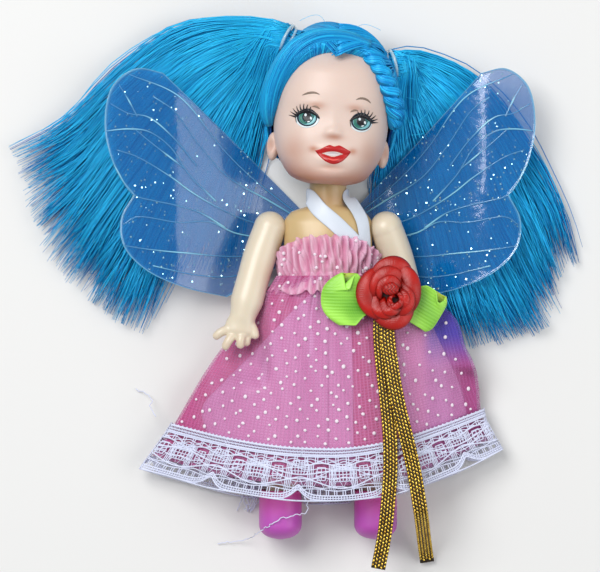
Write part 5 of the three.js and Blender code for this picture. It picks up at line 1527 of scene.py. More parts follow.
@dataclass
class Arm:
    """A moulded arm with an open hand, swung a little from straight at the shoulder."""

    side: Side
    swing_deg: float
    shoulder: tuple[float, float, float] = (13.6, 2.5, AXIS_Z)
    splay_deg: float = 16.0
    upper: float = 12.2
    fore: float = 7.6
    voxel: float = 0.19
    shoulder_steps = ((-2.6, 1.5), (-1.5, 1.45), (1.2, 1.3), (6, 1.0))
    half_widths = (1.9, 2.95, 3.45, 3.5, 3.4, 3.45, 2.75, 3.1, 3.1, 2.5)
    half_depths = (1.9, 3.0, 3.6, 3.5, 3.2, 3.1, 2.3, 1.7, 1.4, 0.9)
    digits = (
        ((2.5, -2.2), (4.6, -3.2), (6.0, -4.4), 0.0), ((1.5, -3.0), (2.9, -5.0), (3.9, -6.8), 0.0),
        ((0.0, -3.2), (0.35, -5.0), (0.4, -6.6), 0.2), ((-1.2, -2.5), (-0.9, -4.3), (-0.8, -5.9), -0.7),
    )
    thumb = ((-0.8, 0.4), (-1.7, -1.4), (-2.5, -3.0), (-2.8, -4.6))

    def down(self, length: float, bend: float) -> Array:
        """A step down the arm, bent towards the body by an angle in degrees."""
        a = math.radians(self.splay_deg - bend)
        return np.array([self.side.value * math.sin(a) * length, -math.cos(a) * length, 0.0])

    def build(self) -> None:
        """Make the arm and its hand as one skin, with the shoulder peg inside the torso."""
        s = self.side.value
        elbow = self.down(self.upper, 1) + [-0.8 * s, 0, 0.3]
        wrist = elbow + self.down(self.fore, 1)
        on_hand = lambda out, along, high=0.0: wrist + [s * out, along, high]
        stations = np.array([
            *(self.down(low, 0) + [-aside * s, 0, 0] for low, aside in self.shoulder_steps),
            elbow, lerp(elbow, wrist, 0.45), wrist,
            on_hand(0.5, -1.8), on_hand(0.8, -3.0), on_hand(0.9, -3.9),
        ])
        line = through(stations, 60)
        run = run_of(line)
        marks = [run[np.argmin(np.linalg.norm(line - p, axis=1))] for p in stations]
        half, deep = (Profile(list(zip(marks, v)))(run) for v in (self.half_widths, self.half_depths))
        forms = [tube(line, oval(half, deep, 40), UP)]
        forms.append(blob(np.array([-1.4 * s, 0.0, 0.0]), np.array([3.45, 3.55, 3.65]), 32, 24))
        for root, middle, tip, high in self.digits:
            start = on_hand(0.45 * root[0], 0.45 * root[1], high)
            bends = [start, on_hand(*root, high), on_hand(*middle, high + 0.3), on_hand(*tip, high - 0.3)]
            forms.append(self.digit(bends, 1.12, 0.86))
        forms.append(self.digit([on_hand(*pair, 0.1) for pair in self.thumb], 1.15, 0.88))
        skin = fused(Shape.joined(forms), self.voxel, 8)
        # Painted shade in the crook of the elbow, and the vinyl a little warmer towards the hand.
        crook = bell(np.linalg.norm(skin.points - elbow - [-s * 3.0, 1.4, 0.5], axis=1), 2.6)
        skin.marks["blush"] = np.clip(0.2 * ease((-skin.points[:, 1] - 20) / 7) + 0.35 * crook, 0, 1)
        peg_line = np.array([[-s * 2.4, 0, 0], [-s * 5.4, 0, 0], [-s * 7.4, 0, 0]])
        peg = tube(peg_line, oval(np.full(3, 1.1), 1.1, 24), UP)
        shoulder = np.array(self.shoulder) * [s, 1, 1]
        made = Shape.joined([skin, peg]).moved(turn_about_x(self.swing_deg), shoulder)
        name = f"{self.side.word}_arm"
        made.piece(f"doll_{name}", LIMB, Body(name), [name])

    def digit(self, points: Sequence[Array], base: float, tip: float) -> Shape:
        """A finger: a tapering tube with a round end."""
        line = through(np.array(points), 22)
        t = np.linspace(0, 1, len(line))
        radius = lerp(base, tip, t) * np.sqrt(np.clip(1 - np.clip((t - 0.86) / 0.14, 0, 0.97) ** 2, 0, 1))
        return tube(line, oval(radius, radius * 0.92, 16), UP)


@dataclass
class Leg:
    """A moulded leg from its hip barrel to the foot, and the soft shoe over the foot."""

    side: Side
    hip: tuple[float, float, float] = (5.8, -20.5, AXIS_Z)
    ankle: tuple[float, float, float] = (10.0, -54.0, 5.8)
    foot_low: float = 1.45
    foot_long: float = 9.8
    shoe_top: float = -52.6
    shoe_end: float = -62.9
    foot_half: float = 3.2
    wall: float = 1.3
    voxel: float = 0.28
    square: float = 0.8
    radii = ((0.5, 3.2), (2.5, 4.5), (9, 4.55), (17, 4.0), (23, 4.1), (29, 3.5))

    def build(self) -> None:
        """Make the leg and its shoe."""
        s = self.side.value
        hip, ankle = (np.array(p) * [s, 1, 1] for p in (self.hip, self.ankle))
        way = unit(ankle - hip)
        length = float(np.linalg.norm(ankle - hip))
        run = np.linspace(0.5, length + 4.4, 60)
        radius = Profile([*self.radii, (length, 2.9), (length + 4.4, 2.8)])(run)
        line = hip + way * run[:, None]
        line[:, 2] = np.maximum(line[:, 2], self.ankle[2] - 0.4)
        forms = [tube(line, oval(radius, radius, 40), UP)]
        barrel = np.array([[-4.4, 0, 0], [-4.0, 0, 0], [4.0, 0, 0], [4.4, 0, 0]]) * [s, 1, 1] + hip
        barrel_radius = np.array([4.8, 5.3, 5.3, 4.8])
        forms.append(tube(barrel, oval(barrel_radius, barrel_radius, 40), UP))
        forms.append(self.sole(-55.5, -61.6))
        skin = fused(Shape.joined(forms), self.voxel, 6)
        skin.marks["blush"] = 0.3 * bell(skin.points[:, 1] + 38, 4.0) * ease((skin.points[:, 2] - 7) / 3)
        name = f"{self.side.word}_leg"
        skin.piece(f"doll_{name}", LIMB, Body(name), [name])
        self.shoe()

    def middle(self, y: Array) -> Array:
        """The foot's middle line at places along it."""
        out, up = self.side.value * self.ankle[0], self.foot_low + self.foot_long / 2
        return np.stack([np.full(len(y), out), y, np.full(len(y), up)], axis=1)

    def sole(self, start: float, end: float) -> Shape:
        """The foot's block, which stands up off the table from heel to toe."""
        t = np.linspace(0, 1, 26)
        shrink = np.sqrt(np.clip(1 - np.clip((t - 0.62) / 0.38, 0, 0.985) ** 2.4, 0, 1))
        shrink *= np.clip(0.55 + t * 6, 0, 1)
        half, rise = self.foot_half * lerp(0.72, 1.0, shrink), self.foot_long / 2 * lerp(0.66, 1.0, shrink)
        return tube(self.middle(lerp(start, end, t)), oval(half, rise, 48, self.square), UP)

    def shoe(self) -> None:
        """The slip-on shoe: a rounded toe, an open top with a rolled edge, and a sole line."""
        count, sides = 44, 64
        t = np.linspace(0, 1, count)
        near = np.sqrt(np.clip(1 - np.clip((t - 0.7) / 0.3, 0, 0.995) ** 2.6, 0, 1))
        edge = 0.14 * bell(t - 0.02, 0.035)
        half = (self.foot_half + self.wall) * near * (1 - 0.05 * bell(t, 0.2)) + edge
        rise = (self.foot_long / 2 + self.wall) * near + edge
        centre = self.middle(lerp(self.shoe_top, self.shoe_end, t**1.15))[:, None]
        outer = centre + np.insert(oval(half, rise, sides, self.square), 1, 0, axis=-1)
        deep = int(count * 0.9)
        inner = (centre + (outer - centre) * (1 - 1.0 / (self.foot_half + self.wall)))[:deep][::-1]
        outer[..., 2] = np.maximum(outer[..., 2], 0.15)
        points = np.concatenate([inner, outer])
        warm = np.clip(1 - np.concatenate([np.flip(t[:deep]), t]) / 0.62, 0, 1)
        made = Shape(points, grid_faces(len(points), sides), blush=np.repeat(warm, sides)).outward()
        name = f"{self.side.word}_shoe"
        made.piece(f"doll_{name}", SHOE, Body(name), [name])


@dataclass
class Wings:
    """One clear moulded sheet: two wings with raised veins, a rim and glitter, and a hub behind the back."""

    form: WingForm = field(default_factory=WingForm)
    reach = {Side.RIGHT: 1.037, Side.LEFT: 0.963}
    upper = ((33.4, 35.1), (38.8, 36.0), (43.6, 32.4), (45.2, 23.5), (42.6, 14.0), (39.3, 9.5))
    lower = ((39.3, 9.5), (41.9, 4.6), (41.4, -1.2), (37.0, -6.2), (29.0, -10.0), (20.5, -12.0))
    notch: float = 0.55
    veins = (
        ((40.3, 34.8), (30.2, 30.2), (21.9, 19.7), (17.0, 14.4), (9.0, 7.6), (3.4, 3.6)),
        ((35.2, 30.0), (31.4, 27.3), (26.3, 20.2), (20.6, 13.4), (12.0, 8.2), (5.0, 3.9)),
        ((44.0, 28.6), (40.4, 26.6), (36.4, 25.8), (31.4, 21.6), (26.6, 15.6)),
        ((44.7, 22.9), (40.4, 23.3), (36.4, 22.8), (32.0, 19.6), (28.1, 13.7), (22.9, 8.2)),
        ((38.9, 23.1), (36.0, 20.6), (32.0, 17.4), (29.0, 15.0)),
        ((42.8, 18.9), (38.9, 17.6), (31.6, 13.1), (27.7, 10.1), (22.9, 7.1), (16.8, 4.2), (9.0, 2.4),
         (3.4, 1.8)),
        ((43.3, 15.7), (39.4, 9.6), (35.0, 8.2), (31.2, 7.4), (25.9, 5.7), (21.0, 2.6)),
        ((41.4, 3.2), (38.9, 4.8), (30.2, 3.7), (24.1, 3.8), (19.0, 1.5), (13.0, 0.6), (3.4, 0.8)),
        ((41.2, -1.2), (36.0, -2.0), (29.0, -2.7), (17.5, -3.4), (9.0, -1.4), (3.4, -0.2)),
        ((35.4, -5.4), (32.1, -6.2), (26.3, -7.4), (19.4, -7.6), (10.0, -3.6), (3.4, -0.9)),
        ((42.3, 32.6), (40.6, 29.8), (38.6, 25.9)),
    )
    rows: int = 112
    columns: int = 68
    specks: int = 300

    def build(self) -> None:
        """Make the two wings as one sheet with their hub, and the glitter."""
        skins = [self.skin(side) for side in Side]
        shape = Shape.joined([*skins, *[self.ribs(side) for side in Side], self.hub()])
        shape.piece("wings_sheet", WING, Body.TORSO, ["wings"])
        self.glitter()

    def edge(self, c: Array) -> Array:
        """The wing's outer edge from its upper lobe to its lower one, by share."""
        upper, lower = through(np.array(self.upper), 200), through(np.array(self.lower), 200)
        line = np.concatenate([upper, lower[1:]])
        place = np.concatenate([np.linspace(0, self.notch, 200), np.linspace(self.notch, 1, 200)[1:]])
        return np.stack([np.interp(c, place, line[:, k]) for k in range(2)], axis=-1)

    def flat(self, side: Side, c: Array, t: Array) -> Array:
        """Places on the flat wing: c goes from its upper edge to its lower one, t from its root outwards."""
        c, t = np.broadcast_arrays(c, t)
        x, high = self.form.root
        root = np.stack([np.full_like(c, x), lerp(high, self.form.root_low, c)], axis=-1)
        point = lerp(root, self.edge(c), t[..., None])
        point[..., 0] *= side.value * lerp(1.0, self.reach[side], t)
        return point

    def vein(self, c: Array, t: Array) -> Array:
        """How near a place is to the sheet's thicker edge."""
        rim = 0.6 * bell((1 - t) / 0.009, 1.0)
        sides = 0.5 * (bell(c / 0.006, 1.0) + bell((1 - c) / 0.006, 1.0))
        return np.clip(np.maximum(rim, sides), 0, 1)

    def ribs(self, side: Side) -> Shape:
        """The raised veins: fine ridges along their lines on the sheet, with painted highlights that come and
        go along them.
        """
        lines = np.array([through(np.array(line), 70) for line in self.veins])
        lines[..., 0] *= side.value * lerp(1.0, self.reach[side], ease(lines[..., 0] / 30))
        high = self.form.underside(lines[..., 0]) + self.form.thick
        t = np.linspace(0, 1, 70)[None, :]
        number = np.arange(len(lines))[:, None]
        # Painted highlights: glints that come and go along each vein.
        glint = 0.35 + 0.6 * np.maximum(np.sin(t * 7 + number * 2.3), 0) ** 2
        lines = np.concatenate([lines, high[..., None]], axis=-1)
        made = strands(lines, lerp(0.13, 0.2, t), glint, 6)
        made.marks = {"vein": made.marks["tone"]}
        return made

    def skin(self, side: Side) -> Shape:
        """One wing: a thin sheet whose upper skin carries the veins and a few shallow waves."""
        c = (1 - np.cos(np.linspace(0, math.pi, self.rows)))[:, None] / 2
        t = (1 - (1 - np.linspace(0, 1, self.columns)) ** 1.5)[None, :]
        flat = self.flat(side, c, t)
        vein = self.vein(c, t)
        low = self.form.underside(flat[..., 0])
        ripple = 0.12 * np.sin(t * 16 + 3 * c) * ease(t * 3) * (1 - vein)
        top = low + self.form.thick + vein * 0.25 + ripple * 0.4
        upper = np.concatenate([flat, top[..., None]], axis=-1)
        under = np.concatenate([flat, low[..., None]], axis=-1)
        return slab((upper + under) / 2, np.broadcast_to(UP, upper.shape), top - low, vein=vein)

    def hub(self) -> Shape:
        """The plate behind the back that joins the wings, with the collar and peg that hold it there."""
        y = np.array([-0.8, -0.6, 7.0, 7.2])
        plate = np.stack([np.zeros(4), y, np.full(4, 0.75)], axis=1)
        made = [tube(plate, oval(np.array([4.2, 4.6, 4.6, 4.2]), 0.68, 40, 0.35), UP)]
        post = np.array([[0, 3.2, 1.2], [0, 3.2, 2.4], [0, 3.2, 2.45], [0, 3.2, 4.4]])
        radius = np.array([2.3, 2.3, 1.5, 1.5])
        made.append(tube(post, oval(radius, radius, 32), np.array([0, 1.0, 0])))
        joined = Shape.joined(made)
        joined.marks["vein"] = np.full(len(joined.points), 0.1)
        return joined

    def glitter(self) -> None:
        """Small bright flakes set in the sheet, each a thin six-sided chip turned its own way."""
        rng = np.random.default_rng(SEED + 1)
        chips = []
        a = circle(6)
        for side in Side:
            c, t = rng.random(self.specks), np.sqrt(rng.uniform(0.03, 0.96, self.specks))
            flat = self.flat(side, c, t)
            z = self.form.underside(flat[:, 0]) + self.form.thick + 0.02
            radius = rng.uniform(0.08, 0.2, self.specks)[:, None]
            turn = rng.random((self.specks, 1)) * TAU
            lean = rng.normal(0, 0.25, (self.specks, 2))
            x, y = radius * np.cos(a + turn), radius * np.sin(a + turn)
            up = z[:, None] + lean[:, :1] * x + lean[:, 1:] * y
            base = np.stack([flat[:, :1] + x, flat[:, 1:] + y, up], axis=-1)
            points = np.stack([base, base + [0, 0, 0.06]], axis=1)
            chips.append(Shape(points, tube_faces(self.specks, 2, 6)).outward())
        Shape.joined(chips).piece("wing_glitter", GLITTER, Body.TORSO, smooth=False)


@dataclass
class SkirtForm:
    """The skirt's form as it lies: a wide front that drops at its sides, and a back flat on the table."""

    top: float = -7.5
    hem: float = -54.6
    waist: float = 9.8
    hem_half = {Side.RIGHT: 38.2, Side.LEFT: 35.4}
    side_lift = {Side.RIGHT: 6.4, Side.LEFT: 10.4}
    puff = {Side.RIGHT: 1.6, Side.LEFT: 5.0}
    waist_high: float = 15.3
    edge_high: float = 5.2
    flank = Profile([(0, 0.0), (0.035, 6.6), (0.2, 7.6), (0.43, 3.0), (0.64, 2.4), (0.85, 0.8), (1, 0)])
    arm_flap = Profile([(-26, 7.6), (-16, 9.4), (-9, 11.2), (-7.5, 11.4)])
    shoes_at: float = 10.0
    shoes_half: float = 5.2
    steps: int = 8
    halvings: int = 26

    def place(self, share: Array, turn: Array, grow: Array | float = 0.0) -> Array:
        """Points of the skirt at a share of the way down from its waist and an angle round it.

        The front lies at angles from 0 to pi, and grow is how far outside the lining's skin they are.
        """
        share, turn, grow = np.broadcast_arrays(np.asarray(share, float), turn, grow)
        across = np.cos(turn)
        left = across > 0
        pick = lambda table: np.where(left, table[Side.LEFT], table[Side.RIGHT])
        wide = np.abs(across)
        bulge = pick(self.puff) * np.sin(math.pi * np.minimum(share * 1.15, 1)) ** 2 * wide**3
        bulge = bulge + left * self.flank(np.clip(share, 0, 1)) * wide**3
        reach = (lerp(self.waist, pick(self.hem_half), np.maximum(share, 0) ** 1.04) + bulge) * wide
        behind = np.sin(turn) < 0
        low = self.hem + pick(self.side_lift) * across**2
        shoe = ease((self.shoes_half - np.abs(reach - self.shoes_at)) / 1.5)
        low = low + np.where(behind, lerp(-1.3, 3.4, shoe) * (1 - across**2), 0)
        y = lerp(self.top, low, share)
        far = ease((reach - 12) / 24)
        fold = 0.7 * share * np.sin(5 * math.pi * across) * (1 - across**6)
        front = lerp(self.waist_high, self.edge_high, far) + fold
        back = lerp(2.15, 2.35, far)
        over_arm = ease((reach - 11) / 2.1) * ease((y + 31) / 5) * left
        back = lerp(back, self.arm_flap(y), over_arm)
        under_hand = 4.6 * ease((reach - 11.5) / 3) * ease((y + 32) / 6)
        front = np.where(left, np.maximum(front, back + 2), front - under_hand)
        fullness = np.abs(np.sin(turn)) ** 0.62
        rise = (front - back) / 2 * fullness + grow * fullness**0.5
        x = np.where(left, 1, -1) * (reach + grow * across**4)
        return np.stack([x, y, (front + back) / 2 + np.sign(np.sin(turn)) * rise], axis=-1)

    def on_front(self, x: Array, y: Array, grow: float) -> Array:
        """The front skin's points over given places: halving finds the turn, and steps the share."""
        x, y = np.asarray(x, float), np.asarray(y, float)
        share = np.clip((y - self.top) / (self.hem - self.top), 0, 1)
        for _ in range(self.steps):
            low, high = np.zeros_like(x), np.full_like(x, math.pi)
            for _ in range(self.halvings):
                mid = (low + high) / 2
                beyond = self.place(share, mid, grow)[..., 0] > x
                low, high = np.where(beyond, mid, low), np.where(beyond, high, mid)
            turn = (low + high) / 2
            at = self.place(share, turn, grow)
            share = np.clip(share + (y - at[..., 1]) / (self.hem - self.top), 0, 1.2)
        return self.place(share, turn, grow)


PANELS = (
    ("right_panel", Side.RIGHT, (
        ((-3.0, -10.5), (0.0, -10.5)), ((-9.5, -17.0), (0.0, -17.0)), ((-16.0, -24.0), (0.0, -24.0)),
        ((-22.5, -30.5), (0.0, -31.0)), ((-26.5, -35.5), (0.0, -38.0)), ((-25.0, -41.5), (0.0, -46.5)),
    )),
    ("middle_panel", Side.LEFT, (
        ((0.0, -10.5), (4.6, -10.5)), ((0.0, -17.0), (4.8, -17.0)), ((0.0, -24.0), (5.0, -24.0)),
        ((0.0, -31.0), (5.1, -31.0)), ((0.0, -38.0), (5.2, -38.0)), ((0.0, -46.5), (5.3, -46.5)),
    )),
    ("left_panel", Side.LEFT, (
        ((13.8, -9.5), (18.0, -9.5)), ((14.0, -15.5), (20.4, -15.0)), ((14.2, -22.0), (23.0, -20.5)),
        ((14.4, -29.0), (25.9, -26.5)), ((14.6, -36.0), (27.9, -31.0)), ((14.8, -43.5), (29.2, -36.8)),
    )),
)


def follow(
    piece: bpy.types.Object, body: Body
) -> None:
    """Bake the piece's placement into its points."""
    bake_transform(piece)


def follow_leg(piece: bpy.types.Object, side: Side) -> None:
    """Pass a piece on the skirt to follow, with the body of the leg under it."""
    follow(piece, Body(f"{side.word}_leg"))


@dataclass
class Skirt:
    """The skirt: a lining, pale panels on it, a dotted net over all and the lace round its hem."""

    form: SkirtForm = field(default_factory=SkirtForm)
    rows: int = 80
    columns: int = 190
    dot_step: float = 4.8
    dot_rows: int = 13
    lace_top: float = 0.765
    lace_repeat: float = 18.4

    def build(self) -> None:
        """Make every layer, each as a right and a left half."""
        self.chance = np.random.default_rng(SEED + 2)
        self.made: dict[str, bpy.types.Object] = {}
        for side in Side:
            self.lining(side)
            self.net(side)
        self.panels()
        self.dots()
        self.lace()
        self.declare()

    def declare(self) -> None:
        """Look up each half's lining, net, panel, dots and lace among the pieces made."""
        for side in Side:
            lining, net, panel, dots, lace = (
                self.made[f"{side.word}_{part}"] for part in ("lining", "net", "panel", "net_dots", "lace")
            )

    def turns(self, side: Side) -> Array:
        """The angles of one half, from the middle of the front over its side to the middle of the back."""
        return math.pi / 2 - side.value * np.linspace(0, 1, self.columns) * math.pi

    def crumple(self, share: Array, turn: Array, size: float) -> Array:
        """Fine gathers that spring from the waist and die away down the skirt, and wider soft folds."""
        wander = 1.5 * np.sin(turn * 3 + share * 4)
        gathers = np.sin(turn * 41 + wander) + 0.6 * np.sin(turn * 67 - wander * 1.7 + 1.0)
        soft = np.sin(turn * 13 + 2.2 * share + 0.8 * wander)
        near = np.exp(-share / 0.16)
        return size * (0.34 * gathers * near + 0.22 * soft * ease(share * 3) * (1 - 0.6 * share))

    def keep(self, shape: Shape, name: str, finish: Finish, side: Side, node: str = "") -> None:
        """Make one layer's piece, pass it to follow_leg with the leg under it, and remember it by its name.

        The CAD node that both halves of a layer stand for is named on the right one.
        """
        made = shape.piece(name, finish, None, [node] if node and side is Side.RIGHT else [])
        follow_leg(made, side)
        self.made[name] = made

    def sheet_of(self, side: Side, high: float, grow: float, thick: float, size: float, rows: int) -> Shape:
        """One layer of one half from the waist to a share of the way down, with its own crumple.

        Grow is how far outside the lining it lies, and size how deep its folds are.
        """
        share, turn = np.broadcast_arrays(np.linspace(0, high, rows)[:, None], self.turns(side)[None, :])
        lift = grow + self.crumple(share, turn, size) * ease(np.sin(turn) * 3 + 0.2)
        middle = self.form.place(share, turn, lift)
        span = np.linalg.norm(np.diff(middle, axis=1), axis=-1)
        run = np.concatenate([np.zeros((rows, 1)), np.cumsum(span, axis=1)], axis=1)
        fall = np.linspace(0, 1, rows)[:, None] * 48 * high + 0 * run
        lie = np.stack([run * lerp(1.0, 0.6, share), fall, 0 * run], axis=-1)
        return slab(middle, normals_of(middle), thick, lie=lie, fold=np.zeros_like(run))

    def lining(self, side: Side) -> None:
        """The inner skirt of plain cloth, with painted shade over it, deepest in the gap between the panels
        and towards the doll's left side.
        """
        shape = self.sheet_of(side, 0.9, 0.0, 0.35, 0.6, self.rows)
        x, y, _ = shape.points.T
        # Painted shade: half deep all over, deeper in the gap between the panels and towards the doll's left
        # side, in soft waves.
        fold = 0.5 + 0.35 * bell(x - 9, 5) + 0.4 * ease((x - 24) / 4) + 0.25 * np.sin(x * 0.9 + y * 0.2)
        shape.marks |= {"fold": np.clip(fold, 0, 1), "tint": self.violet(x, y)}
        self.keep(shape, f"{side.word}_lining", LINING, side, "underskirt")

    def violet(self, x: Array, y: Array) -> Array:
        """How violet a place is: the upper part of the doll's left side, where blue hair lies close."""
        return ease((x - 19) / 3) * (1 - 0.85 * ease((-y - 19) / 9))

    def net(self, side: Side) -> None:
        """The dotted net over the lining: sheer, with gathers at the waist."""
        shape = self.sheet_of(side, 0.93, 0.8, 0.12, 1.0, self.rows + 20)
        x, y, _ = shape.points.T
        # Painted shade at the sides where the skirt falls away and in waves over the gathers near the waist.
        edge = ease((np.abs(x) - 24) / 6) * ease((-y - 20) / 10)
        fold = 0.3 + 0.5 * edge + 0.3 * np.sin(x * 1.7 + y * 0.35) * np.exp((y + 7.5) / 14)
        shape.marks |= {"fold": np.clip(fold, 0, 1), "tint": self.violet(x, y)}
        self.keep(shape, f"{side.word}_net", TULLE, side, "overskirt")

    def panels(self) -> None:
        """Pale panels over the front of the lining, which shows between them with its painted shade.

        The broad one is made in two pieces that meet on the middle line.
        """
        for name, side, ends in PANELS:
            t = np.linspace(0, 1, 60)
            edges = [through(np.array([pair[k] for pair in ends]), 60) for k in (0, 1)]
            across = np.linspace(0, 1, 50)[None, :, None]
            flat = lerp(edges[0][:, None], edges[1][:, None], across)
            middle = self.form.on_front(flat[..., 0], flat[..., 1], 0.42)
            x, y = flat[..., 0], flat[..., 1]
            middle[..., 2] += 0.08 * np.sin(x * 1.3 + 0.5 * np.sin(y * 0.15)) * ease(t * 4)[:, None]
            # A little painted shade in soft waves.
            fold = np.clip(0.12 + 0.1 * np.sin(x * 0.8 + y * 0.25), 0, 1)
            lie = np.concatenate([flat, 0 * flat[..., :1]], axis=-1)
            shape = slab(middle, normals_of(middle), 0.14, lie=lie, fold=fold, tint=0 * fold)
            self.keep(shape, name, PANEL, side)

    def dots(self) -> None:
        """The net's dots: small raised spots in loose rows, on the front and the back."""
        step, rows, flatter = self.dot_step, self.dot_rows, 0.62
        places = [
            (column * step + (row % 2) * step / 2, row * step * flatter)
            for row in range(-rows, rows) for column in range(-10, 10)
        ]
        flat = np.array(places) + self.chance.normal(0, 0.55, (len(places), 2))
        share = (flat[:, 1] / (rows * step * flatter) + 1) / 2
        spots = {side: [] for side in Side}
        for face in (1, -1):
            reach = lerp(self.form.waist, 36.0, share)
            across = np.clip(flat[:, 0] / reach, -1.4, 1.4)
            keep = np.abs(across) < 0.97
            turn = face * np.arccos(np.clip(across[keep], -0.999, 0.999))
            down = 0.03 + 0.74 * share[keep]
            lift = 0.8 + self.crumple(down, turn, 1.0) * ease(np.sin(turn) * 3 + 0.2)
            at = self.form.place(down, turn, lift)
            step_a = self.form.place(down, turn + 0.01, lift) - at
            step_b = self.form.place(down + 0.01, turn, lift) - at
            normal = unit(np.cross(step_a, step_b))
            normal *= np.sign(normal[:, 2:]) * face
            for p, n in zip(at, normal):
                size = float(self.chance.uniform(0.3, 0.46))
                spots[Side.LEFT if p[0] > 0 else Side.RIGHT].append(self.spot(p, n, size))
        for side, made in spots.items():
            self.keep(Shape.joined(made), f"{side.word}_net_dots", DOT, side)

    def spot(self, at: Array, normal: Array, size: float) -> Shape:
        """One dot: a low seven-sided cushion on the net."""
        side = unit(np.cross(normal, [0.3, 1.0, 0.1]))
        rise = np.cross(normal, side)
        a = (circle(7) + self.chance.random() * TAU)[:, None]
        ring = size * (np.cos(a) * side + np.sin(a) * rise * self.chance.uniform(0.8, 1.15))
        steps = ((0.8, -0.04), (1.0, 0.08), (0.75, 0.2), (0.25, 0.25))
        return Shape(np.array([at + ring * s + normal * h for s, h in steps]), grid_faces(4, 7)).outward()

    def lace(self) -> None:
        """The openwork lace: threads laid over the hem in a pattern that repeats round it."""
        turn = np.linspace(math.pi / 2, math.pi / 2 + TAU, 1600)
        hem = self.form.place(0.88, turn, 1.5)
        run = run_of(hem)
        repeats = round(run[-1] / self.lace_repeat)
        length = run[-1] / repeats

        def on_skirt(u: Array, r: Array, lift: float) -> Array:
            """The place of a pattern point: u in repeats round the hem, r from the lace's top to its edge."""
            s = (np.asarray(u) * length) % run[-1]
            at = np.interp(s, run, turn)
            return self.form.place(lerp(self.lace_top, 1.0, r), at, 1.55 + lift)

        threads = LacePattern().threads()
        halves = {side: [] for side in Side}
        for repeat in range(repeats):
            for u, r, lift, radius in threads:
                line = on_skirt(u + repeat + 0.33, r, lift)[None]
                made = strands(line, radius, np.zeros(1), 4)
                made.marks = {"fold": np.full(len(made.points), float(self.chance.uniform(0, 0.25)))}
                halves[Side.LEFT if line[0, :, 0].mean() > 0 else Side.RIGHT].append(made)
        for side, made in halves.items():
            self.keep(Shape.joined(made), f"{side.word}_lace", LACE, side, "lace_trim")


Thread = tuple[Array, Array, float, float]


@dataclass
class LacePattern:
    """One repeat of the lace: u runs round the hem in repeats, and r from the top of the lace to its edge."""

    fine: float = 0.115
    plain: float = 0.17
    bold: float = 0.24

    def threads(self) -> list[Thread]:
        """Every thread of a repeat as its u, its r, its lift and its radius."""
        made = []
        u = np.linspace(0, 1, 44)
        for r, radius in ((0.015, self.bold), (0.075, self.plain), (0.13, self.bold), (0.16, self.plain)):
            made.append((u, np.full_like(u, r), 0.0, radius))
        made.append(self.zigzag(-0.012, 0.022, 18, self.plain))
        made.append(self.zigzag(0.015, 0.075, 22, self.fine))
        made.append(self.zigzag(0.075, 0.13, 22, self.fine))
        made.append((u, 0.31 + 0.035 * np.cos(TAU * u * 2), 0.04, self.plain))
        for k in range(8):
            at = (k + 0.5) / 8
            made += self.ladder(at - 0.014, at + 0.014, 0.16, 0.31 + 0.035 * math.cos(TAU * at * 2), 2)
        made.append((u, 0.45 + 0.05 * np.cos(TAU * u), 0.05, self.plain))
        made.append((u, 0.5 + 0.13 * np.cos(TAU * u), 0.03, self.fine))
        made.append((u, 0.66 - 0.09 * np.cos(TAU * u), 0.05, self.plain))
        for r, waves in ((0.22, 5), (0.265, 7), (0.39, 3), (0.56, 4), (0.73, 3), (0.78, 2)):
            made.append((u, r + 0.018 * np.sin(TAU * u * waves + 9 * r), 0.02, self.fine))
        made.append(self.zigzag(0.56, 0.73, 9, self.fine))
        for at in (0.125, 0.375, 0.625, 0.875):
            made += self.ladder(at - 0.03, at + 0.03, 0.3, 0.78, 4)
        for spec in (
            (0.5, 0.125, 0.3, 0.62, 7, 6), (0.0, 0.1, 0.24, 0.5, 6, 5),
            (0.25, 0.055, 0.36, 0.6, 3, 4), (0.75, 0.055, 0.36, 0.6, 3, 4),
        ):
            made += self.patch(*spec)
        for at in np.linspace(0, 1, 12)[:-1]:
            made += self.ladder(at + 0.03, at + 0.055, 0.78, float(self.scallop(at + 0.04)), 2)
        edge = self.scallop(u)
        made.append((u, edge, 0.05, self.plain))
        made.append((u, edge + 0.085, 0.05, self.plain))
        made.append((u, edge + 0.045, 0.0, self.fine))
        for at in np.linspace(0, 1, 35)[:-1]:
            low = float(self.scallop(at))
            made.append((np.array([at, at, at]), np.array([low, low + 0.042, low + 0.085]), 0.02, self.fine))
        made.append((u, 0.985 + 0.01 * np.cos(TAU * u), 0.05, self.plain))
        for sign in (-1, 1):
            made.append((np.linspace(0, sign * 0.16, 12), np.linspace(0.78, 0.985, 12), 0.02, self.fine))
        return made

    def scallop(self, u: Array | float) -> Array:
        """The upper thread of the scalloped edge, which rises to a point once in each repeat."""
        near = np.abs((np.asarray(u) + 0.5) % 1 - 0.5)
        return 0.89 - 0.2 * np.exp(-((near / 0.085) ** 1.4))

    def zigzag(self, low: float, high: float, turns: int, radius: float) -> Thread:
        """A thread that goes to and fro between two heights all along the repeat."""
        u = np.linspace(0, 1, turns * 2 + 1)
        r = np.where(np.arange(len(u)) % 2 == 0, low, high)
        return u, r, 0.03, radius

    def ladder(self, start: float, end: float, low: float, high: float, count: int) -> list[Thread]:
        """Threads side by side from one height to another."""
        r = np.linspace(low, high, 5)
        return [(np.full(5, at), r, 0.02, self.fine) for at in np.linspace(start, end, count)]

    def patch(
        self, middle: float, half: float, low: float, high: float, down: int, along: int
    ) -> list[Thread]:
        """A dense square of crossing threads, a little waisted at its sides."""
        t = np.linspace(0, 1, 9)
        pinch = lambda share: 1 - 0.25 * (2 * share - 1) ** 2
        upright = np.linspace(-1, 1, down)
        made = [(middle + half * share * pinch(t), lerp(low, high, t), 0.06, self.fine) for share in upright]
        for share in np.linspace(0, 1, along):
            reach = half * pinch(share) * 1.25
            u = np.linspace(middle - reach, middle + reach, 9)
            made.append((u, np.full(9, lerp(low, high, share)), 0.0, self.fine))
        return made


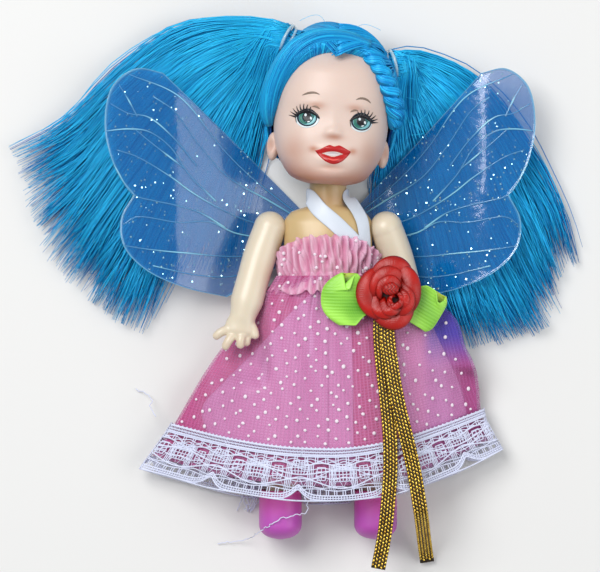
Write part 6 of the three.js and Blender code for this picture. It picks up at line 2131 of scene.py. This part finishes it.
@dataclass
class Bodice:
    """The ruched tube round the chest, the elastic under it and the satin ribbon over the shoulders."""

    trunk: TrunkForm = field(default_factory=TrunkForm)
    top: float = 0.9
    bottom: float = -11.0
    gap: float = 0.35
    columns: int = 480
    rows: int = 50
    spots: int = 70

    def build(self) -> None:
        """Make the ruched cloth, the elastic and the ribbon."""
        self.cloth()
        self.elastic()
        self.ribbon()

    def cloth(self) -> None:
        """A band of cloth gathered into upright ruffles, with a frilled upper edge that dips at the sides."""
        a = circle(self.columns)[None, :]
        t = np.linspace(0, 1, self.rows)[:, None]
        frill = 0.55 * np.sin(a * 27 + 1.2 * np.sin(a * 5)) + 0.35 * np.sin(a * 43 + 2)
        top = self.top - 3.9 * np.abs(np.cos(a)) ** 3 + 0.45 * frill
        y = lerp(top, self.bottom + 0.5 * np.sin(a * 19 + 2 * np.sin(a * 7)), t)
        wander = 1.3 * np.sin(a * 4 + t * 3) + 0.8 * np.sin(a * 9 - t * 5) + 0.9 * np.sin(a * 15 + t * 11)
        ruffle = 0.5 + 0.5 * np.sin(a * 34 + wander)
        second = 0.5 + 0.5 * np.sin(a * 57 - wander * 1.4 + 6 * t)
        free = 0.4 + 0.6 * np.sin(math.pi * np.clip(t / 0.66, 0, 1)) ** 0.7 + 0.5 * np.exp(-t / 0.1)
        waist = 1 - 0.3 * bell(t - 0.66, 0.05)
        flare = ease((t - 0.62) / 0.36) * (1.7 + 1.2 * np.cos(a) ** 2)
        out = self.gap + 0.2 + (0.9 * ruffle + 0.45 * second) * free * waist + 0.5 * np.exp(-t / 0.12) + flare
        middle = self.trunk.ring(y, a, out)
        middle[..., 2] = np.maximum(middle[..., 2], 0.2)
        lie = np.stack([a * 22 + 0 * t, y + 0 * a, 0 * a * t], axis=-1)
        # Painted shade between the ruffles.
        fold = np.clip(0.75 - ruffle * 0.7 - 0.2 * second, 0, 1)
        right_way = unit(middle - np.stack([0 * y, y, np.full_like(y, AXIS_Z)], axis=-1))
        shape = slab(middle, right_way, 0.16, wrap=True, lie=lie, fold=fold, tint=0 * fold)
        made = shape.piece("bodice_ruffle", BODICE, Body.TORSO, ["bodice"])
        spots, rng = [], np.random.default_rng(SEED + 3)
        for _ in range(self.spots):
            r, c = int(rng.integers(4, self.rows - 10)), int(rng.integers(0, self.columns))
            size = float(rng.uniform(0.3, 0.55))
            radii = np.array([size, size * float(rng.uniform(0.7, 1.2)), 0.2 + size * 0.3])
            spots.append(blob(middle[r, c] + right_way[r, c] * 0.12, radii, 8, 6))
        dots = Shape.joined(spots).piece("bodice_dots", DOT, Body.TORSO)

    def elastic(self) -> None:
        """The elastic thread that draws the bodice in at the waist, seen as a puckered line."""
        a = np.linspace(0, TAU, 361)[:-1]
        line = self.trunk.ring(-6.95 + 0.05 * np.sin(a * 30), a, self.gap + 0.1)
        line = np.concatenate([line, line[:2]])
        shape = tube(line, oval(np.full(len(line), 0.2), 0.2, 8), np.array([0, 1.0, 0]))
        shape.piece("waist_elastic", ELASTIC, Body.TORSO, ["bodice_elastic"])

    def on_body(self, x: float, y: float, lift: float) -> tuple[Array, Array]:
        """A place on the front of the torso and the direction out of it."""
        out = 0.3 + lift
        half, depth = float(self.trunk.half(y)), float(self.trunk.depth(y))
        a = math.acos(min(max(x / (half + out), -1), 1))
        way = np.array([math.cos(a) / half, 0.0, math.sin(a) / depth])
        return self.trunk.ring(y, a, out).reshape(3), unit(way)

    def ribbon(self) -> None:
        """The satin ribbon from the bodice round the neck and back to the bodice."""
        right = ((6.6, -1.6, 0.0), (4.5, 0.5, 0.05), (1.5, 3.4, 0.1), (-1.8, 6.3, 0.4))
        left = ((6.1, 6.1, 0.5), (7.1, 4.0, 0.2), (7.6, 1.2, 0.1), (7.8, -2.0, 0.0))
        stops = [self.on_body(*at) for at in right]
        for degrees, facing in ((148, 116), (205, 205), (270, 270), (335, 335), (384, 415)):
            a, f = math.radians(degrees), math.radians(facing)
            way = np.array([math.cos(a), 0.0, math.sin(a)])
            stops.append((np.array([0, 9.0, AXIS_Z]) + way * 4.55, np.array([math.cos(f), 0.0, math.sin(f)])))
        stops += [self.on_body(*at) for at in left]
        both = through(np.array([np.concatenate([at, 3 * way]) for at, way in stops]), 150)
        line, out = both[:, :3], unit(both[:, 3:])
        back, out = squared(line, out)
        t = np.linspace(0, 1, 150)[:, None]
        wide = Profile([(0, 3.4), (0.24, 3.4), (0.38, 2.8), (0.66, 2.6), (0.78, 2.9), (1, 2.9)])(t)
        c = np.linspace(-1, 1, 19)[None, :]
        cup = 0.1 * (1 - c**2) + 0.02 * np.sin(t * 60) * np.abs(c)
        middle = line[:, None] - back[:, None] * (c * wide / 2)[..., None] + out[:, None] * cup[..., None]
        lie = np.stack([c * wide / 2 + 0 * t, t * 46 + 0 * c, 0 * c * t], axis=-1)
        # Painted shade along the ribbon's edges, and a little over all of it.
        fold = np.clip(0.25 * np.abs(c) ** 8 + 0.1 + 0 * t, 0, 1)
        facing = np.broadcast_to(out[:, None], middle.shape)
        shape = slab(middle, facing, 0.18, lie=lie, fold=fold, tint=0 * fold)
        shape.piece("satin_halter", STRAP, Body.TORSO, ["halter_ribbon"])


@dataclass
class Flower:
    """The folded satin rose on the bodice, with its two green ribbon loops."""

    centre: tuple[float, float] = (12.8, -11.05)
    low: float = 16.8
    tall: float = 1.12
    eye: tuple[float, float] = (0.8, -1.3)
    leaf_thick: float = 0.3

    def build(self) -> None:
        """Make the rose and its leaves."""
        self.rose()
        for side, form in LEAVES.items():
            self.leaf(form, side)

    def petal(self, radius: float, high: float, start: float, span: float, fat: float, shift: float) -> Shape:
        """One fold of the ribbon: a broad band that rises from a deep gap, rolls over and runs down outside.

        The band is 2 fat wide, at a radius round the rose's middle and high over its foot. It goes span
        degrees round from start, and is moved towards the rose's eye by the share shift.
        """
        t = np.linspace(0, 1, 96)[:, None]
        c = np.linspace(0, 1, 22)[None, :]
        a = np.radians(start + span * t)
        arch = np.clip(np.sin(math.pi * t), 0, 1) ** 0.62
        roll = c * 1.1 * math.pi
        wide = fat * (0.16 + 0.84 * arch)
        middle_r = radius * (1 + 0.05 * np.sin(3 * a + radius)) - 0.5 * fat * (1 - arch) + 0.3 * t
        r = middle_r - wide * np.cos(roll)
        rib = np.sin(a * radius * 15)
        crease = 0.12 * np.sin(5 * a + 5 * c + radius) * np.sin(math.pi * c)
        z = high + 0.55 * wide * np.sin(roll)
        z = z - 2.8 * np.clip(1 - c / 0.2, 0, 1) - 1.8 * np.clip((c - 0.84) / 0.16, 0, 1)
        z = z + lerp(-0.5, 0.45, t) - 1.7 * (1 - arch) + crease + 0.014 * rib * np.sin(math.pi * c)
        x = r * np.cos(a) + self.eye[0] * shift
        y = r * np.sin(a) * self.tall + self.eye[1] * shift
        middle = np.stack([x + self.centre[0], y + self.centre[1], np.maximum(z, 0.15) + self.low], axis=-1)
        lie = np.stack([c * fat * 3.4 + 0 * t, t * math.radians(span) * radius + 0 * c, 0 * c * t], axis=-1)
        # Painted shade deep in the gap at the fold's foot, down its outside, where it is low, in soft waves
        # and in the grooves of its ribs.
        fold = 1.2 * bell(c, 0.24) + 1.0 * bell(1 - c, 0.2) + 0.8 * (1 - arch)
        fold = fold + 0.2 * np.sin(4 * a + 5 * c + radius) + 0.035 * rib
        return slab(middle, normals_of(middle), 0.22, lie=lie, fold=np.clip(fold, 0, 1), tint=0 * fold)

    def rose(self) -> None:
        """The rose: four broad outer folds, two inner rings of three, a tight spiral and a bud beside it."""
        folds = [self.petal(*spec) for spec in PETALS]
        middle = np.array([*self.centre, self.low])
        bud = blob(middle + [0.1, 0.8, 4.3], np.array([1.75, 1.35, 0.95]), 48, 30)
        wave = np.sin(bud.points[:, 0] * 9 + 3 * np.sin(bud.points[:, 1] * 4))
        bud.points[:, 2] += 0.09 * wave
        # Painted shade in the grooves of the bud's waves; the foot under the folds is all painted shade.
        bud.marks["fold"] = 0.3 + 0.4 * wave
        foot = blob(middle + [0, 0, 1.3], np.array([5.9, 6.5, 1.25]), 40, 20, fold=1.0)
        Shape.joined([*folds, bud, foot]).piece("satin_rose", ROSE, Body.TORSO, ["rose"])

    def leaf(self, form: "LeafForm", side: Side) -> None:
        """One ribbon loop: out from under the rose, round a soft bend and back, open along its upper side."""
        t = np.linspace(0, 1, 110)[:, None]
        c = np.linspace(-1, 1, 70)[None, :]
        swing = t * TAU - math.pi
        out = np.cos(swing / 2) ** 2
        up = -c if side is Side.RIGHT else c
        opened = np.clip(up, 0, 1) ** 1.5
        upper = ease((0.5 - t) / 0.04 + 0.5)
        corner = np.abs(c) ** form.bend
        narrow = lerp(form.waist, 1.0, ease(out / 0.3))
        reach = form.length * out**0.5 * (1 - form.round * corner)
        lift = (form.swell + 0.9 * opened * ease(out * 1.4)) * np.sin(-swing) + form.swell
        notch = form.notch * np.exp(-(np.abs((out - form.notch_at) / form.notch_wide) ** 3)) * opened * upper
        across = c * narrow * form.wide / 2 - np.sign(c) * notch
        a = math.radians(form.turn)
        x = form.root[0] + reach * math.cos(a) - across * math.sin(a)
        y = form.root[1] + reach * math.sin(a) + across * math.cos(a)
        rib = np.sin(across * 9.5)
        ripple = 0.12 * np.sin(c * 5 + out * 4) * upper + 0.03 * rib
        z = form.root[2] + lift + ripple - form.slope * reach
        middle = np.stack([x, y, z], axis=-1)
        lie = np.stack([across + 0 * t, t * 2.2 * form.length + 0 * c, 0 * c * t], axis=-1)
        # Painted shade on the lower layer, near the root under the rose, in soft waves and in the grooves of
        # the ribs, and painted highlights along the rolled edges and at the bend.
        fold = 0.22 + 0.6 * (1 - upper) + 0.5 * (1 - ease(out * 2.0)) + 0.28 * np.sin(c * 3 + 3 * out) * upper
        edges = 0.5 * bell(1 - np.abs(c), 0.05) + 0.4 * bell(1 - out, 0.03)
        fold = np.clip(fold - edges + 0.1 * rib, 0, 1)
        tint = 0.85 * (1 - upper) * opened * bell(out - form.notch_at, 0.3)
        shape = slab(middle, normals_of(middle), self.leaf_thick, lie=lie, fold=fold, tint=tint)
        shape.piece(f"{side.word}_leaf", LEAF, Body.TORSO, [f"{side.word}_leaf_loop"])


@dataclass(frozen=True)
class LeafForm:
    """Where one ribbon leaf starts, the way it points and how it bends."""

    root: tuple[float, float, float]
    turn: float
    length: float
    wide: float
    round: float
    notch: float
    notch_at: float
    notch_wide: float
    bend: float = 2.6
    waist: float = 0.55
    slope: float = 0.0
    swell: float = 0.8


PETALS = (
    (4.75, 2.3, 92, 176, 1.9, 0.0), (4.9, 2.1, 206, 140, 1.75, 0.0), (4.6, 2.5, 296, 142, 1.95, 0.0),
    (4.9, 2.2, 18, 128, 1.75, 0.0), (3.6, 3.2, 24, 176, 1.45, 0.15), (3.5, 3.0, 150, 150, 1.3, 0.35),
    (3.45, 3.3, 262, 150, 1.4, 0.3), (2.45, 3.9, 14, 190, 1.0, 0.3), (2.3, 3.8, 170, 150, 1.0, 0.8),
    (2.2, 4.0, 284, 130, 0.9, 0.9), (1.25, 4.4, 150, 300, 0.6, 1.05), (0.7, 4.3, 20, 330, 0.32, 1.1),
)
LEAVES = {
    Side.RIGHT: LeafForm((9.6, -12.6, 16.9), 178.0, 11.0, 10.8, 0.36, 3.4, 0.62, 0.2),
    Side.LEFT: LeafForm((14.2, -10.6, 16.4), -31.0, 10.6, 8.4, 0.1, 1.9, 0.82, 0.2, bend=5.0, slope=0.3),
}


@dataclass
class Tails:
    """The two flat tails of knitted gold braid that hang from the rose."""

    skirt: SkirtForm = field(default_factory=SkirtForm)
    wide: float = 3.2
    thick: float = 0.45
    over: float = 0.525
    stitch_rows: float = 0.8
    stitch_columns: int = 5
    lean_deg: float = 18.0
    routes = {
        Side.RIGHT: ((11.0, -13.5), (10.8, -19.6), (11.3, -26.0), (12.2, -34.0), (12.8, -41.0), (12.9, -48.0),
                     (12.4, -55.0), (11.7, -61.5), (10.4, -68.6)),
        Side.LEFT: ((12.6, -13.5), (12.3, -19.6), (13.1, -26.0), (14.5, -34.0), (16.2, -41.0), (17.8, -48.0),
                    (18.9, -54.5), (19.9, -61.0), (21.0, -68.0)),
    }

    def route(self, side: Side, count: int) -> Array:
        """A tail's middle line: over the skirt's front and, past the hem, down towards the table."""
        flat = through(np.array(self.routes[side]), count)
        y = np.maximum(flat[:, 1], -54.0)
        tops = [self.skirt.on_front(flat[:, 0] + shift, y, 1.85)[:, 2] for shift in (-1.6, 0.0, 1.6)]
        over = np.max(tops, axis=0) + self.over
        over = np.convolve(np.pad(over, 3, mode="edge"), np.ones(7) / 7, mode="valid") + 0.1
        over = over + (0.95 * ease((flat[:, 1] + 47) / 6) if side is Side.LEFT else 0.0)
        fall = ease((-55.5 - flat[:, 1]) / 13)
        drop = 1.6 if side is Side.RIGHT else over - 1.2
        return np.concatenate([flat, (over - drop * fall)[:, None]], axis=1)

    def build(self) -> None:
        """Make each tail: a dark flat core and rows of bright knitted stitches over it.

        Both are passed to follow_leg with the left leg.
        """
        rng = np.random.default_rng(SEED + 4)
        for side in Side:
            line = self.route(side, 90)
            section = oval(np.full(len(line), self.wide / 2 * 0.94), self.thick / 2, 20, 0.6)
            core = tube(line, section, UP, fold=1.0)
            body = core.piece(f"{side.word}_braid_core", GOLD_DARK, None, [f"{side.word}_gold_tail"])
            stitches = self.stitches(line, rng)
            over = stitches.piece(f"{side.word}_braid", GOLD, None)
            for piece, points in ((body, core.points), (over, stitches.points)):
                follow_leg(piece, Side.LEFT)

    def stitches(self, line: Array, rng: np.random.Generator) -> Shape:
        """Bright stitches in columns on both faces of a tail, leaning by turns to the left and the right."""
        run = run_of(line)
        rows = int(run[-1] / self.stitch_rows)
        made = []
        bead = blob(np.zeros(3), np.array([0.24, 0.42, 0.18]), 6, 5)
        for column in range(self.stitch_columns):
            share = (column + 0.5) / self.stitch_columns * 2 - 1
            for row in range(rows):
                at = (row + 0.5 + 0.5 * (column % 2)) * self.stitch_rows
                if at > run[-1] - 0.3:
                    continue
                centre = np.array([np.interp(at, run, line[:, k]) for k in range(3)])
                k = min(int(np.searchsorted(run, at)), len(line) - 1)
                along = unit(line[k] - line[max(k - 1, 0)])
                rise = unit(UP - along * along[2])
                across = np.cross(along, rise)
                for face in (1, -1):
                    lean = math.radians(self.lean_deg if column % 2 else -self.lean_deg)
                    lean += float(rng.normal(0, 0.12))
                    ca, sa = math.cos(lean), math.sin(lean)
                    frame_of = np.stack([across * ca + along * sa, along * ca - across * sa, rise], axis=0)
                    size = np.array([1.0, float(rng.uniform(0.85, 1.15)), 1.0])
                    place = centre + across * share * (self.wide / 2) * 0.98 + rise * face * self.thick * 0.42
                    points = (bead.points * size) @ frame_of + place
                    made.append(Shape(points, bead.faces, fold=float(np.clip(rng.normal(0.25, 0.22), 0, 1))))
        return Shape.joined(made)


@dataclass
class Threads:
    """Loose white threads that hang from the lace."""

    routes = (
        (30, ((-36.2, -37.2, 4.6), (-37.4, -35.2, 3.4), (-37.2, -33.6, 2.2), (-38.6, -32.4, 1.0),
              (-40.6, -31.4, 0.35))),
        (60, ((-5.0, -53.6, 16.0), (-4.4, -56.4, 14.4), (-7.0, -57.6, 13.3), (-9.6, -58.2, 13.1),
              (-12.0, -59.6, 12.6), (-14.9, -61.6, 8.4), (-17.2, -63.2, 2.0), (-23.3, -64.2, 0.4))),
        (14, ((13.0, -47.8, 15.6), (12.2, -50.4, 15.4), (12.8, -52.4, 15.2))),
    )
    frayed: int = 16

    def build(self) -> None:
        """Make the long threads and the short frayed ends."""
        lines = [through(np.array(route), count) for count, route in self.routes]
        rng = np.random.default_rng(SEED + 5)
        for k in range(self.frayed):
            x = -18.0 + k * 0.55 + float(rng.normal(0, 0.3))
            end = (x + float(rng.normal(0, 1.0)), -57.2 + float(rng.normal(0, 0.8)), 0.5)
            bend = (x + float(rng.normal(0, 0.5)), -54.4, 1.6)
            lines.append(through(np.array([(x, -51.0, 2.8), bend, end]), 12))
        made = []
        for line in lines:
            kink = 0.12 * rng.normal(0, 1, line.shape)
            kink[[0, -1]] = 0
            thread = strands((line + kink)[None], 0.1, np.zeros(1), 6)
            thread.marks = {"fold": np.full(len(thread.points), 0.1)}
            made.append(thread)
        shape = Shape.joined(made)
        follow_leg(shape.piece("loose_threads", LACE, None), Side.RIGHT)


@dataclass
class Stage:
    """The pale floor, the soft light over it and the camera straight above, as the photo was taken."""

    look_at: tuple[float, float] = (-5.88, -9.66)
    away: float = 1000.0
    shows: float = 126.0
    level: float = 8.0
    sensor: float = 36.0
    floor_half: float = 3000.0
    floor_z: float = -0.05
    sky: tuple[float, float, float, float] = (0.9, 0.95, 1.0, 1.0)
    sky_strength: float = 0.36
    aim: tuple[float, float, float] = (-0.006, -0.01, 0.0)

    def build(self) -> None:
        """Make the camera, the floor, the lamps and the world."""
        self.camera()
        self.floor()
        self.lamps()

    def camera(self) -> None:
        """Look straight down with a lens long enough to be free of distortion."""
        data = bpy.data.cameras.new("camera")
        data.sensor_width = self.sensor
        data.lens = self.sensor * (self.away - self.level) / self.shows
        made = bpy.data.objects.new("camera", data)
        made.location = (self.look_at[0] * MM, self.look_at[1] * MM, self.away * MM)
        bpy.context.scene.collection.objects.link(made)
        bpy.context.scene.camera = made

    def floor(self) -> None:
        """A plain pale sheet under the doll."""
        corners = np.array([(x, y, self.floor_z) for x, y in ((-1, -1), (1, -1), (1, 1), (-1, 1))])
        mesh = bpy.data.meshes.new("floor")
        mesh.from_pydata((corners * [self.floor_half, self.floor_half, 1] * MM).tolist(), [], [(0, 1, 2, 3)])
        made = bpy.data.objects.new("floor", mesh)
        bpy.context.scene.collection.objects.link(made)
        made.data.materials.append(Finish("floor", "floor", (0.8, 0.79, 0.77), 0.8).material())

    def lamps(self) -> None:
        """A large soft lamp from the upper left, a weaker one from the right, and an even pale world."""
        world = bpy.data.worlds.new("world")
        bpy.context.scene.world = world
        world.use_nodes = True
        background = world.node_tree.nodes["Background"]
        Graph(world.node_tree).fill(background, color=self.sky, strength=self.sky_strength)
        for name, place, size, power in (
            ("key", (-0.35, 0.35, 0.75), 0.5, 6.4),
            ("fill", (0.6, -0.1, 0.6), 0.6, 2.4),
        ):
            data = bpy.data.lights.new(name, "AREA")
            data.size, data.energy = size, power
            lamp = bpy.data.objects.new(name, data)
            lamp.location = place
            lamp.rotation_euler = (Vector(self.aim) - Vector(place)).to_track_quat("-Z", "Y").to_euler()
            bpy.context.scene.collection.objects.link(lamp)


def main() -> None:
    """Build the stage with its camera, then the cords, the doll and the rest of its dress."""
    logging.basicConfig(level=logging.INFO, format="%(message)s")
    bpy.context.scene.view_settings.view_transform = "Standard"
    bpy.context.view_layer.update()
    Stage().build()
    Tails().build()
    Head().build()
    Hair().build()
    Trunk().build()
    Arm(Side.RIGHT, -10.0).build()
    Arm(Side.LEFT, 10.0).build()
    for side in Side:
        Leg(side).build()
    Wings().build()
    Skirt().build()
    Bodice().build()
    Flower().build()
    Threads().build()


if __name__ == "__main__":
    main()
